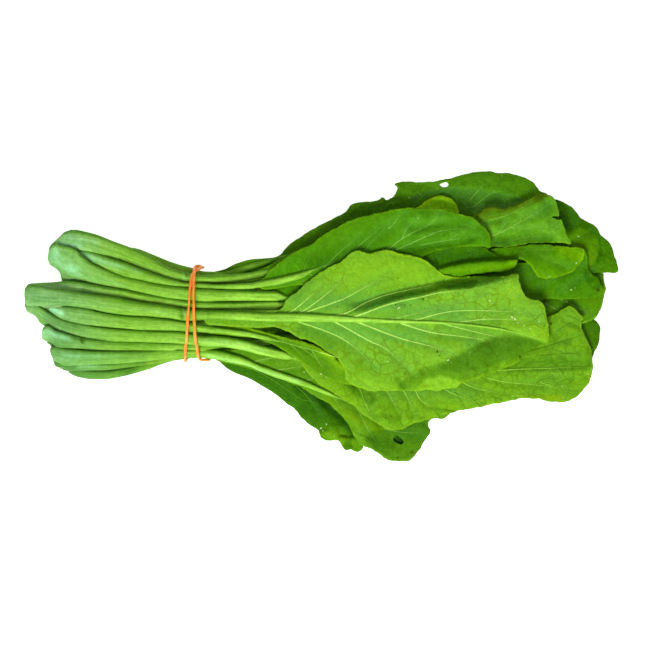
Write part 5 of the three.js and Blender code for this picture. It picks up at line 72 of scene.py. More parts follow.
    'B1': [(28, 16.42, 26.03, 2.62, 2.82, 0), (32, 16.47, 26.05, 2.68, 2.86, 0), (36, 16.53, 26.09, 2.74, 2.86, 0), (40, 16.56, 26.13, 2.77, 2.86, 0), (44, 16.60, 26.18, 2.80, 2.86, 0), (48, 16.63, 26.24, 2.83, 2.86, 0), (52, 16.69, 26.33, 2.89, 2.86, 0), (56, 16.78, 26.43, 2.99, 2.86, 0), (60, 16.87, 26.54, 3.08, 2.86, 0), (64, 16.93, 26.66, 3.13, 2.86, 0), (68, 16.99, 26.77, 3.19, 2.86, 0), (72, 16.88, 26.87, 3.21, 2.86, 0), (76, 16.63, 26.95, 3.20, 2.86, 0), (80, 16.37, 27.02, 3.19, 2.86, 0), (84, 16.05, 27.05, 3.13, 2.86, 0), (88, 15.72, 27.07, 3.05, 2.85, 0), (92, 15.38, 27.05, 2.98, 2.85, 0), (96, 15.05, 27.01, 2.90, 2.84, 0), (100, 14.71, 26.94, 2.82, 2.83, 0), (104, 14.36, 26.86, 2.73, 2.83, 0), (108, 14.02, 26.76, 2.75, 2.82, 0), (112, 13.67, 26.64, 2.76, 2.81, 0), (116, 13.32, 26.52, 2.77, 2.79, 0), (120, 12.97, 26.38, 2.78, 2.78, 0), (124, 12.63, 26.24, 2.79, 2.77, 0), (128, 12.20, 26.09, 2.76, 2.77, 0), (132, 11.74, 25.94, 2.71, 2.76, 0), (136, 11.29, 25.79, 2.67, 2.75, 0), (140, 10.83, 25.64, 2.62, 2.74, 0), (144, 10.43, 25.48, 2.56, 2.73, 0), (148, 10.03, 25.32, 2.51, 2.69, 0), (152, 9.66, 25.16, 2.43, 2.60, 0), (156, 9.32, 24.99, 2.34, 2.50, 0), (160, 8.98, 24.83, 2.25, 2.39, 0), (164, 8.60, 24.66, 2.26, 2.41, 0), (168, 8.23, 24.49, 2.27, 2.42, 0), (172, 7.85, 24.32, 2.31, 2.46, 0), (176, 7.49, 24.14, 2.38, 2.54, 0), (180, 7.12, 23.96, 2.45, 2.62, 0), (184, 6.92, 23.78, 2.47, 2.65, 0), (188, 6.71, 23.59, 2.50, 2.66, 0), (192, 6.55, 23.40, 2.50, 2.64, 0), (196, 6.43, 23.20, 2.48, 2.63, 0), (200, 6.31, 23.00, 2.46, 2.61, 0), (204, 6.21, 22.79, 2.45, 2.60, 0), (208, 6.20, 22.58, 2.45, 2.58, 0), (212, 6.19, 22.35, 2.45, 2.56, 0), (216, 6.17, 22.13, 2.28, 2.55, 0), (220, 6.16, 21.89, 2.28, 2.53, 0), (224, 6.15, 21.65, 2.28, 2.51, 0), (228, 6.14, 21.40, 2.28, 2.47, 0), (232, 6.12, 21.16, 2.28, 2.43, 0), (236, 6.11, 20.91, 2.28, 2.39, 0), (240, 6.10, 20.69, 2.28, 2.35, 0), (244, 6.13, 20.48, 2.36, 2.31, 0), (248, 6.16, 20.30, 2.43, 2.27, 0), (252, 6.20, 20.16, 2.51, 2.24, 0), (256, 6.23, 20.04, 2.58, 2.21, 0), (260, 6.26, 19.93, 2.66, 2.18, 0), (264, 6.30, 19.84, 2.73, 2.15, 0), (268, 6.33, 19.75, 2.81, 2.13, 0), (272, 6.36, 19.66, 2.88, 2.10, 0), (276, 6.40, 19.57, 2.96, 2.07, 0), (280, 6.60, 19.48, 2.00, 2.04, 0), (284, 6.95, 19.39, 1.98, 2.02, 0), (288, 7.29, 19.29, 1.95, 1.99, 0), (292, 7.60, 19.19, 1.93, 1.96, 0), (296, 7.90, 19.09, 1.90, 1.94, 0), (300, 8.26, 18.99, 1.87, 1.90, 0), (316, 9.47, 18.21, 1.74, 1.74, 0), (332, 10.71, 17.41, 1.60, 1.60, 0), (348, 12.01, 16.61, 1.47, 1.47, 0), (364, 13.31, 15.83, 1.36, 1.36, 0), (380, 14.62, 15.09, 1.27, 1.27, 0), (396, 15.92, 14.42, 1.19, 1.19, 0), (412, 17.38, 13.93, 1.10, 1.10, 0), (428, 18.91, 13.43, 1.02, 1.02, 0), (444, 20.42, 13.05, 0.95, 0.95, 0), (460, 21.94, 12.69, 0.89, 0.89, 0), (476, 23.47, 12.34, 0.83, 0.83, 0), (492, 24.98, 12.15, 0.77, 0.77, 0), (508, 26.50, 11.96, 0.71, 0.71, 0), (524, 27.94, 11.77, 0.65, 0.65, 0), (540, 29.10, 11.65, 0.62, 0.62, 0), (556, 30.26, 11.54, 0.60, 0.60, 0), (572, 31.42, 11.42, 0.57, 0.57, 0)],
    'A1': [(50, 44.46, 24.23, 3.88, 2.86, -0.25), (54, 44.40, 24.21, 3.93, 2.86, -0.24), (58, 44.35, 24.17, 3.99, 2.86, -0.24), (62, 44.37, 24.13, 4.25, 2.86, -0.23), (66, 44.46, 24.06, 4.70, 2.86, -0.22), (70, 44.33, 23.98, 4.99, 2.86, -0.22), (74, 44.13, 23.89, 5.21, 2.86, -0.21), (78, 43.86, 23.77, 5.38, 2.86, -0.2), (82, 43.39, 23.65, 5.34, 2.86, -0.19), (86, 42.92, 23.51, 5.31, 2.86, -0.17), (90, 42.32, 23.36, 5.33, 2.86, -0.15), (94, 41.67, 23.20, 5.36, 2.86, -0.13), (98, 40.97, 23.03, 5.36, 2.86, -0.11), (102, 40.13, 22.86, 5.27, 2.86, -0.09), (106, 39.30, 22.67, 5.18, 2.85, -0.07), (110, 38.46, 22.49, 5.09, 2.85, -0.05), (114, 37.62, 22.29, 5.04, 2.85, -0.03), (118, 36.79, 22.10, 4.99, 2.84, -0.01), (122, 35.96, 21.90, 4.94, 2.84, 0), (126, 35.12, 21.69, 4.91, 2.83, 0), (130, 34.24, 21.49, 4.94, 2.82, 0), (134, 33.36, 21.28, 4.97, 2.80, 0), (138, 32.47, 21.07, 5.00, 2.79, 0), (142, 31.53, 20.86, 4.93, 2.78, 0), (146, 30.51, 20.65, 4.76, 2.76, 0), (150, 29.50, 20.44, 4.59, 2.75, 0), (154, 28.37, 20.24, 4.26, 2.74, 0), (158, 27.24, 20.04, 3.93, 2.73, 0), (162, 26.17, 19.85, 3.63, 2.72, 0), (166, 25.15, 19.66, 3.37, 2.71, 0), (170, 24.14, 19.48, 3.11, 2.70, 0), (174, 23.55, 19.31, 2.97, 2.69, 0), (178, 22.96, 19.16, 2.84, 2.67, 0), (182, 22.37, 19.02, 2.70, 2.66, 0), (186, 21.78, 18.91, 2.57, 2.65, 0), (190, 21.57, 18.79, 2.50, 2.63, 0), (194, 21.48, 18.67, 2.46, 2.61, 0), (198, 21.40, 18.55, 2.42, 2.58, 0), (202, 21.31, 18.44, 2.38, 2.54, 0), (206, 21.31, 18.34, 2.39, 2.54, 0), (210, 21.35, 18.25, 2.42, 2.51, 0), (214, 21.38, 18.19, 2.46, 2.48, 0), (218, 21.42, 18.15, 2.32, 2.46, 0), (222, 21.45, 18.12, 2.35, 2.43, 0), (226, 21.48, 18.12, 2.39, 2.40, 0), (230, 21.52, 18.14, 2.42, 2.36, 0), (234, 21.77, 18.17, 2.39, 2.33, 0), (238, 22.03, 18.20, 2.37, 2.29, 0), (242, 22.29, 18.23, 2.34, 2.26, 0), (246, 22.54, 18.25, 2.31, 2.22, 0), (250, 22.80, 18.25, 2.28, 2.19, 0), (254, 23.30, 18.23, 2.25, 2.16, 0), (258, 23.81, 18.21, 2.21, 2.12, 0), (262, 24.31, 18.17, 2.18, 2.09, 0), (266, 24.81, 18.12, 2.15, 2.05, 0), (270, 25.35, 18.06, 1.98, 2.02, 0), (274, 25.93, 17.99, 1.95, 1.99, 0), (278, 26.49, 17.91, 1.92, 1.96, 0), (282, 27.03, 17.83, 1.89, 1.93, 0), (286, 27.55, 17.75, 1.86, 1.89, 0), (290, 28.06, 17.66, 1.83, 1.86, 0), (294, 28.56, 17.57, 1.80, 1.83, 0), (298, 29.04, 17.48, 1.77, 1.80, 0), (300, 29.28, 17.44, 1.75, 1.79, 0), (316, 31.57, 17.06, 1.64, 1.64, 0), (332, 33.21, 16.71, 1.53, 1.53, 0), (348, 34.85, 16.38, 1.43, 1.43, 0), (364, 35.85, 16.00, 1.33, 1.33, 0), (380, 36.76, 15.58, 1.23, 1.23, 0), (396, 37.68, 15.15, 1.13, 1.13, 0), (412, 38.73, 14.70, 1.06, 1.06, 0), (428, 39.82, 14.23, 1.00, 1.00, 0), (444, 40.91, 13.86, 0.94, 0.94, 0), (460, 42.41, 13.51, 0.88, 0.88, 0), (476, 44.15, 13.16, 0.82, 0.82, 0), (492, 45.88, 12.89, 0.76, 0.76, 0), (508, 51.10, 12.63, 0.71, 0.71, 0), (524, 56.23, 12.36, 0.65, 0.65, 0), (540, 61.14, 12.36, 0.65, 0.65, 0)],
    'A3': [(47, 34.60, 26.36, 5.23, 2.65, 0.25), (48, 34.44, 26.35, 5.44, 2.65, 0.25), (52, 33.36, 26.30, 6.86, 2.65, 0.27), (56, 32.53, 26.25, 7.98, 2.65, 0.28), (60, 31.88, 26.19, 8.43, 2.65, 0.29), (64, 31.30, 26.13, 8.64, 2.65, 0.31), (68, 30.73, 26.08, 8.76, 2.65, 0.32), (72, 30.18, 26.03, 8.60, 2.65, 0.34), (76, 29.64, 25.98, 8.43, 2.65, 0.35), (80, 28.04, 25.93, 7.57, 2.65, 0.32), (84, 26.68, 25.87, 6.93, 2.65, 0.3), (88, 25.39, 25.80, 6.37, 2.66, 0.27), (92, 24.25, 25.71, 5.90, 2.68, 0.24), (96, 23.53, 25.61, 5.67, 2.70, 0.21), (100, 22.82, 25.49, 5.44, 2.72, 0.19), (104, 22.11, 25.37, 5.21, 2.73, 0.16), (108, 21.44, 25.24, 4.99, 2.74, 0.13), (112, 20.88, 25.11, 4.76, 2.74, 0.11), (116, 20.32, 25.00, 4.53, 2.75, 0.096), (120, 19.76, 24.90, 4.30, 2.75, 0.08), (124, 19.21, 24.81, 4.07, 2.75, 0.064), (128, 18.70, 24.74, 4.02, 2.75, 0.048), (132, 18.22, 24.67, 4.02, 2.74, 0.032), (136, 17.73, 24.61, 4.02, 2.74, 0.016), (140, 17.24, 24.56, 4.02, 2.73, 0), (144, 16.72, 24.50, 3.95, 2.73, 0), (148, 16.19, 24.46, 3.88, 2.72, 0), (152, 15.70, 24.42, 3.85, 2.72, 0), (156, 15.25, 24.38, 3.85, 2.71, 0), (160, 14.79, 24.34, 3.85, 2.70, 0), (164, 14.39, 24.31, 3.81, 2.70, 0), (168, 13.99, 24.28, 3.78, 2.69, 0), (172, 13.67, 24.25, 3.75, 2.69, 0), (176, 13.43, 24.22, 3.74, 2.68, 0), (180, 13.18, 24.20, 3.72, 2.68, 0), (184, 12.94, 24.17, 3.70, 2.67, 0), (188, 12.69, 24.15, 3.68, 2.67, 0), (192, 12.49, 24.13, 3.68, 2.66, 0), (196, 12.33, 24.10, 3.68, 2.66, 0), (200, 12.17, 24.06, 3.68, 2.65, 0), (204, 12.05, 24.01, 3.67, 2.64, 0), (208, 12.04, 23.93, 3.63, 2.62, 0), (212, 12.02, 23.84, 3.60, 2.60, 0), (216, 12.01, 23.73, 3.40, 2.58, 0), (220, 11.99, 23.61, 3.36, 2.56, 0), (224, 11.97, 23.47, 3.33, 2.54, 0), (228, 11.96, 23.32, 3.29, 2.52, 0), (232, 11.94, 23.16, 3.26, 2.50, 0), (236, 11.93, 23.00, 3.23, 2.47, 0), (240, 11.91, 22.85, 3.19, 2.45, 0), (244, 11.89, 22.71, 3.16, 2.43, 0), (248, 11.86, 22.60, 3.12, 2.41, 0), (252, 11.84, 22.51, 3.08, 2.38, 0), (256, 11.81, 22.44, 3.04, 2.36, 0), (260, 11.79, 22.38, 3.01, 2.34, 0), (264, 11.77, 22.32, 2.97, 2.32, 0), (268, 11.74, 22.25, 2.93, 2.30, 0), (272, 11.72, 22.18, 2.90, 2.26, 0), (276, 11.69, 22.09, 2.86, 2.22, 0), (280, 11.44, 22.00, 2.48, 2.18, 0), (284, 11.11, 21.89, 2.00, 2.14, 0), (288, 10.79, 21.79, 1.51, 1.73, 0), (292, 10.70, 21.67, 2.02, 2.06, 0), (296, 11.25, 21.55, 1.98, 2.02, 0), (300, 11.87, 21.43, 1.94, 1.97, 0), (316, 13.75, 20.85, 1.76, 1.76, 0), (332, 15.33, 20.35, 1.61, 1.61, 0), (348, 17.16, 19.95, 1.49, 1.49, 0), (364, 18.98, 19.55, 1.37, 1.37, 0), (380, 20.80, 19.17, 1.25, 1.25, 0), (396, 22.63, 18.78, 1.14, 1.14, 0), (412, 24.45, 18.32, 1.07, 1.07, 0), (428, 25.82, 17.86, 1.00, 1.00, 0), (444, 26.73, 17.44, 0.94, 0.94, 0), (460, 27.64, 17.02, 0.88, 0.88, 0), (476, 28.56, 16.60, 0.82, 0.82, 0), (492, 29.47, 16.60, 0.82, 0.82, 0), (508, 30.38, 16.60, 0.82, 0.82, 0)],
    'B4': [(26, 4.56, 25.54, 2.73, 2.86, 0.3), (30, 3.96, 25.63, 3.62, 2.86, 0.29), (34, 2.99, 25.73, 4.59, 2.86, 0.29), (38, 1.65, 25.82, 4.89, 2.86, 0.28), (42, 0.31, 25.89, 5.20, 2.86, 0.28), (46, -1.13, 25.84, 4.92, 2.86, 0.27), (50, -2.50, 25.66, 4.48, 2.86, 0.26), (54, -3.61, 25.50, 4.17, 2.86, 0.26), (58, -4.64, 25.37, 3.92, 2.86, 0.25), (62, -5.40, 25.28, 3.89, 2.86, 0.24), (66, -6.16, 25.20, 3.86, 2.86, 0.23), (70, -6.73, 25.15, 3.95, 2.86, 0.22), (74, -7.23, 25.12, 4.09, 2.85, 0.21), (78, -7.71, 25.09, 4.19, 2.85, 0.2), (82, -8.11, 25.08, 4.17, 2.85, 0.18), (86, -8.51, 25.08, 4.16, 2.85, 0.17), (90, -8.83, 25.08, 4.15, 2.84, 0.16), (94, -9.12, 25.10, 4.13, 2.84, 0.15), (98, -9.41, 25.13, 4.12, 2.83, 0.14), (102, -9.69, 25.17, 4.10, 2.83, 0.12), (106, -9.92, 25.24, 4.10, 2.82, 0.11), (110, -10.15, 25.34, 4.10, 2.82, 0.1), (114, -10.37, 25.37, 4.10, 2.81, 0.09), (118, -10.48, 25.22, 4.06, 2.80, 0.08), (122, -10.58, 25.08, 4.02, 2.80, 0.07), (126, -10.68, 24.97, 3.97, 2.79, 0.06), (130, -10.78, 24.89, 3.91, 2.79, 0.05), (134, -10.87, 24.83, 3.86, 2.78, 0.04), (138, -10.97, 24.78, 3.80, 2.78, 0.03), (142, -11.07, 24.74, 3.74, 2.77, 0.02), (146, -11.16, 24.70, 3.68, 2.76, 0.01), (150, -11.26, 24.68, 3.62, 2.76, 0), (154, -11.34, 24.65, 3.63, 2.76, 0), (158, -11.42, 24.63, 3.64, 2.76, 0), (162, -11.50, 24.61, 3.65, 2.76, 0), (166, -11.58, 24.59, 3.66, 2.75, 0), (170, -11.66, 24.58, 3.68, 2.75, 0), (174, -11.82, 24.56, 3.70, 2.75, 0), (178, -11.98, 24.56, 3.72, 2.74, 0), (182, -12.19, 24.56, 3.69, 2.74, 0), (186, -12.47, 24.57, 3.60, 2.73, 0), (190, -12.74, 24.60, 3.50, 2.72, 0), (194, -13.15, 24.63, 3.36, 2.71, 0), (198, -13.56, 24.68, 3.21, 2.69, 0), (202, -13.98, 24.74, 3.06, 2.68, 0), (206, -14.40, 24.73, 3.04, 2.66, 0), (210, -14.82, 24.57, 3.08, 2.64, 0), (214, -15.16, 24.31, 3.10, 2.61, 0), (218, -15.50, 24.03, 2.95, 2.59, 0), (222, -15.85, 23.74, 2.98, 2.56, 0), (226, -16.19, 23.42, 3.00, 2.53, 0), (230, -16.53, 23.08, 3.02, 2.50, 0), (234, -16.87, 22.73, 3.04, 2.47, 0), (238, -17.21, 22.37, 3.07, 2.44, 0), (242, -17.56, 22.03, 3.09, 2.41, 0), (246, -17.90, 21.71, 3.11, 2.38, 0), (250, -18.24, 21.42, 3.13, 2.34, 0), (254, -18.77, 21.17, 3.06, 2.29, 0), (258, -19.30, 20.93, 2.99, 2.25, 0), (262, -19.82, 20.71, 2.92, 2.21, 0), (266, -20.35, 20.50, 2.85, 2.17, 0), (270, -20.88, 20.30, 2.78, 2.13, 0), (274, -21.41, 20.11, 2.71, 2.09, 0), (278, -21.93, 19.92, 2.63, 2.05, 0), (282, -22.46, 19.73, 2.56, 2.00, 0), (286, -22.98, 19.54, 2.40, 1.96, 0), (290, -23.49, 19.35, 1.98, 1.92, 0), (294, -24.00, 19.17, 1.56, 1.80, 0), (298, -24.51, 18.98, 1.14, 1.60, 0), (300, -24.64, 18.89, 1.79, 1.83, 0), (316, -26.18, 18.11, 1.68, 1.68, 0), (332, -27.92, 17.46, 1.56, 1.56, 0), (348, -29.32, 16.94, 1.46, 1.46, 0), (364, -30.38, 16.41, 1.36, 1.36, 0), (380, -31.45, 15.86, 1.27, 1.27, 0), (396, -32.51, 15.32, 1.19, 1.19, 0), (412, -32.77, 14.79, 1.10, 1.10, 0), (428, -32.77, 14.27, 1.02, 1.02, 0), (444, -32.77, 13.80, 0.95, 0.95, 0), (460, -32.24, 13.36, 0.89, 0.89, 0), (476, -31.38, 12.91, 0.83, 0.83, 0), (492, -30.52, 12.53, 0.77, 0.77, 0), (508, -29.83, 12.16, 0.71, 0.71, 0), (524, -29.54, 11.78, 0.65, 0.65, 0), (540, -29.25, 11.44, 0.62, 0.62, 0), (556, -29.03, 11.10, 0.60, 0.60, 0), (572, -28.91, 10.75, 0.57, 0.57, 0), (588, -28.80, 10.69, 0.57, 0.57, 0)],
    'A2': [(50, 39.33, 19.94, 2.74, 2.86, 0), (54, 38.82, 20.10, 2.79, 2.86, 0), (58, 38.30, 20.30, 2.85, 2.86, 0), (62, 37.79, 20.54, 2.91, 2.86, 0), (66, 37.28, 20.82, 2.96, 2.86, 0), (70, 36.77, 21.14, 3.02, 2.86, 0), (74, 36.11, 21.51, 3.20, 2.86, 0), (78, 35.46, 21.92, 3.37, 2.86, 0), (82, 34.82, 22.35, 3.53, 2.86, 0), (86, 34.24, 22.78, 3.63, 2.86, 0), (90, 33.66, 23.20, 3.74, 2.85, 0), (94, 32.90, 23.59, 3.80, 2.84, 0), (98, 32.07, 23.96, 3.86, 2.84, 0), (102, 31.24, 24.30, 3.92, 2.83, 0), (106, 30.42, 24.59, 3.97, 2.82, 0), (110, 29.63, 24.84, 3.99, 2.81, 0), (114, 28.86, 25.03, 3.99, 2.80, 0), (118, 28.09, 25.15, 3.99, 2.79, 0), (122, 27.31, 25.21, 3.99, 2.78, 0), (126, 26.56, 25.20, 3.93, 2.77, 0), (130, 25.87, 25.14, 3.71, 2.76, 0), (134, 25.18, 25.02, 3.49, 2.75, 0), (138, 24.49, 24.86, 3.27, 2.74, 0), (142, 23.78, 24.67, 3.10, 2.73, 0), (146, 23.06, 24.45, 2.97, 2.72, 0), (150, 22.34, 24.23, 2.85, 2.72, 0), (154, 21.72, 24.01, 2.68, 2.71, 0), (158, 21.09, 23.78, 2.51, 2.69, 0), (162, 20.47, 23.55, 2.35, 2.50, 0), (166, 19.87, 23.34, 2.20, 2.33, 0), (170, 19.27, 23.14, 2.05, 2.16, 0), (174, 18.83, 22.95, 1.94, 2.03, 0), (178, 18.40, 22.78, 1.82, 1.90, 0), (182, 18.07, 22.63, 1.74, 1.81, 0), (186, 17.84, 22.50, 1.70, 1.76, 0), (190, 17.61, 22.39, 1.65, 1.70, 0), (194, 17.51, 22.30, 1.69, 1.74, 0), (198, 17.40, 22.23, 1.72, 1.78, 0), (202, 17.30, 22.19, 1.76, 1.83, 0), (206, 17.16, 22.16, 1.72, 1.79, 0), (210, 17.01, 22.16, 1.67, 1.72, 0), (214, 16.85, 22.21, 1.61, 1.66, 0), (218, 16.86, 22.31, 1.45, 1.67, 0), (222, 16.93, 22.48, 1.48, 1.70, 0), (226, 16.99, 22.75, 1.51, 1.74, 0), (230, 17.06, 23.10, 1.55, 1.78, 0), (234, 17.12, 23.50, 1.58, 1.82, 0), (238, 17.19, 23.91, 1.61, 1.85, 0), (242, 17.25, 24.29, 1.64, 1.89, 0), (246, 17.32, 24.59, 1.68, 1.93, 0), (250, 17.38, 24.79, 1.71, 1.97, 0), (254, 17.77, 24.90, 1.79, 2.05, 0), (258, 18.15, 24.93, 1.86, 2.14, 0), (262, 18.52, 24.91, 1.94, 2.17, 0), (266, 18.90, 24.85, 2.01, 2.14, 0), (270, 19.29, 24.75, 2.09, 2.11, 0), (274, 19.66, 24.63, 2.17, 2.08, 0), (278, 20.05, 24.48, 2.24, 2.06, 0), (282, 20.55, 24.31, 2.25, 2.03, 0), (286, 21.18, 24.14, 2.19, 2.00, 0), (290, 21.80, 23.95, 2.14, 1.98, 0), (294, 22.43, 23.76, 2.08, 1.95, 0), (298, 23.06, 23.57, 2.02, 1.92, 0), (300, 23.37, 23.47, 2.00, 1.90, 0), (316, 27.14, 22.66, 1.20, 1.20, 0), (332, 30.17, 21.99, 1.60, 1.60, 0), (348, 32.64, 21.46, 1.47, 1.47, 0), (364, 34.89, 20.99, 1.36, 1.36, 0), (380, 36.49, 20.58, 1.27, 1.27, 0), (396, 38.09, 20.17, 1.19, 1.19, 0), (412, 39.88, 19.73, 1.10, 1.10, 0), (428, 41.68, 19.30, 1.02, 1.02, 0), (444, 43.09, 18.96, 0.96, 0.96, 0), (460, 43.32, 18.64, 0.90, 0.90, 0), (476, 43.55, 18.33, 0.84, 0.84, 0)],
    'B3': [(28, 5.98, 19.98, 3.02, 2.75, 0), (32, 5.70, 20.58, 3.02, 2.75, 0), (36, 5.41, 20.96, 3.02, 2.75, 0), (40, 4.93, 21.35, 3.18, 2.75, 0), (44, 4.44, 21.90, 3.28, 2.75, 0), (48, 3.97, 22.72, 3.19, 2.75, 0), (52, 3.53, 23.67, 3.37, 2.75, 0), (56, 3.10, 24.62, 3.65, 2.75, 0), (60, 2.68, 25.55, 3.93, 2.75, 0), (64, 2.25, 26.42, 4.18, 2.75, 0), (68, 1.81, 27.21, 4.43, 2.75, 0), (72, 1.42, 27.91, 4.60, 2.75, 0), (76, 1.08, 28.47, 4.67, 2.75, 0), (80, 0.74, 28.88, 4.74, 2.75, 0), (84, 0.36, 29.17, 4.76, 2.75, 0), (88, -0.02, 29.35, 4.76, 2.75, 0), (92, -0.42, 29.43, 4.72, 2.75, 0), (96, -0.87, 29.44, 4.57, 2.75, 0), (100, -1.31, 29.38, 4.43, 2.75, 0), (104, -1.65, 29.27, 4.34, 2.75, 0), (108, -1.95, 29.13, 4.27, 2.75, 0), (112, -2.24, 28.97, 4.20, 2.75, 0), (116, -2.51, 28.79, 4.12, 2.75, 0), (120, -2.75, 28.60, 4.05, 2.75, 0), (124, -2.99, 28.40, 3.98, 2.75, 0), (128, -3.18, 28.20, 4.00, 2.75, 0), (132, -3.36, 28.00, 4.05, 2.75, 0), (136, -3.53, 27.80, 4.11, 2.75, 0), (140, -3.70, 27.61, 4.16, 2.75, 0), (144, -3.77, 27.42, 4.14, 2.75, 0), (148, -3.84, 27.24, 4.11, 2.75, 0), (152, -3.96, 27.06, 4.05, 2.75, 0), (156, -4.12, 26.89, 3.93, 2.74, 0), (160, -4.27, 26.73, 3.82, 2.73, 0), (164, -4.41, 26.57, 3.73, 2.73, 0), (168, -4.55, 26.41, 3.64, 2.72, 0), (172, -4.75, 26.26, 3.50, 2.71, 0), (176, -5.03, 26.10, 3.32, 2.71, 0), (180, -5.30, 25.95, 3.13, 2.70, 0), (184, -5.57, 25.80, 3.09, 2.69, 0), (188, -5.85, 25.65, 3.04, 2.68, 0), (192, -6.13, 25.49, 2.90, 2.67, 0), (196, -6.41, 25.33, 2.65, 2.66, 0), (200, -6.69, 25.17, 2.41, 2.57, 0), (204, -6.96, 25.00, 2.21, 2.34, 0), (208, -7.22, 24.84, 2.14, 2.26, 0), (212, -7.47, 24.68, 2.07, 2.19, 0), (216, -7.73, 24.53, 1.83, 2.11, 0), (220, -7.98, 24.39, 1.77, 2.03, 0), (224, -8.25, 24.28, 1.77, 2.03, 0), (228, -8.53, 24.19, 1.77, 2.03, 0), (232, -8.80, 24.13, 1.77, 2.03, 0), (236, -9.07, 24.08, 1.77, 2.03, 0), (240, -9.35, 24.03, 1.77, 2.03, 0), (244, -9.62, 23.97, 1.77, 2.03, 0), (248, -9.90, 23.89, 1.77, 2.03, 0), (252, -10.29, 23.79, 1.74, 2.00, 0), (256, -10.80, 23.67, 1.68, 1.93, 0), (260, -11.31, 23.53, 1.62, 1.87, 0), (264, -11.83, 23.39, 1.57, 1.80, 0), (268, -12.34, 23.24, 1.51, 1.74, 0), (272, -12.89, 23.08, 1.43, 1.65, 0), (276, -13.48, 22.91, 1.34, 1.60, 0), (280, -14.06, 22.74, 1.24, 1.60, 0), (284, -14.65, 22.57, 1.14, 1.60, 0), (288, -15.24, 22.40, 1.05, 1.60, 0), (292, -15.83, 22.22, 1.70, 1.74, 0), (296, -16.41, 22.04, 1.66, 1.69, 0), (300, -17.01, 21.86, 1.64, 1.67, 0), (316, -19.59, 21.15, 1.54, 1.54, 0), (332, -22.29, 20.53, 1.44, 1.44, 0), (348, -25.02, 19.98, 1.35, 1.35, 0), (364, -27.46, 19.47, 1.26, 1.26, 0), (380, -28.97, 19.00, 1.17, 1.17, 0), (396, -30.49, 18.52, 1.09, 1.09, 0), (412, -32.02, 17.99, 1.01, 1.01, 0), (428, -32.93, 17.46, 0.92, 0.92, 0), (444, -33.23, 17.01, 0.86, 0.86, 0), (460, -33.53, 16.59, 0.82, 0.82, 0), (476, -33.84, 16.17, 0.77, 0.77, 0)],
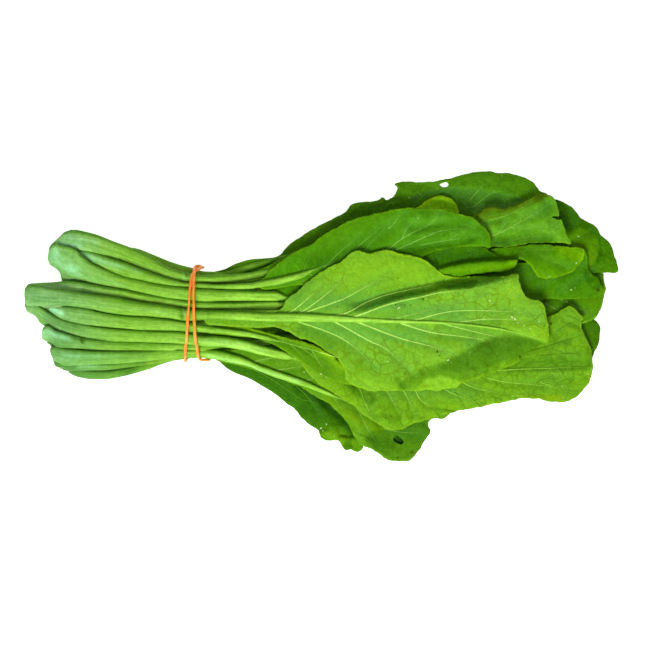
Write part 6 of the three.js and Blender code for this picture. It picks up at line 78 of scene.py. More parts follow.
    'B2': [(24, 12.03, 35.38, 6.33, 2.86, 0), (28, 12.08, 35.32, 6.38, 2.86, 0), (32, 12.14, 35.25, 6.44, 2.86, 0), (36, 11.96, 35.17, 6.26, 2.86, 0), (40, 11.78, 35.08, 6.08, 2.86, 0), (44, 11.56, 34.96, 5.83, 2.87, 0), (48, 11.30, 34.83, 5.51, 2.89, 0), (52, 11.11, 34.68, 5.23, 2.91, 0), (56, 11.00, 34.52, 4.98, 2.94, 0), (60, 10.89, 34.33, 4.73, 2.94, 0), (64, 10.64, 34.12, 4.62, 2.95, 0), (68, 10.39, 33.90, 4.50, 2.96, 0), (72, 10.10, 33.68, 4.41, 2.96, 0), (76, 9.79, 33.45, 4.35, 2.96, 0), (80, 9.48, 33.21, 4.29, 2.96, 0), (84, 9.14, 32.97, 4.29, 2.96, 0), (88, 8.78, 32.73, 4.32, 2.96, 0), (92, 8.42, 32.50, 4.35, 2.96, 0), (96, 8.03, 32.26, 4.44, 2.96, 0), (100, 7.60, 32.02, 4.62, 2.96, 0), (104, 7.18, 31.79, 4.79, 2.96, 0), (108, 6.85, 31.56, 4.82, 2.96, 0), (112, 6.52, 31.33, 4.86, 2.96, 0), (116, 6.17, 31.11, 4.84, 2.96, 0), (120, 5.80, 30.89, 4.78, 2.96, 0), (124, 5.42, 30.67, 4.72, 2.96, 0), (128, 5.14, 30.45, 4.59, 2.95, 0), (132, 4.88, 30.23, 4.44, 2.94, 0), (136, 4.62, 30.02, 4.28, 2.93, 0), (140, 4.36, 29.80, 4.13, 2.92, 0), (144, 4.14, 29.59, 4.01, 2.91, 0), (148, 3.93, 29.37, 3.88, 2.90, 0), (152, 3.69, 29.15, 3.82, 2.89, 0), (156, 3.43, 28.93, 3.84, 2.88, 0), (160, 3.16, 28.71, 3.85, 2.87, 0), (164, 2.88, 28.48, 3.74, 2.87, 0), (168, 2.59, 28.24, 3.64, 2.86, 0), (172, 2.23, 28.00, 3.60, 2.84, 0), (176, 1.80, 27.76, 3.62, 2.82, 0), (180, 1.37, 27.52, 3.65, 2.81, 0), (184, 1.07, 27.30, 3.61, 2.79, 0), (188, 0.85, 27.08, 3.55, 2.78, 0), (192, 0.85, 26.88, 3.38, 2.76, 0), (196, 0.87, 26.70, 3.22, 2.74, 0), (200, 0.93, 26.52, 3.11, 2.72, 0), (204, 0.98, 26.36, 3.00, 2.70, 0), (208, 1.00, 26.21, 2.94, 2.68, 0), (212, 1.03, 26.07, 2.87, 2.67, 0), (216, 1.03, 25.96, 2.66, 2.65, 0), (220, 0.93, 25.89, 2.68, 2.63, 0), (224, 0.82, 25.87, 2.71, 2.61, 0), (228, 0.72, 25.91, 2.74, 2.59, 0), (232, 0.62, 26.00, 2.76, 2.57, 0), (236, 0.52, 26.11, 2.79, 2.55, 0), (240, 0.41, 26.23, 2.82, 2.53, 0), (244, 0.31, 26.34, 2.84, 2.51, 0), (248, 0.20, 26.43, 2.82, 2.49, 0), (252, 0.09, 26.49, 2.78, 2.47, 0), (256, -0.03, 26.52, 2.75, 2.45, 0), (260, -0.14, 26.53, 2.71, 2.43, 0), (264, -0.17, 26.52, 2.71, 2.41, 0), (268, -0.20, 26.48, 2.71, 2.40, 0), (272, -0.23, 26.42, 2.71, 2.38, 0), (276, -0.26, 26.33, 2.71, 2.36, 0), (280, -0.28, 26.23, 2.71, 2.34, 0), (284, -0.31, 26.11, 2.71, 2.32, 0), (288, -0.34, 25.99, 2.71, 2.30, 0), (292, -0.37, 25.85, 2.71, 2.28, 0), (296, -0.40, 25.72, 2.71, 2.26, 0), (300, -0.43, 25.58, 2.71, 2.23, 0), (316, -0.78, 24.99, 2.49, 2.03, 0), (332, -1.13, 24.39, 2.27, 1.87, 0), (348, -1.68, 23.78, 1.92, 1.70, 0), (364, -2.19, 23.28, 1.58, 1.52, 0), (380, -2.53, 22.88, 1.36, 1.33, 0), (396, -2.88, 22.49, 1.14, 1.14, 0), (412, -3.02, 22.14, 1.08, 1.08, 0), (428, -3.25, 21.79, 1.00, 1.00, 0), (444, -3.61, 21.33, 0.94, 0.94, 0), (460, -4.37, 20.83, 0.88, 0.88, 0), (476, -5.36, 20.33, 0.82, 0.82, 0), (492, -6.73, 19.79, 0.76, 0.76, 0), (508, -8.09, 19.26, 0.71, 0.71, 0), (524, -10.54, 18.72, 0.65, 0.65, 0), (540, -13.15, 18.72, 0.65, 0.65, 0)],
}
LATTICE = {
    'D4': (4, 3, [[-1, -1, 382, 156, 0], [-1, 300, 335, 138, 0], [-1, 266, 286, 98, 0], [-1, 214, 226, 34, 0], [133, 154, 159, 0, 0], [117, 121, 123, 0, -1], [109, 117, 110, 0, -1], [0, 108, 0, 0, -1], [0, 0, 0, 0, -1], [0, 0, 0, 0, -1], [0, 0, 0, 0, -1], [0, 0, 0, 0, -1], [0, 0, 0, 0, -1], [0, 0, 0, 0, -1], [0, 0, 0, 0, -1], [-1, 0, 0, -1, -1]]),
    'E4': (4, 4, [[-1, -1, 552, 269, 0], [-1, 466, 486, 270, 0], [-1, 448, 429, 268, 0], [-1, 429, 324, 252, 0], [-1, 391, 244, 225, 0], [358, 361, 222, 177, 0], [355, 347, 205, 0, 0], [345, 331, 223, 0, 0], [335, 312, 233, 0, 0], [325, 301, 233, 0, 0], [314, 290, 234, 0, -1], [303, 280, 234, 0, -1], [289, 271, 234, 0, -1], [268, 255, 233, 0, -1], [257, 246, 232, 0, -1], [-1, 238, 167, 0, -1]]),
    'C3': (4, 6, [[-1, 548, 456, -1, -1, -1], [605, 558, 395, 225, -1, -1], [595, 588, 336, 163, -1, -1], [508, 511, 309, 0, -1, -1], [451, 454, 279, 0, -1, -1], [428, 411, 262, 98, 0, -1], [405, 348, 242, 113, 0, -1], [449, 301, 233, 122, 0, -1], [-1, 250, 222, 105, 0, -1], [-1, 233, 205, 0, 0, -1], [-1, 230, 144, 0, 0, -1], [-1, 229, 106, 0, 0, 0], [-1, 225, 0, 0, 0, 0], [-1, 224, 0, 0, 0, 0], [-1, -1, 0, 0, 0, 0], [-1, -1, 0, 0, 0, -1]]),
    'E3': (4, 6, [[-1, 673, 845, 360], [-1, 660, 822, 360], [-1, 763, 805, 330], [688, 744, 745, 287], [657, 693, 638, 254], [633, 646, 564, 394], [606, 586, 494, 376], [677, 536, 467, 360], [552, 486, 446, 341], [496, 465, 423, 311], [476, 461, 376, 293], [471, 457, 339, 292], [471, 451, 304, 274], [466, 449, 278, 249], [464, 374, 248, 235], [405, 336, 239, -1]]),
    'D3': (4, 2, [[-1, -1, 701, 714, 661, 780], [-1, -1, 695, 746, 707, 762], [-1, 565, 657, 734, 789, -1], [-1, 557, 635, 718, 869, -1], [-1, 535, 604, 686, 865, -1], [-1, 502, 596, 683, 840, -1], [530, 537, 593, 671, 807, -1], [534, 547, 583, 608, -1, -1], [-1, 557, 572, 566, -1, -1], [-1, 557, 563, 549, -1, -1], [-1, 554, 552, 532, -1, -1]]),
    'C2': (4, 5, [[-1, 959, 1155, -1], [992, 908, 1363, 952], [974, 1014, 1028, 1102], [926, 1051, 947, 964], [914, 1074, 925, 863], [964, 1048, 889, 798], [941, 1009, 835, 728], [861, 907, 770, 700], [804, 831, 719, 673], [787, 783, 696, 648], [770, 738, 691, 607], [736, 726, 689, 569], [713, 708, 680, 538], [697, 700, 676, 513], [680, 698, 612, 484], [646, 643, 574, 476], [618, 592, 517, 435]]),
    'E2': (4, 8, [[1010, 486, 174, 183, -1, -1], [1054, 512, 241, 201, 180, -1], [-1, 496, 250, 181, 166, -1], [-1, 489, 252, 183, 144, 127], [-1, 482, 233, 174, 134, 114], [-1, -1, 237, 151, 103, 89], [-1, -1, 229, 120, 71, 64], [-1, -1, -1, 76, 47, 50]]),
    'C1': (4, 6, [[1473, 1507, -1, -1, -1], [1437, 1505, -1, -1, -1], [1345, 1441, 1204, -1, -1], [1306, 1321, 1167, -1, -1], [1292, 1212, 1088, -1, -1], [1267, 1135, 1033, -1, -1], [1230, 1070, 962, 613, -1], [1144, 1004, 935, 597, -1], [1068, 951, 901, 576, -1], [1020, 921, 875, 547, -1], [977, 926, 837, 528, 328], [964, 923, 798, 523, 340], [946, 912, 772, 506, 344], [938, 912, 749, 486, 345], [-1, 850, 721, 470, 347], [-1, 811, 713, 445, 355], [-1, 755, 673, 437, 363], [-1, -1, 553, 438, -1]]),
    'A4': (4, 8, [[1112, 814, 691, -1, -1, -1, -1], [1156, 778, 642, -1, -1, -1, -1], [1306, 769, 600, 545, -1, -1, -1], [-1, 693, 567, 509, -1, -1, -1], [-1, 712, 507, 445, -1, -1, -1], [-1, 674, 474, 408, 341, -1, -1], [-1, 851, 457, 373, 309, -1, -1], [-1, 835, 440, 362, 285, -1, -1], [-1, 811, 477, 333, 265, -1, -1], [-1, 784, 524, 332, 247, 180, -1], [-1, 763, 566, 349, 240, 167, -1], [-1, 755, 578, 357, 243, 178, -1], [-1, 739, 582, 374, 228, 179, -1], [-1, 721, 583, 388, 229, 179, 151], [-1, 705, 585, 399, 239, 194, 164], [-1, 682, 593, 419, 312, 261, -1], [-1, 675, 601, 458, 363, 304, -1], [-1, 676, 579, 476, 412, -1, -1]]),
    'A1b': (3, 9, [[1142, 1250, 1119, -1, -1, -1, -1], [992, 1058, 997, -1, -1, -1, -1], [881, 1023, 867, 783, -1, -1, -1], [892, 905, 792, 716, 658, -1, -1], [-1, 793, 731, 662, 617, -1, -1], [-1, 732, 677, 615, 558, 515, -1], [-1, 699, 645, 579, 519, 489, -1], [-1, 680, 611, 547, 485, 458, -1], [-1, 659, 599, 523, 457, 425, -1], [-1, -1, 571, 503, 432, 386, 356], [-1, -1, 569, 485, 418, 368, 344], [-1, -1, 587, 478, 405, 358, 338], [-1, -1, 594, 481, 416, 362, 339], [-1, -1, -1, 466, 417, 370, 347], [-1, -1, -1, 467, 417, 389, 359], [-1, -1, -1, 477, 432, 402, -1]]),
    'E1': (4, 8, [[1214, 1098, 1346, -1, -1, -1, -1], [1258, 989, 1248, 1207, -1, -1, -1], [-1, 1102, 1125, 1109, -1, -1, -1], [-1, 1021, 1041, 1017, 953, -1, -1], [-1, 943, 956, 937, 906, -1, -1], [-1, -1, 924, 883, 849, 802, -1], [-1, -1, 903, 849, 801, 770, -1], [-1, -1, 876, 836, 771, 728, 701], [-1, -1, -1, 808, 746, 698, 687], [-1, -1, -1, 806, 734, 697, 685], [-1, -1, -1, -1, 716, 699, -1]]),
    'B5': (4, 7, [[1635, 1451, 1592, -1, -1], [1638, 1462, 1424, -1, -1], [1606, 1439, 1321, -1, -1], [1525, 1371, 1234, -1, -1], [1444, 1313, 1174, 1181, -1], [1372, 1267, 1128, 1150, -1], [1307, 1210, 1100, 1126, -1], [1232, 1169, 1077, 1094, -1], [1180, 1137, 1045, 976, -1], [1144, 1109, 1019, 927, -1], [1163, 1073, 997, 888, -1], [1158, 1041, 987, 880, 832], [1145, 1008, 972, 874, 831], [-1, 985, 956, 875, 833], [-1, 960, 939, 869, 834], [-1, 949, 919, 859, 834], [-1, 929, 913, 856, 841]]),
    'D2': (3, 1, [[-1, -1, 891, 930, 1106, 1344], [-1, -1, 871, 938, 1146, 1594], [-1, 746, 819, 963, 1186, 1560], [633, 697, 808, 948, 1185, 1502], [596, 673, 776, 934, 1131, -1], [590, 632, 768, 912, 1143, -1], [582, 628, 739, 833, -1, -1]]),
    'D1': (3, 0, [[-1, -1, -1, -1, 1514, 1607, 1758, 1775], [-1, -1, -1, -1, 1432, 1544, 1717, 1796], [-1, -1, -1, 1248, 1345, 1467, 1684, 1773], [-1, -1, -1, 1174, 1275, 1409, 1660, -1], [-1, 891, 948, 1083, 1204, 1366, 1512, -1], [-1, 860, 909, 1021, 1160, 1372, 1514, -1], [770, 820, 866, 976, 1112, 1292, 1489, -1], [746, 773, 821, 927, 1055, 1220, 1455, -1], [731, 753, 804, 886, 987, 1099, -1, -1], [728, 748, 796, 857, 936, 1042, -1, -1], [-1, -1, 811, 842, 883, -1, -1, -1]]),
    'B1': (3, 7, [[1926, 1931, 1708, -1, -1], [1926, 1924, 1719, -1, -1], [1910, 1900, 1714, -1, -1], [1829, 1833, 1673, -1, -1], [1755, 1766, 1566, 1437, -1], [1679, 1680, 1486, 1405, -1], [1610, 1582, 1430, 1375, -1], [1544, 1494, 1369, 1349, -1], [1460, 1410, 1326, 1313, -1], [1410, 1375, 1280, 1213, 1117], [1367, 1347, 1253, 1165, 1088], [-1, 1311, 1234, 1125, 1064], [-1, 1279, 1224, 1117, 1069], [-1, 1243, 1208, 1112, 1069], [-1, -1, 1193, 1113, 1071], [-1, -1, 1177, 1107, 1072], [-1, -1, 1157, 1097, 1072], [-1, -1, -1, 1094, 1079]]),
    'A1': (3, 9, [[1836, 1733, -1, -1, -1, -1], [1846, 1713, 1656, -1, -1, -1], [1851, 1687, 1621, -1, -1, -1], [1840, 1664, 1560, 1499, -1, -1], [1766, 1642, 1516, 1468, -1, -1], [1707, 1631, 1486, 1437, -1, -1], [1658, 1601, 1453, 1403, -1, -1], [1603, 1574, 1421, 1364, -1, -1], [1557, 1534, 1386, 1309, 1260, -1], [1517, 1451, 1355, 1277, 1239, -1], [1487, 1402, 1326, 1255, 1218, -1], [-1, 1361, 1302, 1226, 1196, -1], [-1, 1352, 1307, 1216, 1180, -1], [-1, 1350, 1307, 1205, 1159, 1140], [-1, 1350, 1309, 1221, 1165, 1142], [-1, 1345, 1310, 1236, 1175, 1149], [-1, 1335, 1310, 1267, -1, -1]]),
    'A3': (4, 8, [[2258, 2110, 2051, -1], [2210, 2058, 2008, -1], [2105, 2008, 1940, 1870], [2003, 1966, 1898, 1822], [1928, 1929, 1861, 1760], [1871, 1886, 1832, 1710], [1822, 1837, 1804, 1679], [1779, 1789, 1757, 1644], [1747, 1753, 1689, 1612], [1729, 1722, 1640, 1577], [-1, 1632, 1596, 1541], [-1, 1595, 1587, 1548], [-1, 1585, 1587, 1561]]),
    'B4': (4, 2, [[-1, -1, -1, 1913, 1976, -1, -1], [-1, -1, 1719, 1828, 1898, -1, -1], [-1, 1549, 1629, 1734, 1824, -1, -1], [-1, 1491, 1555, 1656, 1749, -1, -1], [1342, 1405, 1487, 1602, 1738, -1, -1], [1303, 1346, 1427, 1546, 1714, -1, -1], [1259, 1293, 1370, 1488, 1682, -1, -1], [1214, 1244, 1314, 1423, 1566, 1689, -1], [1174, 1199, 1261, 1359, 1492, 1640, -1], [1141, 1159, 1211, 1299, 1425, 1590, -1], [1122, 1124, 1166, 1239, 1342, 1439, -1], [-1, 1091, 1122, 1189, 1287, 1395, -1], [-1, 1055, 1080, 1137, 1242, 1380, 1479], [-1, 1021, 1042, 1091, 1176, 1262, 1321], [-1, 995, 1009, 1044, 1113, 1178, 1227], [-1, 984, 990, 1011, 1063, 1123, 1187], [-1, -1, 991, 1008, 1044, 1079, -1]]),
    'A2': (3, 8, [[2529, 2538, 2418, -1, -1, -1], [2529, 2493, 2309, 2224, -1, -1], [2439, 2417, 2227, 2163, -1, -1], [2329, 2329, 2177, 2075, 1988, -1], [2231, 2241, 2131, 2027, 1931, 1874], [-1, 2177, 2093, 1992, 1894, 1848], [-1, 2122, 2065, 1948, 1860, 1821], [-1, 2074, 2036, 1917, 1833, 1796], [-1, 2025, 1991, 1881, 1806, 1774], [-1, -1, 1926, 1850, 1782, 1754], [-1, -1, 1877, 1815, 1760, 1738], [-1, -1, 1834, 1778, 1740, 1730], [-1, -1, 1823, 1786, 1755, -1]]),
    'B3': (3, 4, [[-1, -1, 2397, 2314], [-1, 2273, 2289, 2226], [-1, 2168, 2177, 2131], [1964, 2037, 2078, 2059], [1909, 1952, 2009, 2026], [1842, 1882, 1967, -1], [1791, 1834, 1944, -1], [1746, 1795, 1913, 1912], [1696, 1738, 1828, 1920], [1642, 1675, 1761, 1872], [1586, 1618, 1699, 1815], [1551, 1561, 1628, 1688], [1535, 1551, 1592, 1632], [1532, 1547, 1580, 1616]]),
    'B2': (3, 3, [[-1, -1, -1, -1, 2561, 2657, -1, -1, -1], [-1, -1, -1, 2566, 2568, 2653, 2760, -1, -1], [-1, -1, -1, 2462, 2490, 2574, 2645, 2636, -1], [-1, -1, 2269, 2352, 2414, 2497, 2517, 2513, -1], [-1, 2126, 2196, 2273, 2342, 2433, 2446, 2404, 2347], [2020, 2075, 2133, 2209, 2274, 2352, 2409, 2348, 2313], [1988, 2029, 2088, 2181, 2231, 2288, 2359, 2305, 2277], [1949, 1984, 2044, 2149, 2187, 2236, 2311, 2273, 2244], [1908, 1934, 1988, 2069, 2152, 2180, 2262, 2228, 2208], [1877, 1894, 1940, 2013, 2104, 2115, 2146, 2163, 2177], [1860, 1865, 1901, 1965, 2042, 2037, 2072, 2114, -1], [-1, 1846, 1868, 1920, 1979, 1986, 2019, 2071, -1], [-1, 1832, 1836, 1863, 1917, 1934, 1975, 2060, -1], [-1, -1, 1811, 1819, 1853, 1877, 1914, 1980, -1], [-1, -1, 1798, 1799, 1815, 1831, 1849, -1, -1], [-1, -1, -1, 1792, 1799, 1810, 1822, -1, -1]]),
}
MIDRIBS = {
    'D4': [(60, 360), (90, 362), (125, 358), (165, 348), (204, 337), (240, 340), (290, 352), (350, 368), (420, 380), (490, 384), (550, 380)],
    'E4': [(62, 304), (90, 309), (125, 314), (165, 318), (204, 322), (240, 326), (300, 334), (360, 342), (430, 352), (500, 356), (555, 352)],
    'C3': [(50, 340), (80, 342), (125, 340), (165, 332), (204, 322), (240, 318), (290, 316), (350, 312), (420, 303), (490, 292), (555, 282)],
    'E3': [(66, 298), (90, 302), (125, 306), (165, 309), (204, 311), (240, 310), (300, 308), (360, 308), (430, 312), (500, 318), (560, 322)],
    'D3': [(66, 368.5), (77, 372.3), (94, 374.3), (125, 371.6), (150, 365), (175, 357), (204, 350), (240, 352), (280, 362), (330, 378), (390, 392), (450, 392)],
    'C2': [(47, 345), (60, 346), (81, 347.5), (101, 348.8), (125, 349.6), (150, 349), (180, 344), (204, 338), (240, 336), (290, 338), (350, 342), (430, 345), (510, 344), (592, 342)],
    'E2': [(66, 286), (90, 290), (125, 296), (165, 301), (204, 303), (235, 296), (265, 282), (300, 262), (335, 238), (375, 212)],
    'C1': [(44, 334), (60, 338.5), (81, 341.5), (101, 344.4), (125, 345.6), (150, 346.3), (180, 347.6), (200, 347.5), (240, 345), (290, 340), (350, 330), (430, 316), (510, 305), (600, 298)],
    'A4': [(56, 264), (80, 270), (105, 278), (140, 285), (180, 288), (204, 290), (240, 286), (280, 278), (330, 266), (400, 256), (470, 248), (530, 244), (600, 246)],
    'A1b': [(72, 240), (110, 248), (142, 256), (160, 263), (180, 269.5), (200, 274), (230, 272.5), (265, 266), (300, 251), (350, 229), (400, 212), (450, 203), (500, 196)],
    'E1': [(64, 281), (90, 285), (125, 290), (165, 295), (204, 298), (240, 293), (280, 283), (320, 268), (365, 245), (410, 220), (445, 198)],
    'B5': [(30, 300), (60, 304), (100, 308), (140, 309), (180, 308), (204, 305), (240, 302), (290, 299), (350, 296), (420, 292), (500, 289), (590, 291)],
    'D2': [(56, 366), (77, 367.5), (94, 367), (125, 365), (150, 361), (175, 357), (204, 353.5), (235, 360), (265, 371), (300, 392), (330, 414), (348, 440)],
    'D1': [(60, 356), (81, 357.9), (94, 358), (125, 357.2), (150, 356), (185, 354), (203, 354), (225, 358.5), (250, 365.5), (275, 374), (300, 383), (325, 392), (352, 404), (380, 424), (405, 446)],
    'B1': [(36, 287), (60, 286), (81, 287.5), (104, 291), (125, 294.5), (150, 299), (170, 302.3), (190, 304.8), (203, 305.5), (240, 305.5), (278, 304), (330, 294), (400, 279), (450, 266), (500, 256), (535, 254), (572, 256)],
    'A1': [(66, 238), (87, 241.4), (104, 246.5), (118, 252), (130, 256.2), (150, 263.5), (170, 272.5), (187, 277.6), (203, 279.2), (230, 279.5), (250, 277), (267, 272), (300, 264), (350, 255), (400, 250), (450, 244), (492, 236), (520, 220), (546, 206)],
    'A3': [(50, 259), (60, 262), (71, 264), (81, 268.7), (91, 274), (107, 279), (125, 283.3), (150, 288.5), (170, 292), (190, 294), (203, 295), (240, 295.5), (277, 296), (320, 292), (370, 282), (420, 272), (470, 267), (510, 263)],
    'B4': [(34, 317), (43, 318), (60, 325), (81, 330.4), (101, 333.2), (125, 335), (150, 336.3), (180, 337.5), (199, 339.8), (210, 342), (250, 348.5), (285, 356), (298, 359), (340, 367), (400, 374), (450, 374), (503, 369), (550, 367.5), (590, 367)],
    'A2': [(60, 250), (81, 253), (91, 257.4), (101, 261.3), (118, 267), (140, 274), (160, 280), (180, 284.3), (200, 285.8), (215, 287), (250, 286), (280, 281), (300, 275.5), (323, 266), (360, 256), (397, 249.5), (440, 241), (480, 240)],
    'B3': [(28, 308), (45, 309), (60, 311.6), (81, 315), (101, 319), (125, 321.6), (150, 323), (170, 324.4), (190, 327), (203, 328.5), (250, 334), (290, 343.5), (320, 352), (360, 364), (420, 374), (480, 376)],
    'B2': [(26, 294.5), (42, 295.8), (60, 297.3), (81, 300), (101, 303.5), (125, 307), (150, 309.6), (170, 312), (185, 314.6), (200, 314.8), (215, 314.5), (245, 316.5), (300, 317.3), (340, 318.8), (400, 321.5), (440, 322.5), (470, 325), (510, 331), (545, 341)],
}
OUTLINES = {
    'D4': [(256, 341), (300, 342), (350, 350), (410, 358), (480, 362), (540, 362), (566, 370), (572, 380), (560, 392), (530, 397), (480, 402), (430, 402), (370, 396), (320, 380), (285, 362), (258, 347)],
    'E4': [(260, 326), (310, 322), (360, 320), (430, 324), (490, 332), (545, 340), (570, 350), (572, 360), (555, 368), (510, 376), (450, 378), (390, 370), (330, 356), (290, 344), (262, 333)],
    'C3': [(256, 318), (300, 306), (350, 294), (410, 281), (470, 270), (520, 262), (550, 262), (568, 270), (572, 282), (560, 296), (530, 306), (480, 318), (420, 326), (360, 330), (300, 328), (258, 323)],
    'E3': [(256, 309), (300, 296), (350, 288), (420, 286), (490, 294), (545, 304), (572, 318), (578, 328), (565, 338), (530, 344), (470, 344), (410, 338), (350, 328), (300, 320), (258, 314)],
    'D3': [(250, 353), (280, 348), (320, 352), (370, 364), (420, 376), (440, 384), (446, 398), (434, 410), (426, 418), (424, 432), (416, 446), (404, 454), (388, 450), (372, 430), (352, 410), (320, 392), (285, 376), (252, 358)],
    'C2': [(254, 336), (300, 328), (350, 322), (420, 320), (490, 318), (550, 314), (585, 318), (594, 319), (600, 326), (600, 333), (598, 345), (594, 354), (590, 360), (570, 366), (520, 368), (460, 368), (400, 365), (340, 358), (290, 347), (256, 341)],
    'E2': [(238, 292), (262, 276), (285, 258), (300, 246), (320, 232), (345, 218), (370, 209), (385, 206), (400, 210), (408, 222), (400, 238), (380, 252), (350, 264), (315, 276), (280, 288), (245, 298)],
    'C1': [(250, 344), (290, 334), (340, 322), (400, 305), (460, 290), (520, 278), (570, 272), (602, 272), (604, 280), (606, 288), (603, 300), (600, 312), (594, 319), (580, 324), (540, 326), (480, 330), (420, 334), (350, 342), (300, 347), (252, 348)],
    'A4': [(258, 287), (270, 280), (290, 272), (330, 258), (380, 243), (440, 226), (500, 212), (540, 202), (556, 199.5), (570, 206), (577, 213), (581, 218), (595, 226), (601, 235), (608, 241), (612, 247), (614, 256), (617, 262), (618, 272), (602, 272.5), (585, 275), (550, 276), (500, 278), (440, 280), (380, 280), (320, 283), (285, 289), (262, 292)],
    'A1b': [(206, 273), (215, 271.5), (225, 269), (235, 264), (250, 259.5), (262, 258.5), (275, 257), (281, 254), (285, 249), (290, 244), (300, 237), (320, 225), (345, 212), (352, 204), (365, 202), (378, 200), (383, 197), (386, 200), (393, 197), (396, 192), (397, 187), (394, 184.5), (400, 182), (420, 182), (434, 181.6), (442, 179.6), (450, 178.2), (460, 175.6), (475, 172), (490, 171.5), (497, 173), (508, 173), (525, 178), (533, 182), (540, 191), (545, 193), (548, 196), (540, 206), (520, 214), (490, 224), (450, 234), (400, 243), (350, 253), (300, 266), (270, 272), (240, 276), (208, 277)],
    'E1': [(250, 288), (275, 275), (300, 262), (330, 247), (365, 228), (400, 213), (417, 207), (430, 199), (440, 195.5), (450, 198), (457, 206), (459, 213), (450, 224), (430, 236), (400, 246), (360, 258), (320, 270), (290, 283), (265, 291)],
    'B5': [(274, 299), (310, 292), (360, 285), (420, 278), (480, 268), (530, 262), (570, 258), (585, 251.5), (588, 258), (588, 266), (592, 274), (598, 279), (603, 288), (602, 294), (596, 297.5), (580, 299), (560, 299), (540, 300), (520, 304), (480, 310), (430, 312), (370, 312), (310, 308), (276, 306)],
    'D2': [(209, 355), (218, 360.5), (225, 367), (233, 372), (250, 379), (262, 386), (275, 394), (285, 402), (295, 410), (303, 419), (310, 425), (317, 430), (322, 438), (330, 441), (337, 440), (345, 450), (350, 449), (356, 452), (361, 451), (365, 440), (368, 425), (360, 408), (345, 394), (325, 382), (300, 371), (270, 362), (240, 356), (225, 354)],
    'D1': [(215, 352), (240, 349), (270, 346), (300, 350), (330, 358), (370, 366), (410, 378), (440, 392), (455, 405), (445, 418), (431, 419), (428, 425), (431, 430), (425, 440), (418, 452), (410, 460), (392, 461), (385, 459), (380, 454), (368, 448), (361, 445), (352, 432), (345, 420), (330, 405), (315, 396), (300, 387), (270, 375), (240, 366), (215, 359)],
    'B1': [(262, 302), (290, 294), (330, 284), (380, 272), (430, 260), (480, 251), (505, 247), (521, 246), (533, 244), (550, 245), (571, 247), (585, 250), (584, 257), (580, 264), (573, 271), (566, 275), (555, 277.5), (545, 278.5), (538, 277), (534.5, 273), (532.5, 268), (528, 263), (519, 258.8), (505, 262), (480, 266), (450, 274), (400, 290), (350, 302), (300, 308), (265, 309)],
    'A1': [(258, 272), (268, 266), (285, 256), (305, 247), (340, 236), (400, 224), (440, 218), (470, 216), (480, 213), (484, 209), (494, 207), (503, 208.5), (520, 204), (532, 197), (540, 194.5), (548, 194.5), (553, 197), (556, 201), (558.5, 209), (559, 216), (561, 218), (564, 226), (567, 235), (571, 243), (560, 243), (540, 242.5), (520, 245), (500, 247.5), (491, 247), (470, 255), (440, 264), (400, 270), (350, 275), (310, 277), (280, 279), (262, 279)],
    'A3': [(272, 293), (281, 284), (292, 280), (300, 278), (309, 276), (330, 262), (355, 250), (385, 244), (420, 243), (450, 243), (478, 245), (490, 251), (505, 260), (519, 259), (515, 266), (508, 271), (490, 272), (470, 275), (450, 280), (430, 290), (400, 298), (370, 303), (340, 305), (310, 303), (293, 300), (276, 299)],
    'B4': [(276, 351), (285, 353), (298, 354), (320, 352), (360, 350), (410, 350), (460, 346), (500, 336), (530, 325), (548, 317), (560, 311), (570, 306), (578, 312), (584, 318), (581, 322), (584, 334), (590, 345), (592, 357), (593, 370), (590, 380), (585, 388), (578, 396), (570, 400.5), (556, 402.5), (545, 401), (540, 399), (520, 399), (500, 403), (470, 409), (450, 413), (430, 419), (415, 423), (400, 430), (385, 428), (375, 422), (360, 412), (352, 405), (335, 394), (318, 383), (305, 370), (298, 361), (276, 358)],
    'A2': [(256, 284), (265, 277), (268, 272), (275, 266), (285, 258), (297, 251), (310, 245), (322, 236), (330, 231), (345, 223), (360, 217), (380, 213), (395, 209), (420, 208), (440, 209), (460, 214), (475, 219), (482, 225), (488, 232), (491, 240), (490, 247), (478, 246), (460, 247), (440, 250), (428, 254), (415, 262), (395, 270), (370, 278), (345, 283), (320, 286), (300, 285), (280, 288), (262, 289)],
    'B3': [(206, 329), (240, 326), (248, 327), (262, 331), (280, 336), (300, 341), (315, 345), (325, 351), (334, 357), (345, 362), (370, 355), (410, 345), (450, 342), (490, 345), (515, 352), (520, 360), (505, 368), (480, 378), (450, 385), (410, 388), (380, 388), (350, 385), (330, 380), (315, 372), (303, 364), (298, 360), (286, 352), (272, 344), (255, 337.4), (250, 337.4), (243, 336.9), (236, 336.2), (230, 335.4), (222, 334.6), (214, 334), (207, 332.6)],
    'B2': [(204, 315), (230, 314.5), (252, 315), (262, 314), (270, 312.5), (277, 311), (283, 307), (286, 300), (295, 293), (303, 286), (310, 280), (315, 276), (322, 271), (330, 267), (340, 262), (345, 258), (352, 252), (358, 251), (370, 253), (385, 250), (400, 253), (420, 258), (430, 263), (437, 270), (445, 275), (462, 277), (480, 276), (500, 277), (518, 274), (519, 280), (522, 290), (530, 299), (540, 301), (545, 308), (547, 318), (549, 333), (547, 343.5), (540, 344.5), (535, 348), (529, 351), (522, 354.5), (515, 358.5), (507, 361), (504, 366), (498, 369), (491, 373.5), (482, 375.5), (477, 379), (466, 378.5), (462, 382), (458, 386.5), (448, 388.5), (438, 391), (427, 389.5), (416, 391.5), (404, 390.5), (385, 391), (372, 391), (360, 388), (352, 385), (346, 380), (345, 372), (341, 364), (337, 358), (330, 353), (320, 347), (310, 341), (300, 338), (290, 333), (275, 327), (268, 327.4), (260, 327.8), (253, 327.8), (246, 327.6), (240, 327.2), (234, 326.8), (228, 326.3), (221, 325.8), (215, 325.3), (209, 325), (205, 322)],
}
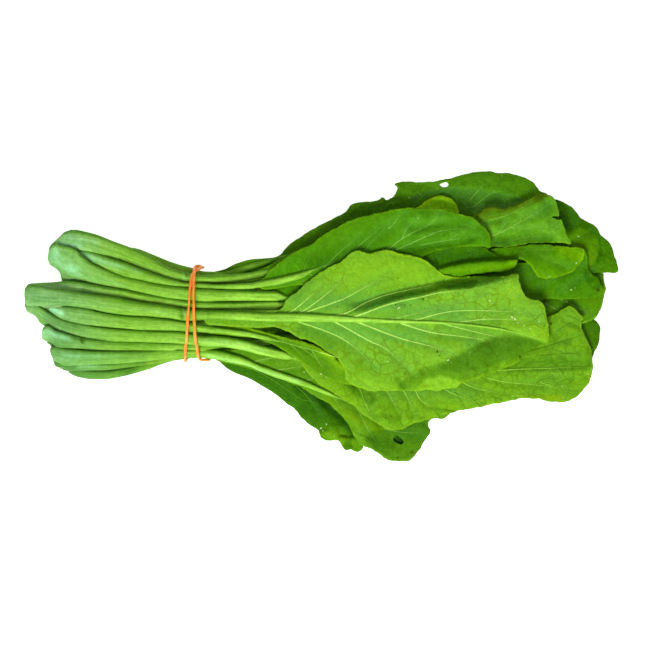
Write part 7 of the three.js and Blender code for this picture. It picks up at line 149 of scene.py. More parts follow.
CROWNS = {
    'A': [[-151.33, 38.62, 20.5, 6], [-146.77, 39.07, 19.33, 5.4], [-142.21, 35.84, 21.27, 4.56], [-137.66, 35.21, 20.64, 4.24], [-133.09, 34.58, 20.01, 3.84], [-128.53, 33.44, 19.87, 3.72]],
    'B': [[-165.01, 7.69, 26.5, 5.15], [-160.45, 7.89, 26.31, 4.69], [-155.89, 7.48, 26.83, 4.29], [-151.33, 7.77, 27.47, 3.63], [-146.77, 7.44, 26.79, 3.58], [-142.21, 7.11, 26.61, 3.44]],
    'C': [[-155.89, -9.25, 17.5, 6], [-151.33, -12.3, 19.31, 4.96], [-146.77, -12.52, 18.93, 4.24], [-142.21, -12.66, 18.81, 3.82], [-137.66, -12.72, 18.72, 3.45], [-133.09, -12.28, 18.14, 3.25]],
    'D': [[-149.05, -27.22, 9, 4.12], [-144.49, -27.01, 11.57, 2.62], [-139.93, -26.4, 11.13, 2.47], [-135.38, -26.4, 11.6, 2.33], [-130.81, -25.78, 11.58, 2.33], [-126.25, -25.12, 11.06, 2.24]],
    'E': [[-147.91, 16.96, 10.5, 6], [-143.35, 13.71, 9.2, 4.82], [-138.79, 13.71, 9.01, 4.2], [-134.23, 13.05, 9.55, 3.65], [-129.67, 12.91, 9.52, 3.47], [-125.11, 12.78, 9.49, 3.3]],
}
SUPPORT = [25.35, 25.42, 24.85, 23.71, 21.91, 19.81, 17.95, 15.88, 14.15, 14.08, 14.31, 15.82, 17.4, 19.37, 21.67, 23.4, 24.48, 24.91, 25, 25.19, 24.7, 23.55, 21.74, 19.78, 18.07, 15.87, 14.31, 13.08, 13.9, 15.77, 17.93, 20.11, 21.88, 23.17, 23.81, 24.58]
BAND_X_TURNS = [[0, -72.4, 0], [30, -73.1, 0], [60, -74.7, 0], [90, -76.2, 0], [120, -77.3, 0], [150, -77.7, 0], [180, -77.5, 0], [210, -77.2, 0], [240, -76.6, 0], [270, -75.8, 0], [300, -74.1, 0.9], [325, -71.4, 1.8], [345, -69.2, 1.2], [360, -67.5, 0.4], [375, -69.0, 0.8], [390, -71.6, 1.5], [405, -72.6, 1.6], [420, -72.8, 1.4], [435, -72.9, 0.8], [450, -72.8, 0.1], [480, -71.2, 0], [500, -70.2, 0], [510, -69.0, 0], [525, -66.4, 0], [540, -64.0, 0], [570, -64.4, 0], [600, -65.3, 0], [630, -66.5, 0], [660, -68.9, 0], [690, -71.2, 0], [705, -72.0, 0],]
ORDER = ['D4', 'E4', 'C3', 'E3', 'D3', 'C2', 'E2', 'C1', 'A4', 'A1b', 'E1', 'B5', 'D2', 'D1', 'B1', 'A1', 'A3',
         'B4', 'A2', 'B3', 'B2']
FINE = {'B2', 'B3', 'B4', 'A1', 'A2', 'A3', 'B1', 'D1', 'A1b', 'D2', 'A4', 'B5'}
DOWN = {'D4', 'E4', 'C3', 'E3', 'D3', 'C2'}  # leaves whose outer side faces the floor
# Heads: middle of each cut base (u, v, z in mm) and the line it is cut along (u, v).
HEADS = {'A': (50, 254, 21.0), 'B': (26, 299, 28.0), 'C': (43, 337, 20.5), 'D': (52, 360, 13.0), 'E': (64, 292, 9.0)}
CUTS = {'A': [(67, 229), (64.4, 232.4), (60.4, 236.4), (56.3, 240), (52.3, 243.5), (50, 246.5), (49.1, 250), (48.6, 254.6),
              (47.9, 258), (48.7, 261.3), (50.3, 264.7), (52.8, 268), (56.2, 272), (60, 275), (64, 278)],
        'B': [(28.5, 284), (26, 287), (25, 289), (24.6, 294), (25, 300), (25.3, 306), (26.4, 310), (30, 315.5), (34, 319),
              (38.8, 322.3), (43, 325.5)],
        'C': [(44, 325), (42.2, 330.8), (41.7, 336), (42.5, 340), (45.6, 342.5), (49.6, 345.6), (51, 348)],
        'D': [(50.6, 347), (50.4, 351), (51.3, 355), (53, 358.4), (53.7, 361), (55, 365.4), (57.7, 367.5), (61.7, 368.5),
              (65.8, 371.5), (70.5, 374.2), (76, 377)],
        'E': [(63, 276), (64, 292), (64, 310)]}
BASE_PULL = {}
BASE_R = {'A3': 0.97, 'A1': 0.9}
BASE_BACK = {'A4': 3.0, 'A1b': 3.0, 'B5': 2.0, 'C3': 3.0, 'D4': 2.0, 'C2': 1.5, 'E2': 2.0}
# Bites and worm holes that go through a blade.
HOLES = {'A1b': [[(439.5, 184.6), (443, 182.8), (446.6, 182.2), (448.6, 184.2), (447.6, 186.4), (443, 187.2)]],
         'A1': [[(551, 216.6), (556, 216.2), (564, 217), (564, 219.4), (556, 218.8)]],
         'D1': [[(393, 439), (397, 435.6), (400, 437.6), (403.4, 440.6), (402.4, 444), (398, 443.6)]]}
# Where a thick petiole runs out into a thin midrib: from u, to u, and what is left of it.
TAPER = {'A2': (302, 328, 0.2), 'A3': (276, 296, 0.2), 'B1': (272, 300, 0.2), 'B5': (290, 340, 0.25), 'A1': (262, 290, 0.22),
         'A1b': (250, 300, 0.22), 'A4': (290, 340, 0.25), 'B4': (286, 300, 0.32), 'D1': (325, 356, 0.3), 'D2': (214, 246, 0.1),
         'B3': (266, 292, 0.25), 'C1': (290, 340, 0.3), 'C2': (290, 340, 0.3), 'E1': (280, 320, 0.25), 'E2': (270, 310, 0.3),
         'D3': (260, 300, 0.4)}
# Side veins given: plan points, width at the midrib and at the end in mm, 0 pale to dark or 1 dark.
VEINS = {
    'B2': [([(301, 315), (307, 312), (345, 298), (365, 287), (392, 273)], 1.1, 0.4, 0),
           ([(296, 314), (303, 311), (330, 291), (347, 274)], 1.0, 0.4, 0),
           ([(286, 314), (295, 309), (320, 288)], 0.9, 0.4, 0),
           ([(330, 317), (344, 313.6), (354, 309.5), (364, 303.5), (385, 295.6), (406, 290.6), (430, 285.6), (452, 281)], 1.15, 0.4, 0),
           ([(350, 318), (362, 314), (373, 309.8), (385, 305.4), (400, 301.2), (420, 297), (438, 292.8), (474, 288), (505, 280)], 1.15, 0.4, 0),
           ([(384, 320.5), (414, 314), (446, 305), (486, 293)], 0.7, 0.3, 2),
           ([(412, 321), (450, 311.5), (500, 311), (543, 314)], 0.85, 0.35, 0),
           ([(452, 323), (490, 319), (538, 322)], 0.7, 0.3, 0),
           ([(294, 320), (300, 322), (345, 340), (378, 369)], 1.2, 0.4, 0),
           ([(328, 320), (335, 322), (370, 341), (385, 348), (412, 372)], 1.25, 0.4, 0),
           ([(352, 320), (358, 322), (400, 338), (440, 349), (466, 362)], 1.25, 0.4, 0),
           ([(398, 322), (407, 325), (430, 332), (480, 339), (508, 347)], 1.2, 0.4, 0),
           ([(440, 323), (480, 333), (520, 342)], 0.7, 0.3, 0)],
    'A2': [([(374, 254), (387, 249.5), (403, 238), (420, 229), (442, 219)], 0.95, 0.35, 0),
           ([(388, 251), (397, 249), (418, 240), (437, 232), (452, 229.5), (472, 227)], 0.95, 0.35, 0),
           ([(402, 239), (407, 228), (417, 219)], 0.6, 0.3, 0),
           ([(388, 229), (395, 222), (401, 213)], 0.55, 0.3, 0),
           ([(425, 227), (433, 221), (441, 212)], 0.5, 0.3, 0),
           ([(344, 260), (362, 243), (385, 224)], 0.9, 0.35, 0),
           ([(324, 267), (342, 250), (360, 236)], 0.8, 0.35, 0),
           ([(420, 245), (448, 240), (480, 236)], 0.7, 0.3, 0)],
    'A1b': [([(462, 203), (470, 208), (490, 194), (508, 190)], 0.6, 0.3, 0), ([(470, 200), (480, 188), (485, 181)], 0.6, 0.3, 0)],
    'A1': [([(474, 239), (494, 235), (520, 222), (537, 212), (550, 203)], 0.9, 0.4, 0), ([(479, 223), (490, 219.5), (505, 215.5), (520, 209), (531, 202)], 0.75, 0.35, 0),
           ([(520, 222), (521, 216), (523, 209)], 0.5, 0.3, 2), ([(498, 233), (504, 226), (508, 220)], 0.5, 0.3, 2),
           ([(484, 241), (500, 245), (520, 238), (552, 236)], 0.7, 0.3, 0)],
    'B1': [([(519, 258), (524, 251), (533, 244.5)], 0.6, 0.3, 2), ([(536, 254), (556, 262), (572, 264)], 0.5, 0.3, 2),
           ([(530, 250), (552, 249), (576, 250)], 0.5, 0.3, 2)],
    'B4': [([(503, 369), (522, 354), (545, 347), (585, 334)], 0.95, 0.4, 1),
           ([(490, 371), (512, 369.6), (540, 368.6), (570, 367.4), (592, 366.4)], 0.8, 0.45, 0),
           ([(515, 368.5), (516.5, 363), (521, 359.5), (532, 358)], 0.5, 0.3, 1), ([(524, 368), (527, 364), (535, 362), (548, 361.5)], 0.5, 0.3, 1),
           ([(554.5, 368), (557, 364), (563, 362), (575, 361.5)], 0.5, 0.3, 1), ([(535, 385), (540, 380), (550, 378.5), (561, 379)], 0.5, 0.3, 1),
           ([(553, 387.6), (561, 381), (573, 378)], 0.5, 0.3, 1), ([(540, 355.5), (560, 354), (580, 353.4)], 0.5, 0.3, 1),
           ([(551, 373), (557, 374.6), (562, 378.5)], 0.5, 0.3, 2), ([(566, 315), (574, 318), (582, 322)], 0.45, 0.3, 1),
           ([(556, 332), (566, 325), (578, 320)], 0.45, 0.3, 1), ([(470, 396), (478, 404), (482, 408)], 0.45, 0.3, 1),
           ([(455, 392), (462, 402), (466, 409)], 0.45, 0.3, 1), ([(486, 398), (494, 397), (503, 401)], 0.45, 0.3, 1),
           ([(450, 374), (470, 386), (512, 396)], 0.85, 0.3, 0),
           ([(487, 378), (505, 382), (538, 385), (584, 393)], 0.55, 0.35, 2),
           ([(540, 382), (556, 388), (570, 392)], 0.5, 0.3, 2), ([(512, 396), (540, 394)], 0.5, 0.3, 2),
           ([(340, 367), (358, 386), (366, 405), (379, 427)], 0.95, 0.35, 0),
           ([(362, 370), (384, 387), (395, 405), (404, 421)], 0.95, 0.35, 0),
           ([(384, 373), (403, 390), (411, 405), (418, 420)], 0.9, 0.35, 0),
           ([(404, 374), (414, 388), (421, 400), (441, 412)], 0.9, 0.35, 0),
           ([(428, 374), (446, 390), (478, 403)], 0.8, 0.3, 0)],
    'B3': [([(268, 337), (288, 343), (310, 364)], 0.8, 0.3, 0), ([(288, 343), (301, 347.5), (326, 367)], 0.8, 0.3, 0)],
    'D1': [([(244, 364), (262, 359.5), (287, 355.5)], 0.9, 0.3, 0), ([(264, 371), (280, 369.5), (307, 365.5)], 0.9, 0.3, 0),
           ([(300, 382), (326, 376), (352, 377)], 0.8, 0.3, 0), ([(384, 428), (400, 432), (424, 433)], 0.7, 0.3, 0)],
    'D2': [([(270, 373), (277, 378), (284, 384), (289, 391)], 0.55, 0.3, 2), ([(296, 386), (304, 393), (314, 405), (322, 418)], 0.6, 0.3, 0),
           ([(357, 426), (361, 433), (366, 440), (369, 447)], 0.6, 0.3, 0), ([(362, 434), (368, 430), (374, 433)], 0.5, 0.3, 2),
           ([(240, 362), (250, 369), (258, 379)], 0.5, 0.3, 2)],
}
# Colour marks on the petioles: plan points, radius, tone, hue, brown. Most are painted light: the mint streaks are
# painted highlights, the dark bands along upper edges and in the gaps between petioles are painted shade, the lightened
# stretches on A1, A3, B1, A1b and A4 are painted light where a petiole lies in shadow, and the crease marks at the band
# are a painted shaded line with a painted highlight beside it. The node mark on B4 and the dark spot on C1 are real.
STALK_SPOTS_AND_PAINTED_LIGHT = {
    'A3': [([(55, 252), (58, 259), (65, 266), (77, 272.5)], 3.6, 0.08, -0.7, 0), ([(54, 248), (66, 249), (78, 252)], 2.5, 0.5, 0, 0), ([(70, 256), (90, 262), (130, 272)], 3.4, 0.17, 0, 0), ([(68, 267), (84, 276), (104, 281), (126, 286)], 1.5, 0.05, -0.22, 0), ([(60, 250), (70, 254), (82, 264)], 1.6, -0.12, -0.1, 0),
           ([(51, 256), (56, 264)], 3, 0, -0.3, 0)],
    'A1': [([(66, 236), (96, 243)], 2.5, 0.10, -0.25, 0), ([(57, 243), (66, 243.5), (80, 245.5)], 2.6, 0.12, -0.6, 0), ([(54, 246), (75, 249), (90, 252)], 2.2, 0.45, 0, 0), ([(56, 239), (70, 237), (90, 240), (130, 248)], 4.5, 0.28, 0, 0), ([(186.5, 273), (188, 282)], 1.1, -0.8, 0, 0.05), ([(184, 274), (185.5, 281)], 1.2, 0.25, -0.3, 0), ([(190.5, 275), (191, 281)], 1.2, 0.2, -0.2, 0)],
    'A2': [([(95, 259), (140, 271)], 2.5, 0.10, -0.2, 0), ([(82, 253), (91, 257)], 3.4, 0.1, -0.45, 0), ([(91, 257), (104, 262.6), (120, 267)], 2.8, 0.06, -0.25, 0)],
    'B2': [([(157, 311)], 3.0, 0.3, 0, 0), ([(60, 299), (130, 308), (165, 312)], 2.0, 0.1, -0.1, 0), ([(44, 291), (80, 293.5), (120, 299)], 3.0, 0.3, 0, 0), ([(220, 315), (300, 317)], 3.0, -0.08, 0, 0), ([(183, 313), (212, 315)], 5.0, -0.25, 0, 0), ([(180.5, 309), (182, 319)], 1.1, -0.8, 0, 0.05), ([(184.5, 310), (186, 318)], 1.3, 0.3, -0.3, 0), ([(208, 311), (209, 319)], 1.3, -0.3, 0, 0), ([(30, 292), (44, 300)], 5.0, -0.1, -0.2, 0), ([(34, 299), (52, 301.5), (70, 303)], 3.2, -0.24, 0, 0)],
    'B3': [([(46, 308), (54, 310), (62, 313)], 2.6, 0.4, -0.8, 0), ([(96, 310), (130, 313.6), (160, 317), (186, 320)], 2.2, -1.1, 0.1, 0), ([(40, 308.5), (56, 311), (74, 314)], 4.0, 0.16, 0, 0)],
    'B1': [([(38, 287), (60, 286.5), (90, 289), (120, 293), (170, 302)], 5.0, 0.26, 0.0, 0), ([(34, 287), (60, 286), (76, 288)], 6.0, 0.62, 0.1, 0)],
    'B4': [([(156, 325)], 2.4, -0.4, 0.3, 0.1), ([(204, 340), (230, 343.6), (262, 350.5)], 4.5, 0.22, -0.1, 0), ([(46, 321), (60, 325), (80, 328)], 5.0, -0.34, 0, 0),
           ([(200, 333), (216, 334.4), (232, 336.6), (248, 340), (264, 344.6)], 2.0, -0.5, 0.3, 0)],
    'C1': [([(44, 333), (56, 334), (67, 337)], 4.5, 0.25, -0.8, 0), ([(50, 344), (66, 345)], 4.5, -0.42, 0, 0), ([(50, 343), (90, 344), (150, 347)], 5.0, -0.28, 0, 0), ([(200, 346.5), (216, 347), (236, 347)], 4.0, -0.6, 0.2, 0), ([(82.3, 340.5)], 1.7, -2.0, 0, 0.5)],
    'D1': [([(62, 356), (84, 356.4), (98, 356.3)], 1.9, 0.1, -0.3, 0), ([(64, 356), (78, 356.3)], 2.0, 0.14, -0.3, 0), ([(98, 356.3), (120, 356)], 1.9, 0.1, -0.15, 0), ([(206, 348), (222, 350), (240, 355.4), (264, 364.6), (288, 373.6)], 2.8, -0.4, 0.45, 0), ([(208, 355.6), (230, 360.5), (262, 370), (300, 382)], 2.2, 0.25, -0.2, 0), ([(52, 355), (90, 358), (140, 357)], 9, -0.22, -0.1, 0), ([(140, 357), (175, 354)], 6, -0.1, 0, 0)],
    'D2': [([(56, 367), (90, 369), (140, 363)], 8, -0.5, -0.1, 0), ([(56, 365), (72, 366.5)], 5, -0.6, 0, 0), ([(68, 365.6), (84, 366.4), (106, 366)], 2.2, 0.12, -0.2, 0), ([(80, 366.3), (96, 366.3)], 2.2, 0.12, -0.2, 0), ([(140, 363), (190, 355)], 6, -0.2, 0, 0)],
    'D3': [([(62, 370), (90, 375), (130, 372)], 9, -0.72, -0.12, 0), ([(62, 371), (76, 374)], 5, -0.3, 0, 0), ([(130, 372), (160, 362), (190, 354)], 7, -0.4, 0, 0)],
    'A1b': [([(120, 246), (150, 257), (195, 272)], 8, 0.3, 0.4, 0), ([(232, 274), (252, 270), (276, 262)], 6, -0.65, 0, 0)],
    'A4': [([(120, 246), (150, 257), (195, 272)], 8, 0.2, 0.3, 0), ([(232, 274), (252, 270), (276, 262)], 6, -0.65, 0, 0)],
}
# Petioles pressed against their neighbours: from u, to u, added half width in mm.
PRESS = {'C1': [(60, 200, 0.35, 0), (54, 175, 0.35, -0.4), (206, 236, -0.25, 0.3, 14)], 'D1': [(60, 200, 0.45, 0), (52, 175, 0.4, 0.45), (215, 250, 0.45, 1.25, 26), (262, 296, 0.3, 0, 20)], 'A1b': [(130, 195, 0.8, 0)], 'B3': [(50, 90, 0.3, 0)], 'B4': [(50, 90, 0.3, 0), (208, 298, 0, 0.6, 16), (213, 248, 0.2, 1.0, 28)], 'A1': [(60, 120, 0.3, 0), (56, 84, 0.35, -0.35, 10), (120, 200, 0.5, 0)], 'A2': [(60, 180, 0.25, 0)],
         'A3': [(60, 110, 0.35, 0), (50, 72, 0.9, -0.55), (54, 80, 0.5, -0.5)], 'B1': [(60, 180, 0.25, 0), (50, 112, 0.45, -0.45, 20)]}
# Grains and drops on the blades: u, v, radius mm, stretch, turn, 1 pale or 0 dark.
SPECKS = {
    'B2': [(490, 300.5, 0.45, 1.5, 40, 1), (492, 303, 0.3, 1.2, 0, 1), (487, 311, 0.35, 1.4, 20, 1), (494, 312, 0.3, 1, 0, 1),
           (515, 319, 0.5, 1.8, -50, 1), (518, 323, 0.45, 1.5, -40, 1), (524, 326, 0.4, 1.6, -20, 1), (530, 329, 0.35, 1.5, 0, 1),
           (520, 320, 0.28, 1.2, 0, 1), (443, 303, 0.25, 1, 0, 1), (452, 330, 0.25, 1, 0, 1), (470, 352, 0.3, 1, 0, 1),
           (448, 360, 0.45, 1.4, 10, 1), (451, 362, 0.3, 1, 0, 1), (503, 338, 0.25, 1, 0, 1), (423, 312.5, 0.25, 1, 0, 1),
           (350, 331, 0.22, 1, 0, 1), (410, 345, 0.22, 1, 0, 1), (385, 262, 0.22, 1, 0, 1), (441, 328, 0.22, 1, 0, 1), (445, 331, 0.26, 1.2, 0, 1), (458, 333, 0.24, 1, 0, 1), (425, 339, 0.22, 1, 0, 1), (428, 342, 0.2, 1, 0, 1), (466, 326, 0.22, 1, 0, 1), (478, 325, 0.2, 1, 0, 1), (488, 336, 0.24, 1.4, 10, 1), (497, 343, 0.22, 1, 0, 1), (432, 309, 0.2, 1, 0, 1), (407, 318, 0.2, 1, 0, 1), (341, 339, 0.2, 1, 0, 1), (372, 337, 0.2, 1, 0, 1), (484, 318, 0.3, 1.6, 60, 1), (505, 333, 0.2, 1, 0, 1), (512, 317, 0.5, 2.0, -52, 1), (500, 321, 0.25, 1.2, 0, 1),
           (395.6, 304.6, 0.5, 1.6, 50, 0), (400, 304.2, 0.35, 1.6, 20, 0), (404.6, 304.8, 0.4, 1.6, 10, 0), (409.6, 305, 0.35, 1.8, 0, 0), (399, 307.6, 0.42, 3.2, 42, 1), (423, 299, 0.6, 1.7, 70, 0),
           (425, 297.5, 0.3, 1, 0, 0), (432, 296, 0.3, 1.4, 70, 0), (442, 294.8, 0.35, 1.5, 80, 0), (448, 294, 0.3, 1.4, 80, 0),
           (455, 292.8, 0.3, 1.3, 70, 0), (398, 278, 0.42, 1.3, 20, 0), (389, 284, 0.28, 1, 0, 0), (420, 271, 0.35, 1.3, 0, 0),
           (436, 274, 0.28, 1, 0, 0), (372, 280, 0.25, 1, 0, 0), (437, 352, 0.6, 1.4, 60, 0), (439, 356, 0.4, 1.2, 20, 0),
           (469, 345, 0.4, 1.3, 0, 0), (475, 348, 0.3, 1, 0, 0), (356, 353, 0.32, 1.2, 0, 0), (343, 343, 0.25, 1, 0, 0),
           (405, 374, 0.4, 1.3, 50, 0), (466, 319, 0.25, 1, 0, 0), (404, 255, 0.3, 1.3, 30, 0), (418, 262, 0.25, 1, 0, 0)],
    'B4': [(551, 324, 0.5, 1.6, 50, 0), (427, 387, 0.35, 1.4, 30, 1), (432, 389, 0.3, 1.3, -40, 1), (438, 386, 0.35, 1.4, 60, 1),
           (441, 390, 0.28, 1, 0, 1), (425, 391, 0.25, 1, 0, 1), (436, 393, 0.25, 1, 0, 1), (562, 386, 0.3, 1, 0, 1),
           (563, 398, 0.3, 1.2, 0, 1), (521, 376, 0.25, 1, 0, 1), (588, 374, 0.35, 1, 0, 1), (385, 418, 0.4, 1.4, 30, 0),
           (389, 422, 0.35, 1.2, -20, 0), (578, 343, 0.25, 1, 0, 0), (541, 379, 0.25, 1, 0, 0)],
    'B3': [(321, 374, 0.35, 1.3, 0, 1), (326, 377, 0.3, 1, 0, 1), (304, 372, 0.25, 1, 0, 1)],
    'A1b': [(409, 198, 0.35, 1.6, 60, 1), (413, 197.5, 0.3, 1.2, 30, 1), (420, 194, 0.35, 1.4, -30, 1), (422, 192.6, 0.25, 1, 0, 1),
            (437, 189, 0.28, 1, 0, 1), (494, 191, 0.3, 1, 0, 1), (502, 176, 0.3, 1, 0, 1), (455, 204, 0.25, 1, 0, 1)],
    'A2': [(430, 215, 0.25, 1, 0, 0), (460, 232, 0.28, 1.2, 0, 0), (370, 240, 0.22, 1, 0, 1)],
    'A1': [(505, 234, 0.25, 1, 0, 0), (526, 228, 0.25, 1, 0, 0), (540, 210, 0.28, 1.2, 0, 1)],
    'B1': [(576, 263, 0.4, 1.5, 40, 1), (579, 260, 0.28, 1, 0, 1)],
    'B5': [(571, 290, 0.45, 1.7, 20, 1), (575, 288, 0.3, 1.2, 40, 1), (566, 292, 0.28, 1, 0, 1), (598, 290, 0.5, 1.3, 0, 0),
           (595, 288, 0.35, 1, 0, 0)],
    'D2': [(321, 428, 0.45, 1.4, 70, 1), (323, 431, 0.35, 1.2, 40, 1), (334, 436, 0.25, 1, 0, 1), (351, 444, 0.4, 1.2, 0, 0),
           (362, 447, 0.35, 1, 0, 0)],
    'D1': [(412, 452, 0.5, 1.2, 0, 0), (398, 458, 0.4, 1, 0, 0), (377, 444, 0.3, 1, 0, 0)],
}

# ------------------------------------------------------------------ plan grid
G = 0.85
GX = np.arange(-88.0, 176.5, G)
GY = np.arange(-88.0, 88.5, G)
NX, NY = len(GX), len(GY)
XX, YY = np.meshgrid(GX, GY, indexing='ij')
UU = XX / UNIT + 322.0  # drawing coordinates of the grid nodes
VV = 316.5 - YY / UNIT


def smooth01(t):
    t = np.clip(t, 0.0, 1.0)
    return t * t * (3 - 2 * t)


def samp(field, x, y):
    """Bilinear value of a grid field at plan points in mm."""
    u = np.clip((np.asarray(x) - GX[0]) / G, 0, NX - 1.001)
    v = np.clip((np.asarray(y) - GY[0]) / G, 0, NY - 1.001)
    i = u.astype(int)
    j = v.astype(int)
    a = u - i
    b = v - j
    if field.ndim == 3:
        a = a[..., None]
        b = b[..., None]
    return (field[i, j] * (1 - a) * (1 - b) + field[i + 1, j] * a * (1 - b)
            + field[i, j + 1] * (1 - a) * b + field[i + 1, j + 1] * a * b)


def catmull(pts, step, closed=False):
    """Points about every step along a smooth curve through pts."""
    p = np.array(pts, float)
    n = len(p)
    if not closed and n == 2:
        m = max(2, int(np.hypot(*(p[1] - p[0])) / step) + 1)
        return p[0] + (p[1] - p[0]) * np.linspace(0, 1, m)[:, None]
    out = []
    segs = n if closed else n - 1
    for k in range(segs):
        if closed:
            q = [p[(k - 1) % n], p[k], p[(k + 1) % n], p[(k + 2) % n]]
        else:
            q = [p[k - 1] if k > 0 else 2 * p[0] - p[1], p[k], p[k + 1], p[k + 2] if k + 2 < n else 2 * p[-1] - p[-2]]
        t = [0.0]
        for a, b in zip(q, q[1:]):
            t.append(t[-1] + max(1e-6, float(np.linalg.norm(b - a))) ** 0.5)
        m = max(1, int(round(float(np.linalg.norm(q[2] - q[1])) / step)))
        for w in np.arange(m) / m:
            s = t[1] + (t[2] - t[1]) * w
            a1 = (t[1] - s) / (t[1] - t[0]) * q[0] + (s - t[0]) / (t[1] - t[0]) * q[1]
            a2 = (t[2] - s) / (t[2] - t[1]) * q[1] + (s - t[1]) / (t[2] - t[1]) * q[2]
            a3 = (t[3] - s) / (t[3] - t[2]) * q[2] + (s - t[2]) / (t[3] - t[2]) * q[3]
            b1 = (t[2] - s) / (t[2] - t[0]) * a1 + (s - t[0]) / (t[2] - t[0]) * a2
            b2 = (t[3] - s) / (t[3] - t[1]) * a2 + (s - t[1]) / (t[3] - t[1]) * a3
            out.append((t[2] - s) / (t[2] - t[1]) * b1 + (s - t[1]) / (t[2] - t[1]) * b2)
    if not closed:
        out.append(p[-1])
    return np.array(out)


def line_field(pts, px, py):
    """Distance, side (+ on the +Y side) and length fraction of plan points to an open line."""
    a = pts[:-1]
    b = pts[1:]
    d = b - a
    seg = np.hypot(d[:, 0], d[:, 1])
    run = np.concatenate([[0], np.cumsum(seg)])
    best = np.full(px.shape, 1e9)
    side = np.ones(px.shape)
    frac = np.zeros(px.shape)
    for k in range(len(a)):
        l2 = max(seg[k] ** 2, 1e-9)
        t = np.clip(((px - a[k, 0]) * d[k, 0] + (py - a[k, 1]) * d[k, 1]) / l2, 0, 1)
        ex = px - a[k, 0] - t * d[k, 0]
        ey = py - a[k, 1] - t * d[k, 1]
        e = ex * ex + ey * ey
        m = e < best
        best = np.where(m, e, best)
        cr = d[k, 0] * ey - d[k, 1] * ex
        side = np.where(m, np.where(cr >= 0, 1.0, -1.0), side)
        frac = np.where(m, (run[k] + t * seg[k]), frac)
    return np.sqrt(best), side, frac, run[-1]


def box_of(pts, r):
    i0 = max(0, int((pts[:, 0].min() - r - GX[0]) / G))
    i1 = min(NX, int((pts[:, 0].max() + r - GX[0]) / G) + 2)
    j0 = max(0, int((pts[:, 1].min() - r - GY[0]) / G))
    j1 = min(NY, int((pts[:, 1].max() + r - GY[0]) / G) + 2)
    return slice(i0, max(i0 + 1, i1)), slice(j0, max(j0 + 1, j1))


def mm(pts):
    p = np.array(pts, float)
    return np.stack([X(p[:, 0]), Y(p[:, 1])], -1)


def wave(x, y, length, seed):
    """Smooth seeded noise in -1..1 with features of about the given length in mm."""
    r = np.random.RandomState(seed)
    s = np.zeros(np.shape(x))
    for _ in range(7):
        a = r.uniform(0, 2 * math.pi)
        k = 2 * math.pi / (length * r.uniform(0.75, 1.6))
        s = s + np.sin(k * (math.cos(a) * x + math.sin(a) * y) + r.uniform(0, 6.28))
    return s / 3.2


def blur(f):
    g = np.pad(f, 1, mode='edge')
    g = (g[:-2] + 2 * g[1:-1] + g[2:]) / 4
    return (g[:, :-2] + 2 * g[:, 1:-1] + g[:, 2:]) / 4


def blur_wide(f, r):
    """Triangle filter of half width r grid steps."""
    for axis in (0, 1):
        for _ in range(2):
            g = np.pad(f, [(r, r) if k == axis else (0, 0) for k in (0, 1)], mode='edge')
            c = np.cumsum(g, axis=axis)
            z = np.zeros_like(np.take(c, [0], axis=axis))
            c = np.concatenate([z, c], axis=axis)
            n = f.shape[axis]
            hi = np.take(c, np.arange(2 * r + 1, 2 * r + 1 + n), axis=axis)
            lo = np.take(c, np.arange(0, n), axis=axis)
            f = (hi - lo) / (2 * r + 1)
    return f


# ------------------------------------------------------------------ outlines and distance to the margin
def margin_line(name):
    """Closed outline in mm with a slightly uneven margin."""
    p = mm(catmull(OUTLINES[name], 1.6, closed=True))
    d = np.roll(p, -1, 0) - np.roll(p, 1, 0)
    d /= np.maximum(np.hypot(d[:, 0], d[:, 1]), 1e-6)[:, None]
    n = np.stack([-d[:, 1], d[:, 0]], -1)
    s = np.cumsum(np.hypot(*(p - np.roll(p, 1, 0)).T))
    seed = ORDER.index(name)
    r = np.random.RandomState(40 + seed)
    w = sum(np.sin(s * 2 * math.pi / l + r.uniform(0, 6.28)) * a for l, a in ((17, 0.16), (9.3, 0.14), (5.1, 0.12), (3.1, 0.07)))
    w = w * (0.55 if name in ('A1b', 'A4') else 1.0)
    w = w * smooth01((p[:, 0] - X(262)) / 20)
    return p + n * w[:, None]


def inside(poly, x, y):
    r = np.zeros(x.shape, bool)
    a = poly
    b = np.roll(poly, -1, 0)
    for (x0, y0), (x1, y1) in zip(a, b):
        if y0 == y1:
            continue
        c = ((y0 > y) != (y1 > y)) & (x < (x1 - x0) * (y - y0) / (y1 - y0) + x0)
        r ^= c
    return r


def signed(poly, x, y):
    """Distance to the closed line, positive inside."""
    closed = np.vstack([poly, poly[:1]])
    a = closed[:-1]
    d = closed[1:] - a
    best = np.full(x.shape, 1e9)
    for k in range(len(a)):
        l2 = max(d[k, 0] ** 2 + d[k, 1] ** 2, 1e-9)
        t = np.clip(((x - a[k, 0]) * d[k, 0] + (y - a[k, 1]) * d[k, 1]) / l2, 0, 1)
        e = (x - a[k, 0] - t * d[k, 0]) ** 2 + (y - a[k, 1] - t * d[k, 1]) ** 2
        best = np.minimum(best, e)
    return np.sqrt(best) * np.where(inside(poly, x, y), 1.0, -1.0)


SD = {}
RIM = {}
for name in ORDER:
    line = margin_line(name)
    sx, sy = box_of(line, 4.0)
    f = np.full((NX, NY), -4.0)
    f[sx, sy] = signed(line, XX[sx, sy], YY[sx, sy])
    RIM[name] = f.copy()
    for hole in HOLES.get(name, []):
        q = mm(catmull(hole, 1.2, closed=True))
        hx, hy = box_of(q, 12.0)
        f[hx, hy] = np.minimum(f[hx, hy], -signed(q, XX[hx, hy], YY[hx, hy]))
    SD[name] = f

# ------------------------------------------------------------------ base heights
LX0, LY0, LS, LNX, LNY = -78.285, -90.0, 12.0, 22, 16


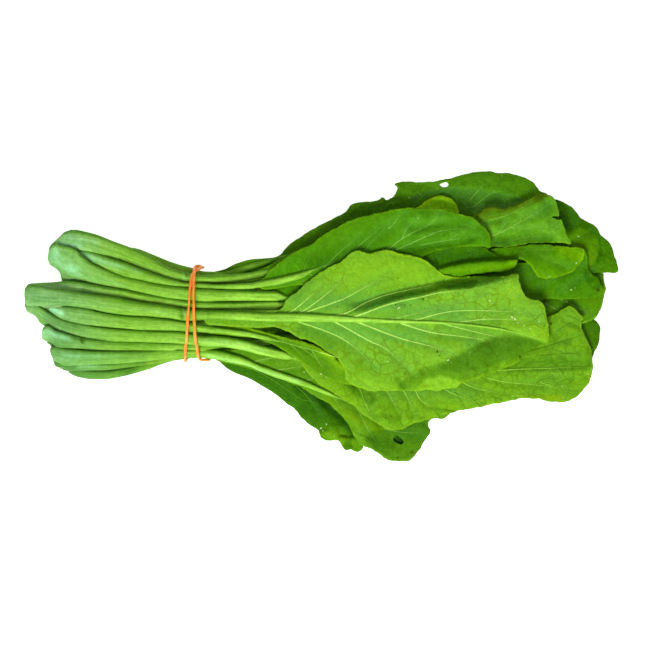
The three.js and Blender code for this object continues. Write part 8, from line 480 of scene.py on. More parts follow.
def spline_weights(coords, start, count):
    w = np.zeros((len(coords), count))
    u = (coords - start) / LS
    i = np.floor(u).astype(int)
    f = u - i
    for k, b in enumerate(((1 - f) ** 3 / 6, (3 * f ** 3 - 6 * f ** 2 + 4) / 6,
                           (-3 * f ** 3 + 3 * f ** 2 + 3 * f + 1) / 6, f ** 3 / 6)):
        q = np.clip(i - 1 + k, 0, count - 1)
        np.add.at(w, (np.arange(len(coords)), q), b)
    return w


WX = spline_weights(GX, LX0, LNX)
WY = spline_weights(GY, LY0, LNY)
Z = {}
for name in ORDER:
    i0, j0, rows = LATTICE[name]
    rows = np.array(rows, float)
    known = np.zeros((LNX, LNY), bool)
    z = np.full((LNX, LNY), 0.0)
    known[i0:i0 + rows.shape[0], j0:j0 + rows.shape[1]] = rows >= 0
    z[i0:i0 + rows.shape[0], j0:j0 + rows.shape[1]] = np.where(rows >= 0, rows / 100.0, 0)
    m = float(z[known].mean())
    f = np.where(known, z, m)
    for _ in range(260):
        g = np.pad(f, 1, mode='edge')
        avg = (g[:-2, 1:-1] + g[2:, 1:-1] + g[1:-1, :-2] + g[1:-1, 2:]) / 4
        f = np.where(known, z, avg)
    Z[name] = WX @ f @ WY.T + 0.35

# ------------------------------------------------------------------ petiole and midrib curves
STALK = {}


def through(u, vals, uu):
    """Smooth curve through the stations without overshoot."""
    d = np.zeros(len(u))
    h = np.diff(u)
    s = np.diff(vals) / h
    for k in range(1, len(u) - 1):
        if s[k - 1] * s[k] > 0:
            w1 = 2 * h[k] + h[k - 1]
            w2 = h[k] + 2 * h[k - 1]
            d[k] = (w1 + w2) / (w1 / s[k - 1] + w2 / s[k])
    d[0] = s[0]
    d[-1] = s[-1]
    k = np.clip(np.searchsorted(u, uu) - 1, 0, len(u) - 2)
    t = (uu - u[k]) / h[k]
    return ((2 * t ** 3 - 3 * t ** 2 + 1) * vals[k] + (t ** 3 - 2 * t ** 2 + t) * h[k] * d[k]
            + (-2 * t ** 3 + 3 * t ** 2) * vals[k + 1] + (t ** 3 - t ** 2) * h[k] * d[k + 1])


for name in ORDER:
    rows = np.array(STALKS[name], float)
    u = rows[:, 0]
    mid = catmull(MIDRIBS[name], 2.0)
    uu = np.arange(u[0], u[-1] + 0.5, 1.0)
    cy, cz, hw, hh, lean = (through(u, rows[:, k], uu) for k in range(1, 6))
    ymid = Y(np.interp(uu, mid[:, 0], mid[:, 1]))
    w = smooth01((uu - 300) / 30)
    cy = cy * (1 - w) + ymid * w
    for _ in range(4):
        cy[1:-1] = (cy[:-2] + 2 * cy[1:-1] + cy[2:]) / 4
        cz[1:-1] = (cz[:-2] + 2 * cz[1:-1] + cz[2:]) / 4
    for ua, ub, add, move, *ease in PRESS.get(name, []):
        run = ease[0] if ease else 8
        env = smooth01((uu - ua) / run + 0.5) * smooth01((ub - uu) / run + 0.5)
        hw = hw + add * env
        cy = cy + move * env
    if name in TAPER:
        ua, ub, f = TAPER[name]
        k = 1 - (1 - f) * smooth01((uu - ua) / (ub - ua))
        hw = hw * k
        hh = hh * k
        keep = smooth01((uu - ua) / (ub - ua))
    else:
        keep = np.zeros(len(uu))
    STALK[name] = dict(u=uu, x=X(uu), cy=cy, cz=cz, w=hw, h=hh, t=lean, thin=keep, r=hh)

# ------------------------------------------------------------------ folds, ruffles and marks, the marks partly painted shade and painted light
TINT_AND_LIGHT = {n: np.zeros((NX, NY, 3)) for n in ORDER}
EXTRA = {n: np.zeros((NX, NY)) for n in ORDER}


def fold(name, pts, profile, ends=(8, 8), sharp=False):
    """Add a height profile across a line. profile: (offset in units, + to the +Y side; height mm)."""
    p = mm(catmull(pts, 3.0))
    reach = max(abs(q[0]) for q in profile) * UNIT + 1
    sx, sy = box_of(p, reach)
    d, side, run, total = line_field(p, XX[sx, sy], YY[sx, sy])
    o = d * side / UNIT
    f = np.zeros(o.shape)
    for (o0, h0), (o1, h1) in zip(profile, profile[1:]):
        m = (o >= o0) & (o < o1)
        k = np.clip((o - o0) / (o1 - o0), 0, 1)
        f = np.where(m, h0 + (h1 - h0) * (k if sharp else smooth01(k)), f)
    env = np.ones(o.shape)
    if ends[0]:
        env = env * smooth01(run / (ends[0] * UNIT))
    if ends[1]:
        env = env * smooth01((total - run) / (ends[1] * UNIT))
    EXTRA[name][sx, sy] += f * env


def patch(name, pts, soft, tone=0.0, hue=0.0, brown=0.0):
    """Tint an area of the blade inside a closed line with a soft edge; the tone carries colour and, in many places,
    painted shade, painted shadow and painted light.
    """
    q = mm(catmull(pts, 4.0, closed=True))
    sx, sy = box_of(q, soft * UNIT)
    d = signed(q, XX[sx, sy], YY[sx, sy])
    g = smooth01(0.5 + d / (soft * UNIT))
    TINT_AND_LIGHT[name][sx, sy] += g[..., None] * np.array([tone, hue, brown])


def lump(name, u, v, radius, height):
    EXTRA[name] += height * np.exp(-((UU - u) ** 2 + (VV - v) ** 2) / radius ** 2)


def mark(name, pts, radius, tone=0.0, hue=0.0, brown=0.0):
    """Tint the blade along a line: tone darker or lighter, in many places painted shade, painted shadow and painted
    highlight; hue bluish green (in places a painted bluish reflection) or yellow; brown spots.
    """
    p = mm(pts if len(pts) == 1 else catmull(pts, 3.0))
    if len(p) == 1:
        p = np.vstack([p, p + 1e-4])
    r = radius * UNIT
    sx, sy = box_of(p, r * 2.4)
    d, _, _, _ = line_field(p, XX[sx, sy], YY[sx, sy])
    g = np.exp(-(d / r) ** 2)
    TINT_AND_LIGHT[name][sx, sy] += g[..., None] * np.array([tone, hue, brown])


for name in ORDER:
    seed = ORDER.index(name)
    calm = smooth01((XX - X(290)) / 60)
    EXTRA[name] += 0.55 * wave(XX, YY, 62, 300 + seed) * calm
    ruffle = np.exp(-np.maximum(SD[name], 0) / 7.0)
    EXTRA[name] += (0.75 * wave(XX, YY, 17, 500 + seed) + 0.35 * wave(XX, YY, 9, 600 + seed)) * ruffle * calm

# the top leaf: a steep pleat above its midrib and a soft roll along the lower margin
fold('B2', [(340, 316), (352, 314.5), (362, 312.6), (373, 309), (385, 304.8), (400, 300.6), (420, 296.4), (438, 292.2), (456, 289.8), (474, 287.6),
            (495, 282), (520, 273.5)], [(-32, 0), (-14, 1.0), (-3, 3.1), (0, 3.7), (1.5, 3.2), (11, -3.4), (14, -3.3), (22, -1.4), (38, 0)],
     ends=(22, 12), sharp=True)
fold('B2', [(400, 374), (440, 369), (480, 359), (515, 346), (545, 334)], [(-30, -2.4), (-14, -1.5), (0, 0), (14, 0.9), (34, 0)],
     ends=(30, 6))
fold('B2', [(505, 329), (525, 335), (547, 343)], [(-10, 0), (-1, -0.9), (3, 1.0), (12, 0.2), (16, 0)], ends=(8, 4))
# the dark upper leaf: a margin rolled over on itself
fold('A3', [(436, 271), (455, 266), (480, 262.5), (505, 261), (520, 259.5)], [(-14, -0.8), (-8, 0.3), (0, 2.8), (3, -2.4),
                                                                           (8, -2.2), (24, 0)], ends=(5, 4))
fold('A2', [(410, 251), (440, 245), (460, 243), (474, 235)], [(-7, 0), (0, -1.3), (7, 0.6), (16, 0)], ends=(6, 5))
fold('A2', [(405, 228), (440, 225), (474, 221)], [(-9, 0.4), (0, -1.1), (9, 0.5), (16, 0)], ends=(10, 4))
fold('A1b', [(384, 205), (395, 202), (406, 199.5)], [(-6, 0), (-1, 0.8), (2, -1.0), (7, 0)], ends=(3, 3))
fold('A1b', [(409, 197), (430, 190), (445, 187), (480, 189), (500, 192), (525, 199)], [(-22, 0), (-2, -0.5), (0.6, 0.7), (10, 0)],
     ends=(8, 8))
fold('A1', [(481, 221), (500, 216.5), (519, 209)], [(-9, 0), (-1, -0.9), (2, 0.9), (9, 0)], ends=(5, 4))
fold('A1', [(490, 240), (520, 235), (552, 231)], [(-10, -1.0), (0, 0.0), (8, 0.8), (18, 0)], ends=(6, 4))
fold('A4', [(594, 240), (600, 248), (606, 256)], [(-6, 0), (0, -1.0), (6, 0)], ends=(4, 4))
fold('B1', [(556, 248), (566, 258), (578, 266)], [(-10, 0), (0, 1.2), (10, 0)], ends=(6, 4))
# the lower right leaf: a valley along its midrib and a crinkled near end
fold('B4', [(498, 366), (540, 365), (592, 364)], [(-8, 0.3), (0, -1.5), (9, 0.6), (20, 0)], ends=(14, 4))
fold('B4', [(560, 318), (572, 323), (584, 329)], [(-5, 0), (0, -1.0), (5, 0)], ends=(4, 3))
fold('B4', [(430, 392), (480, 398), (540, 396)], [(-16, -1.2), (0, 0.6), (14, 0)], ends=(14, 8))
EXTRA['B4'] += 0.8 * wave(XX, YY, 8, 41) * np.exp(-((UU - 392) ** 2 / 26 ** 2 + (VV - 419) ** 2 / 12 ** 2))
# the leaf beside it: its upper margin is rolled to a strip
fold('B3', [(245, 327.5), (262, 331.5), (300, 341), (325, 352), (345, 368)], [(-7, 0), (-1, 1.1), (3, 0.6), (8, -0.8)], ends=(6, 5))
# the lower left leaf: a crinkled tip
EXTRA['D2'] += (1.5 * wave(XX, YY, 9, 42) + 0.9 * wave(XX, YY, 5, 43)) * np.exp(-((UU - 342) ** 2 / 26 ** 2 + (VV - 438) ** 2 / 16 ** 2))
fold('D2', [(318, 398), (332, 410), (346, 423)], [(-7, 0), (0, -1.5), (7, 0.3), (10, 0)], ends=(5, 5))
fold('D1', [(330, 400), (345, 412), (380, 432)], [(-12, -0.8), (0, 0.8), (8, 0)], ends=(5, 5))

# colour marks: tone, hue, brown; many tone marks are painted shade, painted shadow and painted highlight, and some
# bluish hue marks are a painted reflection
mark('B2', [(300, 305), (350, 302), (420, 309), (460, 314)], 9, -0.05, -0.45)
mark('B2', [(310, 326), (350, 332), (420, 334)], 9, -0.03, -0.4)
mark('B2', [(345, 275), (375, 266), (400, 268), (440, 278)], 14, 0.04, 0.5)
# painted shade: the lower end of the top leaf, darkened and shifted towards olive
patch('B2', [(398, 386), (408, 377), (425, 368), (445, 361), (462, 352), (480, 343), (500, 338), (520, 337), (541, 341.5), (547, 345),
             (535, 356), (503, 370), (480, 376), (464, 381), (445, 376), (428, 378), (412, 390)], 4, -0.68, 0.3)
# painted shade on the steep face of the pleat above the midrib, in two layers
patch('B2', [(362, 311.6), (373, 308.4), (385, 304.4), (400, 300.2), (420, 296), (438, 291.8), (456, 289.2), (474, 287), (478, 280.8), (452, 284.6),
             (430, 288.4), (406, 292.8), (388, 297.4), (374, 303), (364, 308.4)], 3, -0.5, 0)
patch('B2', [(378, 305.8), (388, 302.4), (404, 298.4), (420, 295), (438, 290.8), (456, 288.4), (476, 286.4), (478, 281.2), (452, 285),
             (430, 289), (408, 293.6), (392, 298), (382, 302.6)], 2.5, -0.42, 0)
# painted shadow cast by the upper flap
patch('B2', [(434, 284), (448, 280), (462, 278.6), (478, 276.2), (500, 277.6), (516, 275.6), (495, 282.5), (474, 287.5), (455, 290)], 3, -0.75, 0)
patch('B2', [(410, 388), (412, 381), (430, 378), (446, 377), (462, 380), (458, 385), (440, 388)], 2.2, 0.04, 0.3)
patch('B2', [(488, 369), (494, 363), (506, 361), (503, 367), (494, 371)], 2, 0.12, 0.4)
# the paler midrib, partly a painted highlight
mark('B2', [(300, 318), (345, 319.5), (400, 321.5), (440, 323)], 2.6, 0.22, 0.0)
mark('B2', [(515, 275), (525, 284), (540, 290), (547, 305)], 3, 0.0, 0.4)
mark('B2', [(357, 366), (375, 376), (392, 384)], 5, -0.2, 0.4)
# yellow strip above the lower fold, partly a painted highlight on its crest
mark('B2', [(505, 322), (525, 327), (545, 336)], 4, 0.12, 0.6)
mark('B2', [(412, 385), (440, 384), (460, 378)], 5, 0.02, 0.15)
mark('B2', [(398, 380), (402, 388)], 3.6, -0.55, 0.2)
mark('B2', [(402, 304)], 2.5, -0.4)
mark('B2', [(421, 299)], 2.2, -0.4)
mark('A2', [(395, 226), (440, 215), (470, 222)], 10, -0.05, -0.12)
# painted shade on A2 beside the top leaf's margin and in its crease
mark('A2', [(350, 262), (400, 258), (430, 255)], 8, -0.35, 0.1)
mark('A2', [(410, 229), (440, 226), (470, 221)], 3.5, -0.25)
# painted reflection: a pale bluish sheen band below the crease of A1b
patch('A1b', [(409, 198.5), (420, 194), (432, 189.5), (445, 187.3), (462, 187.6), (480, 189.2), (500, 193), (525, 199.4), (516, 206), (495, 212),
              (478, 214), (466, 210), (458, 201), (448, 196), (434, 194.6), (422, 198), (412, 203)], 1.2, 0.16, -0.9)
# painted light where the shadow of A1 falls on A1b
patch('A1b', [(470, 211), (486, 205), (505, 203), (522, 199), (534, 192), (541, 190), (536, 198), (520, 208), (500, 214), (484, 219)], 5, 0.55, 0)
mark('A1b', [(330, 222), (360, 212), (385, 206)], 8, -0.12)
mark('A1', [(470, 217), (483, 210), (493, 207), (503, 209), (520, 204), (532, 197), (548, 195)], 2.4, -0.1, 0.5, 0.06)
patch('A1', [(471, 226), (476, 213), (484, 206), (493, 203.5), (503, 207), (515, 205), (528, 197), (540, 190), (549, 193), (541, 200.5), (522, 209.5), (505, 216), (490, 220), (480, 223.6)], 1.3, -0.25, 0.6, 0.1)
# painted shade along the lower margin of A1
mark('A1', [(490, 244), (506, 242)], 5, -0.5, 0)
mark('A1', [(494, 244), (512, 242), (530, 240), (548, 240)], 5.5, -0.75, 0.1)
mark('A1', [(540, 202), (552, 210)], 8, -0.35, 0)
patch('A1', [(532, 214), (537, 209), (545, 206.6), (552, 208), (552, 214), (545, 217), (537, 217)], 1.6, -0.22, -0.12)
mark('A1', [(535, 212), (545, 212)], 8, 0.0, -0.22)
mark('A1', [(494, 235)], 3, 0.1, 0.2, 0.15)
mark('B5', [(598, 290)], 2.0, -0.2, 0, 0.8)
mark('B5', [(594, 284)], 2.5, 0.6)
mark('B5', [(590, 276)], 2.5, 0.5)
mark('B1', [(562, 250), (575, 254), (584, 258)], 6, 0.3, 0.5)
# painted shadow on B1 beside the margin of A1
mark('B1', [(490, 250), (510, 252), (538, 254)], 9, -0.42)
mark('B4', [(551, 324)], 1.3, -0.2, 0, 0.6)
# painted bluish reflection on B4 near the top leaf's margin
mark('B4', [(380, 393), (420, 392), (470, 391)], 9, 0, -0.55)
# painted shade in the valley along the midrib of B4
mark('B4', [(505, 362), (545, 361), (590, 362)], 5, -0.42)
mark('B4', [(520, 398), (560, 398)], 3, -0.05, 0.8, 0.1)
mark('B3', [(245, 328), (262, 332), (300, 341), (325, 352), (343, 367)], 3.5, 0.08, 0.35)
mark('B3', [(322, 352), (333, 357)], 1.6, 0.6)
mark('D1', [(330, 400), (345, 412), (380, 430)], 5, -0.1, 0.8)
mark('D1', [(412, 452)], 1.8, 0, 0, 0.6)
mark('D1', [(398, 458)], 1.5, 0, 0, 0.5)
mark('D1', [(405, 432), (428, 436)], 6, 0.05, -0.5)
mark('D1', [(405, 424), (426, 423)], 4, -0.4)
mark('D2', [(330, 430), (350, 445)], 12, 0.25, 0.2)
# painted shade in the crease of D2
mark('D2', [(318, 398), (346, 423)], 4, -0.5)
mark('E1', [(418, 205), (440, 196), (456, 198)], 2.0, 0, 0.35, 0.03)
mark('A4', [(560, 205), (590, 230)], 12, -0.5)
patch('A4', [(571, 231), (580, 229), (590, 231), (597.5, 239), (599, 248), (596, 259), (588, 268), (580, 262), (584, 250), (572, 246)], 1.2, 0.2, 0.5)
mark('A4', [(599.5, 241), (601, 250), (597, 262)], 1.6, -0.5)

# painted highlight on the lit side of the rolled margin of A3, with a yellow hue
mark('A3', [(445, 271), (470, 268), (505, 265), (515, 264)], 4.5, 0.22, 0.4)
# painted shade behind the rolled margin of A3
mark('A3', [(440, 256), (480, 254), (500, 258)], 8, -0.6, 0)
mark('A3', [(425, 262), (445, 262), (470, 260)], 5, -0.3, 0)
# painted shade on A2 beside the top leaf's margin
mark('A2', [(315, 262), (345, 258), (390, 258)], 9, -0.25, 0.0)
mark('B2', [(386, 251), (400, 254), (430, 262), (445, 275), (462, 277.5), (478, 276)], 2.0, 0.15, 0.8)
# painted shade: D3 is darkened under the hole in D1
patch('D3', [(388, 440), (397, 432), (408, 437), (408, 446), (398, 449)], 6, -2.2, 0)
patch('D2', [(320, 434), (330, 430), (344, 433), (350, 441), (344, 447), (333, 445), (325, 441)], 4, 0.3, 0.25)
patch('D2', [(351, 438), (358, 431), (368, 432), (374, 440), (371, 449), (362, 453), (354, 450)], 3, 0.3, 0.2)
# painted shade in the fold between the lobes of D2
mark('D2', [(350, 428), (352, 437), (346, 443)], 2.2, -0.6, 0)
mark('B5', [(528, 276), (536, 284), (540, 292)], 6, -0.2, 0)
mark('B5', [(505, 268), (520, 273)], 8, 0.3, 0)
# yellow strip above the lower fold, partly a painted highlight on its crest
mark('B2', [(520, 318), (535, 326), (546, 334)], 3, 0.10, 0.3)
mark('B2', [(354, 376), (380, 386), (398, 389)], 3, 0.02, 0.35)
mark('B2', [(470, 345), (490, 350)], 6, -0.12, -0.5)
# painted shade under the crest of the top leaf's lower fold
patch('B2', [(484, 341), (502, 334.5), (516, 335), (530, 338.6), (545, 344), (537, 353), (522, 359), (500, 364), (480, 369), (455, 372), (440, 368), (455, 358), (470, 350)], 3, -0.36, 0.1)
mark('B2', [(505, 290), (520, 290), (535, 292)], 7, 0.2, 0.1)
mark('B2', [(440, 336), (470, 336)], 6, -0.18, 0)
patch('B2', [(499, 363), (505, 359.5), (512, 358.6), (509, 363.4), (503, 366.4)], 1.4, 0.3, -0.2)
# painted shade on D3 between D2 and D1
mark('D3', [(300, 380), (340, 405), (370, 425)], 12, -0.6)
# painted light: E1 lightened where A2 shades it
patch('E1', [(405, 190), (465, 190), (465, 216), (405, 216)], 2, 1.1, 0)
# painted shadow along D2 beside the margin of D1
mark('D2', [(300, 386), (325, 403), (348, 424), (356, 432)], 6, -0.75, 0)
# painted shade along the lower strip of A2 beside the top leaf's margin
mark('A2', [(320, 268), (350, 260), (385, 256), (430, 258)], 6, -0.3, 0)
mark('A2', [(385, 257), (405, 250), (430, 246), (452, 244), (472, 240)], 5.5, -0.5, 0)
mark('A2', [(310, 262), (345, 250), (380, 236)], 12, -0.3, 0)
EXTRA['B2'] += 0.7 * wave(XX, YY, 7, 51) * np.exp(-((VV - 374) ** 2 / 10 ** 2)) * smooth01((UU - 400) / 20)
mark('B4', [(384, 415), (396, 424)], 4, -0.3, 0)
mark('B4', [(480, 352), (505, 353), (530, 348)], 4, -0.3, 0)
# painted shade on the top leaf's lower left lamina
mark('B2', [(300, 330), (316, 338), (330, 346)], 7, -0.34, 0)
mark('B2', [(330, 345), (350, 356), (372, 364), (392, 366)], 11, -0.2, 0)
mark('B2', [(430, 275), (445, 277)], 6, -0.12, -0.2)
mark('B2', [(515, 290), (530, 292)], 6, 0.08, 0)
# painted shade on B4 below the top leaf's lower margin
patch('B4', [(334, 366), (346, 366), (356, 377), (366, 388), (376, 396), (372, 406), (360, 398), (346, 386), (336, 374)], 3.5, -0.55, 0)
mark('B4', [(352, 372), (366, 384), (382, 392)], 5, -0.18, 0)
mark('B4', [(372, 398), (390, 408)], 7, -0.14, 0)
mark('B4', [(430, 366), (450, 368)], 6, -0.2, 0)
# painted shade in the hollow between the top leaf and B3
mark('B3', [(268, 338), (290, 344), (310, 352)], 4, -0.38, 0)
mark('B3', [(320, 372), (336, 378)], 8, -0.14, 0)
mark('D1', [(344, 398), (362, 408), (378, 420)], 6, -0.25, 0)
patch('D1', [(366, 436), (374, 430), (390, 430), (410, 424), (428, 424), (428, 444), (416, 456), (396, 460), (380, 452), (366, 444)], 3, -0.45, 0)
mark('D1', [(374, 440), (386, 446)], 6, -0.25, 0)
mark('D1', [(288, 372), (310, 378)], 7, -0.18, 0)
mark('D2', [(310, 412), (328, 422)], 8, -0.1, 0)
mark('A1b', [(470, 186), (492, 190)], 6, 0.1, 0)
mark('B4', [(342, 376), (352, 386)], 7, -0.45, 0)
mark('D1', [(378, 440), (410, 432)], 9, -0.12, 0)
mark('D1', [(340, 396), (356, 404)], 6, -0.15, 0)
mark('D2', [(300, 376), (330, 404)], 5, -0.15, 0)
mark('A1b', [(408, 194), (420, 198)], 4, 0.4, 0)
mark('B4', [(552, 338), (566, 342)], 6, -0.24, 0)
mark('B4', [(588, 342), (591, 352), (590, 362)], 4, -0.2, 0)
mark('B2', [(292, 296), (302, 289), (310, 284)], 5, -0.12, -0.3)
mark('C2', [(594, 322), (599, 334), (596, 348)], 9, -0.55, 0)
patch('B5', [(584, 270), (592, 268), (600, 276), (602, 286), (594, 290), (588, 284)], 3.5, -0.55, 0)
mark('B5', [(590, 296), (597, 294)], 4, -0.3, 0)
mark('C1', [(548, 302), (558, 303), (566, 306)], 5, -0.5, 0)
mark('A1b', [(236, 270), (252, 268)], 5, 0.25, 0)
mark('A1b', [(285, 250), (310, 236), (335, 222)], 6, 0.15, 0)


# ------------------------------------------------------------------ veins
def auto_veins(name, spacing, taken):
    """Side veins from the midrib to the margin on both sides."""
    st = STALK[name]
    r = np.random.RandomState(900 + ORDER.index(name))
    out = []
    x = st['x']
    y = st['cy']
    start = max(X(285), x[0])
    stop = x[-1] - 7
    for side in (1, -1):
        s = start + r.uniform(0, spacing)
        while s < stop:
            k = int(np.clip(np.searchsorted(x, s), 1, len(x) - 2))
            t = math.atan2(y[k + 1] - y[k - 1], x[k + 1] - x[k - 1])
            f = (s - start) / max(1.0, stop - start)
            ang = math.radians(46 - 12 * f + r.uniform(-4, 4))
            p = np.array([s, y[k]])
            line = [p.copy()]
            free = True
            for q in taken:
                if abs(q[0] - s) < spacing * 0.55 and q[1] == side:
                    free = False
            dist = 0.0
            while free and dist < 75:
                a = t + side * ang
                p = p + 2.2 * np.array([math.cos(a), math.sin(a)])
                dist += 2.2
                if samp(SD[name], p[0], p[1]) < 2.2:
                    break
                line.append(p.copy())
                ang = max(math.radians(13), ang * 0.965 + math.radians(r.uniform(-0.9, 0.9)))
            if free and dist > 9:
                out.append((np.array(line), 0.66 - 0.2 * f, 0.26, 2))
            s += spacing * r.uniform(0.75, 1.25)
    return out


VEIN = {}
for name in ORDER:
    hand = []
    taken = []
    st = STALK[name]
    for pts, w0, w1, kind in VEINS.get(name, []):
        p = mm(catmull(pts, 3.0))
        hand.append((p, w0, w1, kind))
        k = int(np.clip(np.searchsorted(st['x'], p[0, 0]), 0, len(st['x']) - 1))
        taken.append((p[0, 0], 1 if p[-1, 1] > st['cy'][k] else -1))
    VEIN[name] = hand + (auto_veins(name, 13.0, taken) if name not in ('B2', 'D2', 'B1', 'B4') else [])

PUCKER = 0.6
HALO = {'B2': 0.3, 'B4': 0.28, 'A1': 0.3, 'A2': 0.25, 'B3': 0.25, 'D1': 0.2, 'E1': 0.0}
for name in ORDER:
    d2 = np.full((NX, NY), 1e9)
    for line, w0, w1, kind in VEIN[name]:
        q = line[::2] if len(line) > 5 else line
        if not np.array_equal(q[-1], line[-1]):
            q = np.vstack([q, line[-1]])
        sx, sy = box_of(q, 9.0)
        d, _, _, _ = line_field(q, XX[sx, sy], YY[sx, sy])
        d2[sx, sy] = np.minimum(d2[sx, sy], d)
    edge = smooth01(SD[name] / 5)
    halo = np.exp(-(np.minimum(d2, 20) / 3.2) ** 2) * smooth01((XX - X(285)) / 30)
    TINT_AND_LIGHT[name][..., 1] += HALO.get(name, 0.12) * (0.45 - halo * 1.3) * smooth01((XX - X(285)) / 30)
    EXTRA[name] += PUCKER * (1 - np.exp(-(np.minimum(d2, 20) / 2.6) ** 2)) * edge * smooth01((XX - X(270)) / 20)
    Z[name] = Z[name] + EXTRA[name]


# ------------------------------------------------------------------ draping
def rib_level(name):
    """Level of the blade's middle where it joins the midrib, along the grid's x."""
    st = STALK[name]
    prot = -0.3 if name in DOWN else 0.3
    return np.interp(GX, st['x'], st['cz'] - prot * st['r']), np.interp(GX, st['x'], st['cy'])


def stalk_faces(name):
    """Top and bottom of the petiole over the plan grid, and where it is."""
    st = STALK[name]
    cy = np.interp(GX, st['x'], st['cy'])[:, None]
    cz = np.interp(GX, st['x'], st['cz'])[:, None]
    w = np.interp(GX, st['x'], st['w'])[:, None]
    h = np.interp(GX, st['x'], st['h'])[:, None]
    lean = np.interp(GX, st['x'], st['t'])[:, None]
    dy = YY - cy
    rm = np.minimum(w, h)
    over = np.abs(dy) - (w - rm)
    on = (over < rm) & (XX < st['x'][-1]) & (XX > st['x'][0])
    c = h * np.sqrt(np.clip(1 - (np.maximum(over, 0) / rm) ** 2, 0, 1))
    return cz + lean * dy + c, cz + lean * dy - c, on


def spread(q, rounds=14, r=3):
    p = q.copy()
    for _ in range(rounds):
        p = np.maximum(q, blur_wide(p, r) * 0.985)
    return p


FACES = {n: stalk_faces(n) for n in ORDER}
near = 1 - smooth01((UU - 300) / 60)  # where the solved petioles hold the blades
for k, name in enumerate(ORDER):
    z = Z[name]
    lev, mid = rib_level(name)
    at = samp(z, GX, mid)
    d = YY - mid[:, None]
    z = z + ((lev - at)[:, None]) * np.exp(-(d / 11.0) ** 2) * near
    # dip under petioles that lie on this blade
    dent = np.zeros((NX, NY))
    for other in ORDER[k + 1:]:
        top, bottom, on = FACES[other]
        on = on & (UU < 345)
        own = np.exp(-(d / 3.0) ** 2)
        dent = np.maximum(dent, np.where(on, np.clip(z - (bottom - 0.4), 0, 6), 0) * (1 - 0.8 * own))
    z = z - spread(dent, 6, 2)
    Z[name] = np.maximum(z, 0.3)

TOP = np.full((NX, NY), -50.0)
PUSH = {}
for k, name in enumerate(ORDER):
    z = Z[name]
    here = SD[name] > -1.2
    need = TOP + 0.62 - z
    q = np.where(here & (TOP > -40), np.maximum(need, 0), 0)
    q = q * smooth01((UU - 262) / 36)
    q = spread(q, 12, 3)
    z = z + q
    PUSH[name] = q
    Z[name] = z
    body = SD[name] > -0.6
    # the midrib stands on the blade
    st = STALK[name]
    mid = np.interp(GX, st['x'], st['cy'])[:, None]
    r = np.interp(GX, st['x'], st['r'])[:, None]
    rib = np.where((np.abs(YY - mid) < r * 1.1) & (XX < st['x'][-1]), r * (0.55 if name in DOWN else 1.15), 0)
    TOP = np.where(body, np.maximum(TOP, z + 0.2 + rib * smooth01((UU - 300) / 40)), TOP)


# ------------------------------------------------------------------ mesh building
class Shape:
    def __init__(self):
        self.v = []
        self.f = []
        self.kind = []  # rib, vein, cut
        self.loc = []
        self.tint = []
        self.edge = []
        self.grow = []
        self.side = []
        self.n = 0

    def add(self, v, f, kind=(0, 0, 0), loc=None, tint=None, edge=None, grow=None, side=None):
        v = np.asarray(v, float)
        m = len(v)
        full = lambda a, w: np.broadcast_to(np.asarray(a, float), (m, w) if w > 1 else (m,)).copy()
        self.v.append(v)
        self.f.append(np.asarray(f, int) + self.n)
        self.kind.append(full(kind, 3))
        self.loc.append(full(0 if loc is None else loc, 3))
        self.tint.append(full(0 if tint is None else tint, 3))
        self.edge.append(full(20 if edge is None else edge, 1))
        self.grow.append(full(1 if grow is None else grow, 1))
        self.side.append(full(1 if side is None else side, 1))
        self.n += m

    def mesh(self, name):
        v = np.vstack(self.v)
        f = np.vstack(self.f)
        k = (REF_LEVEL + CAM_DISTANCE - v[:, 2]) / CAM_DISTANCE
        v = v.copy()
        v[:, 0] = AIM[0] + (v[:, 0] - AIM[0]) * k
        v[:, 1] = AIM[1] + (v[:, 1] - AIM[1]) * k
        v *= 0.001
        me = bpy.data.meshes.new(name)
        me.vertices.add(len(v))
        me.vertices.foreach_set('co', v.ravel())
        me.loops.add(f.size)
        me.loops.foreach_set('vertex_index', f.ravel().astype(np.int32))
        me.polygons.add(len(f))
        me.polygons.foreach_set('loop_start', np.arange(0, f.size, 3, dtype=np.int32))
        me.polygons.foreach_set('loop_total', np.full(len(f), 3, np.int32))
        me.polygons.foreach_set('use_smooth', np.ones(len(f), bool))
        me.update(calc_edges=True)
        me.validate()
        for key, arr, kind in (('kind', self.kind, 'FLOAT_VECTOR'), ('loc', self.loc, 'FLOAT_VECTOR'),
                               ('tint', self.tint, 'FLOAT_VECTOR'), ('edge', self.edge, 'FLOAT'),
                               ('grow', self.grow, 'FLOAT'), ('side', self.side, 'FLOAT')):
            a = me.attributes.new(key, kind, 'POINT')
            data = np.concatenate(arr) if kind == 'FLOAT' else np.vstack(arr)
            a.data.foreach_set('vector' if kind == 'FLOAT_VECTOR' else 'value', data.ravel().astype(np.float32))
        ob = bpy.data.objects.new(name, me)
        bpy.context.scene.collection.objects.link(ob)
        return ob, len(f)


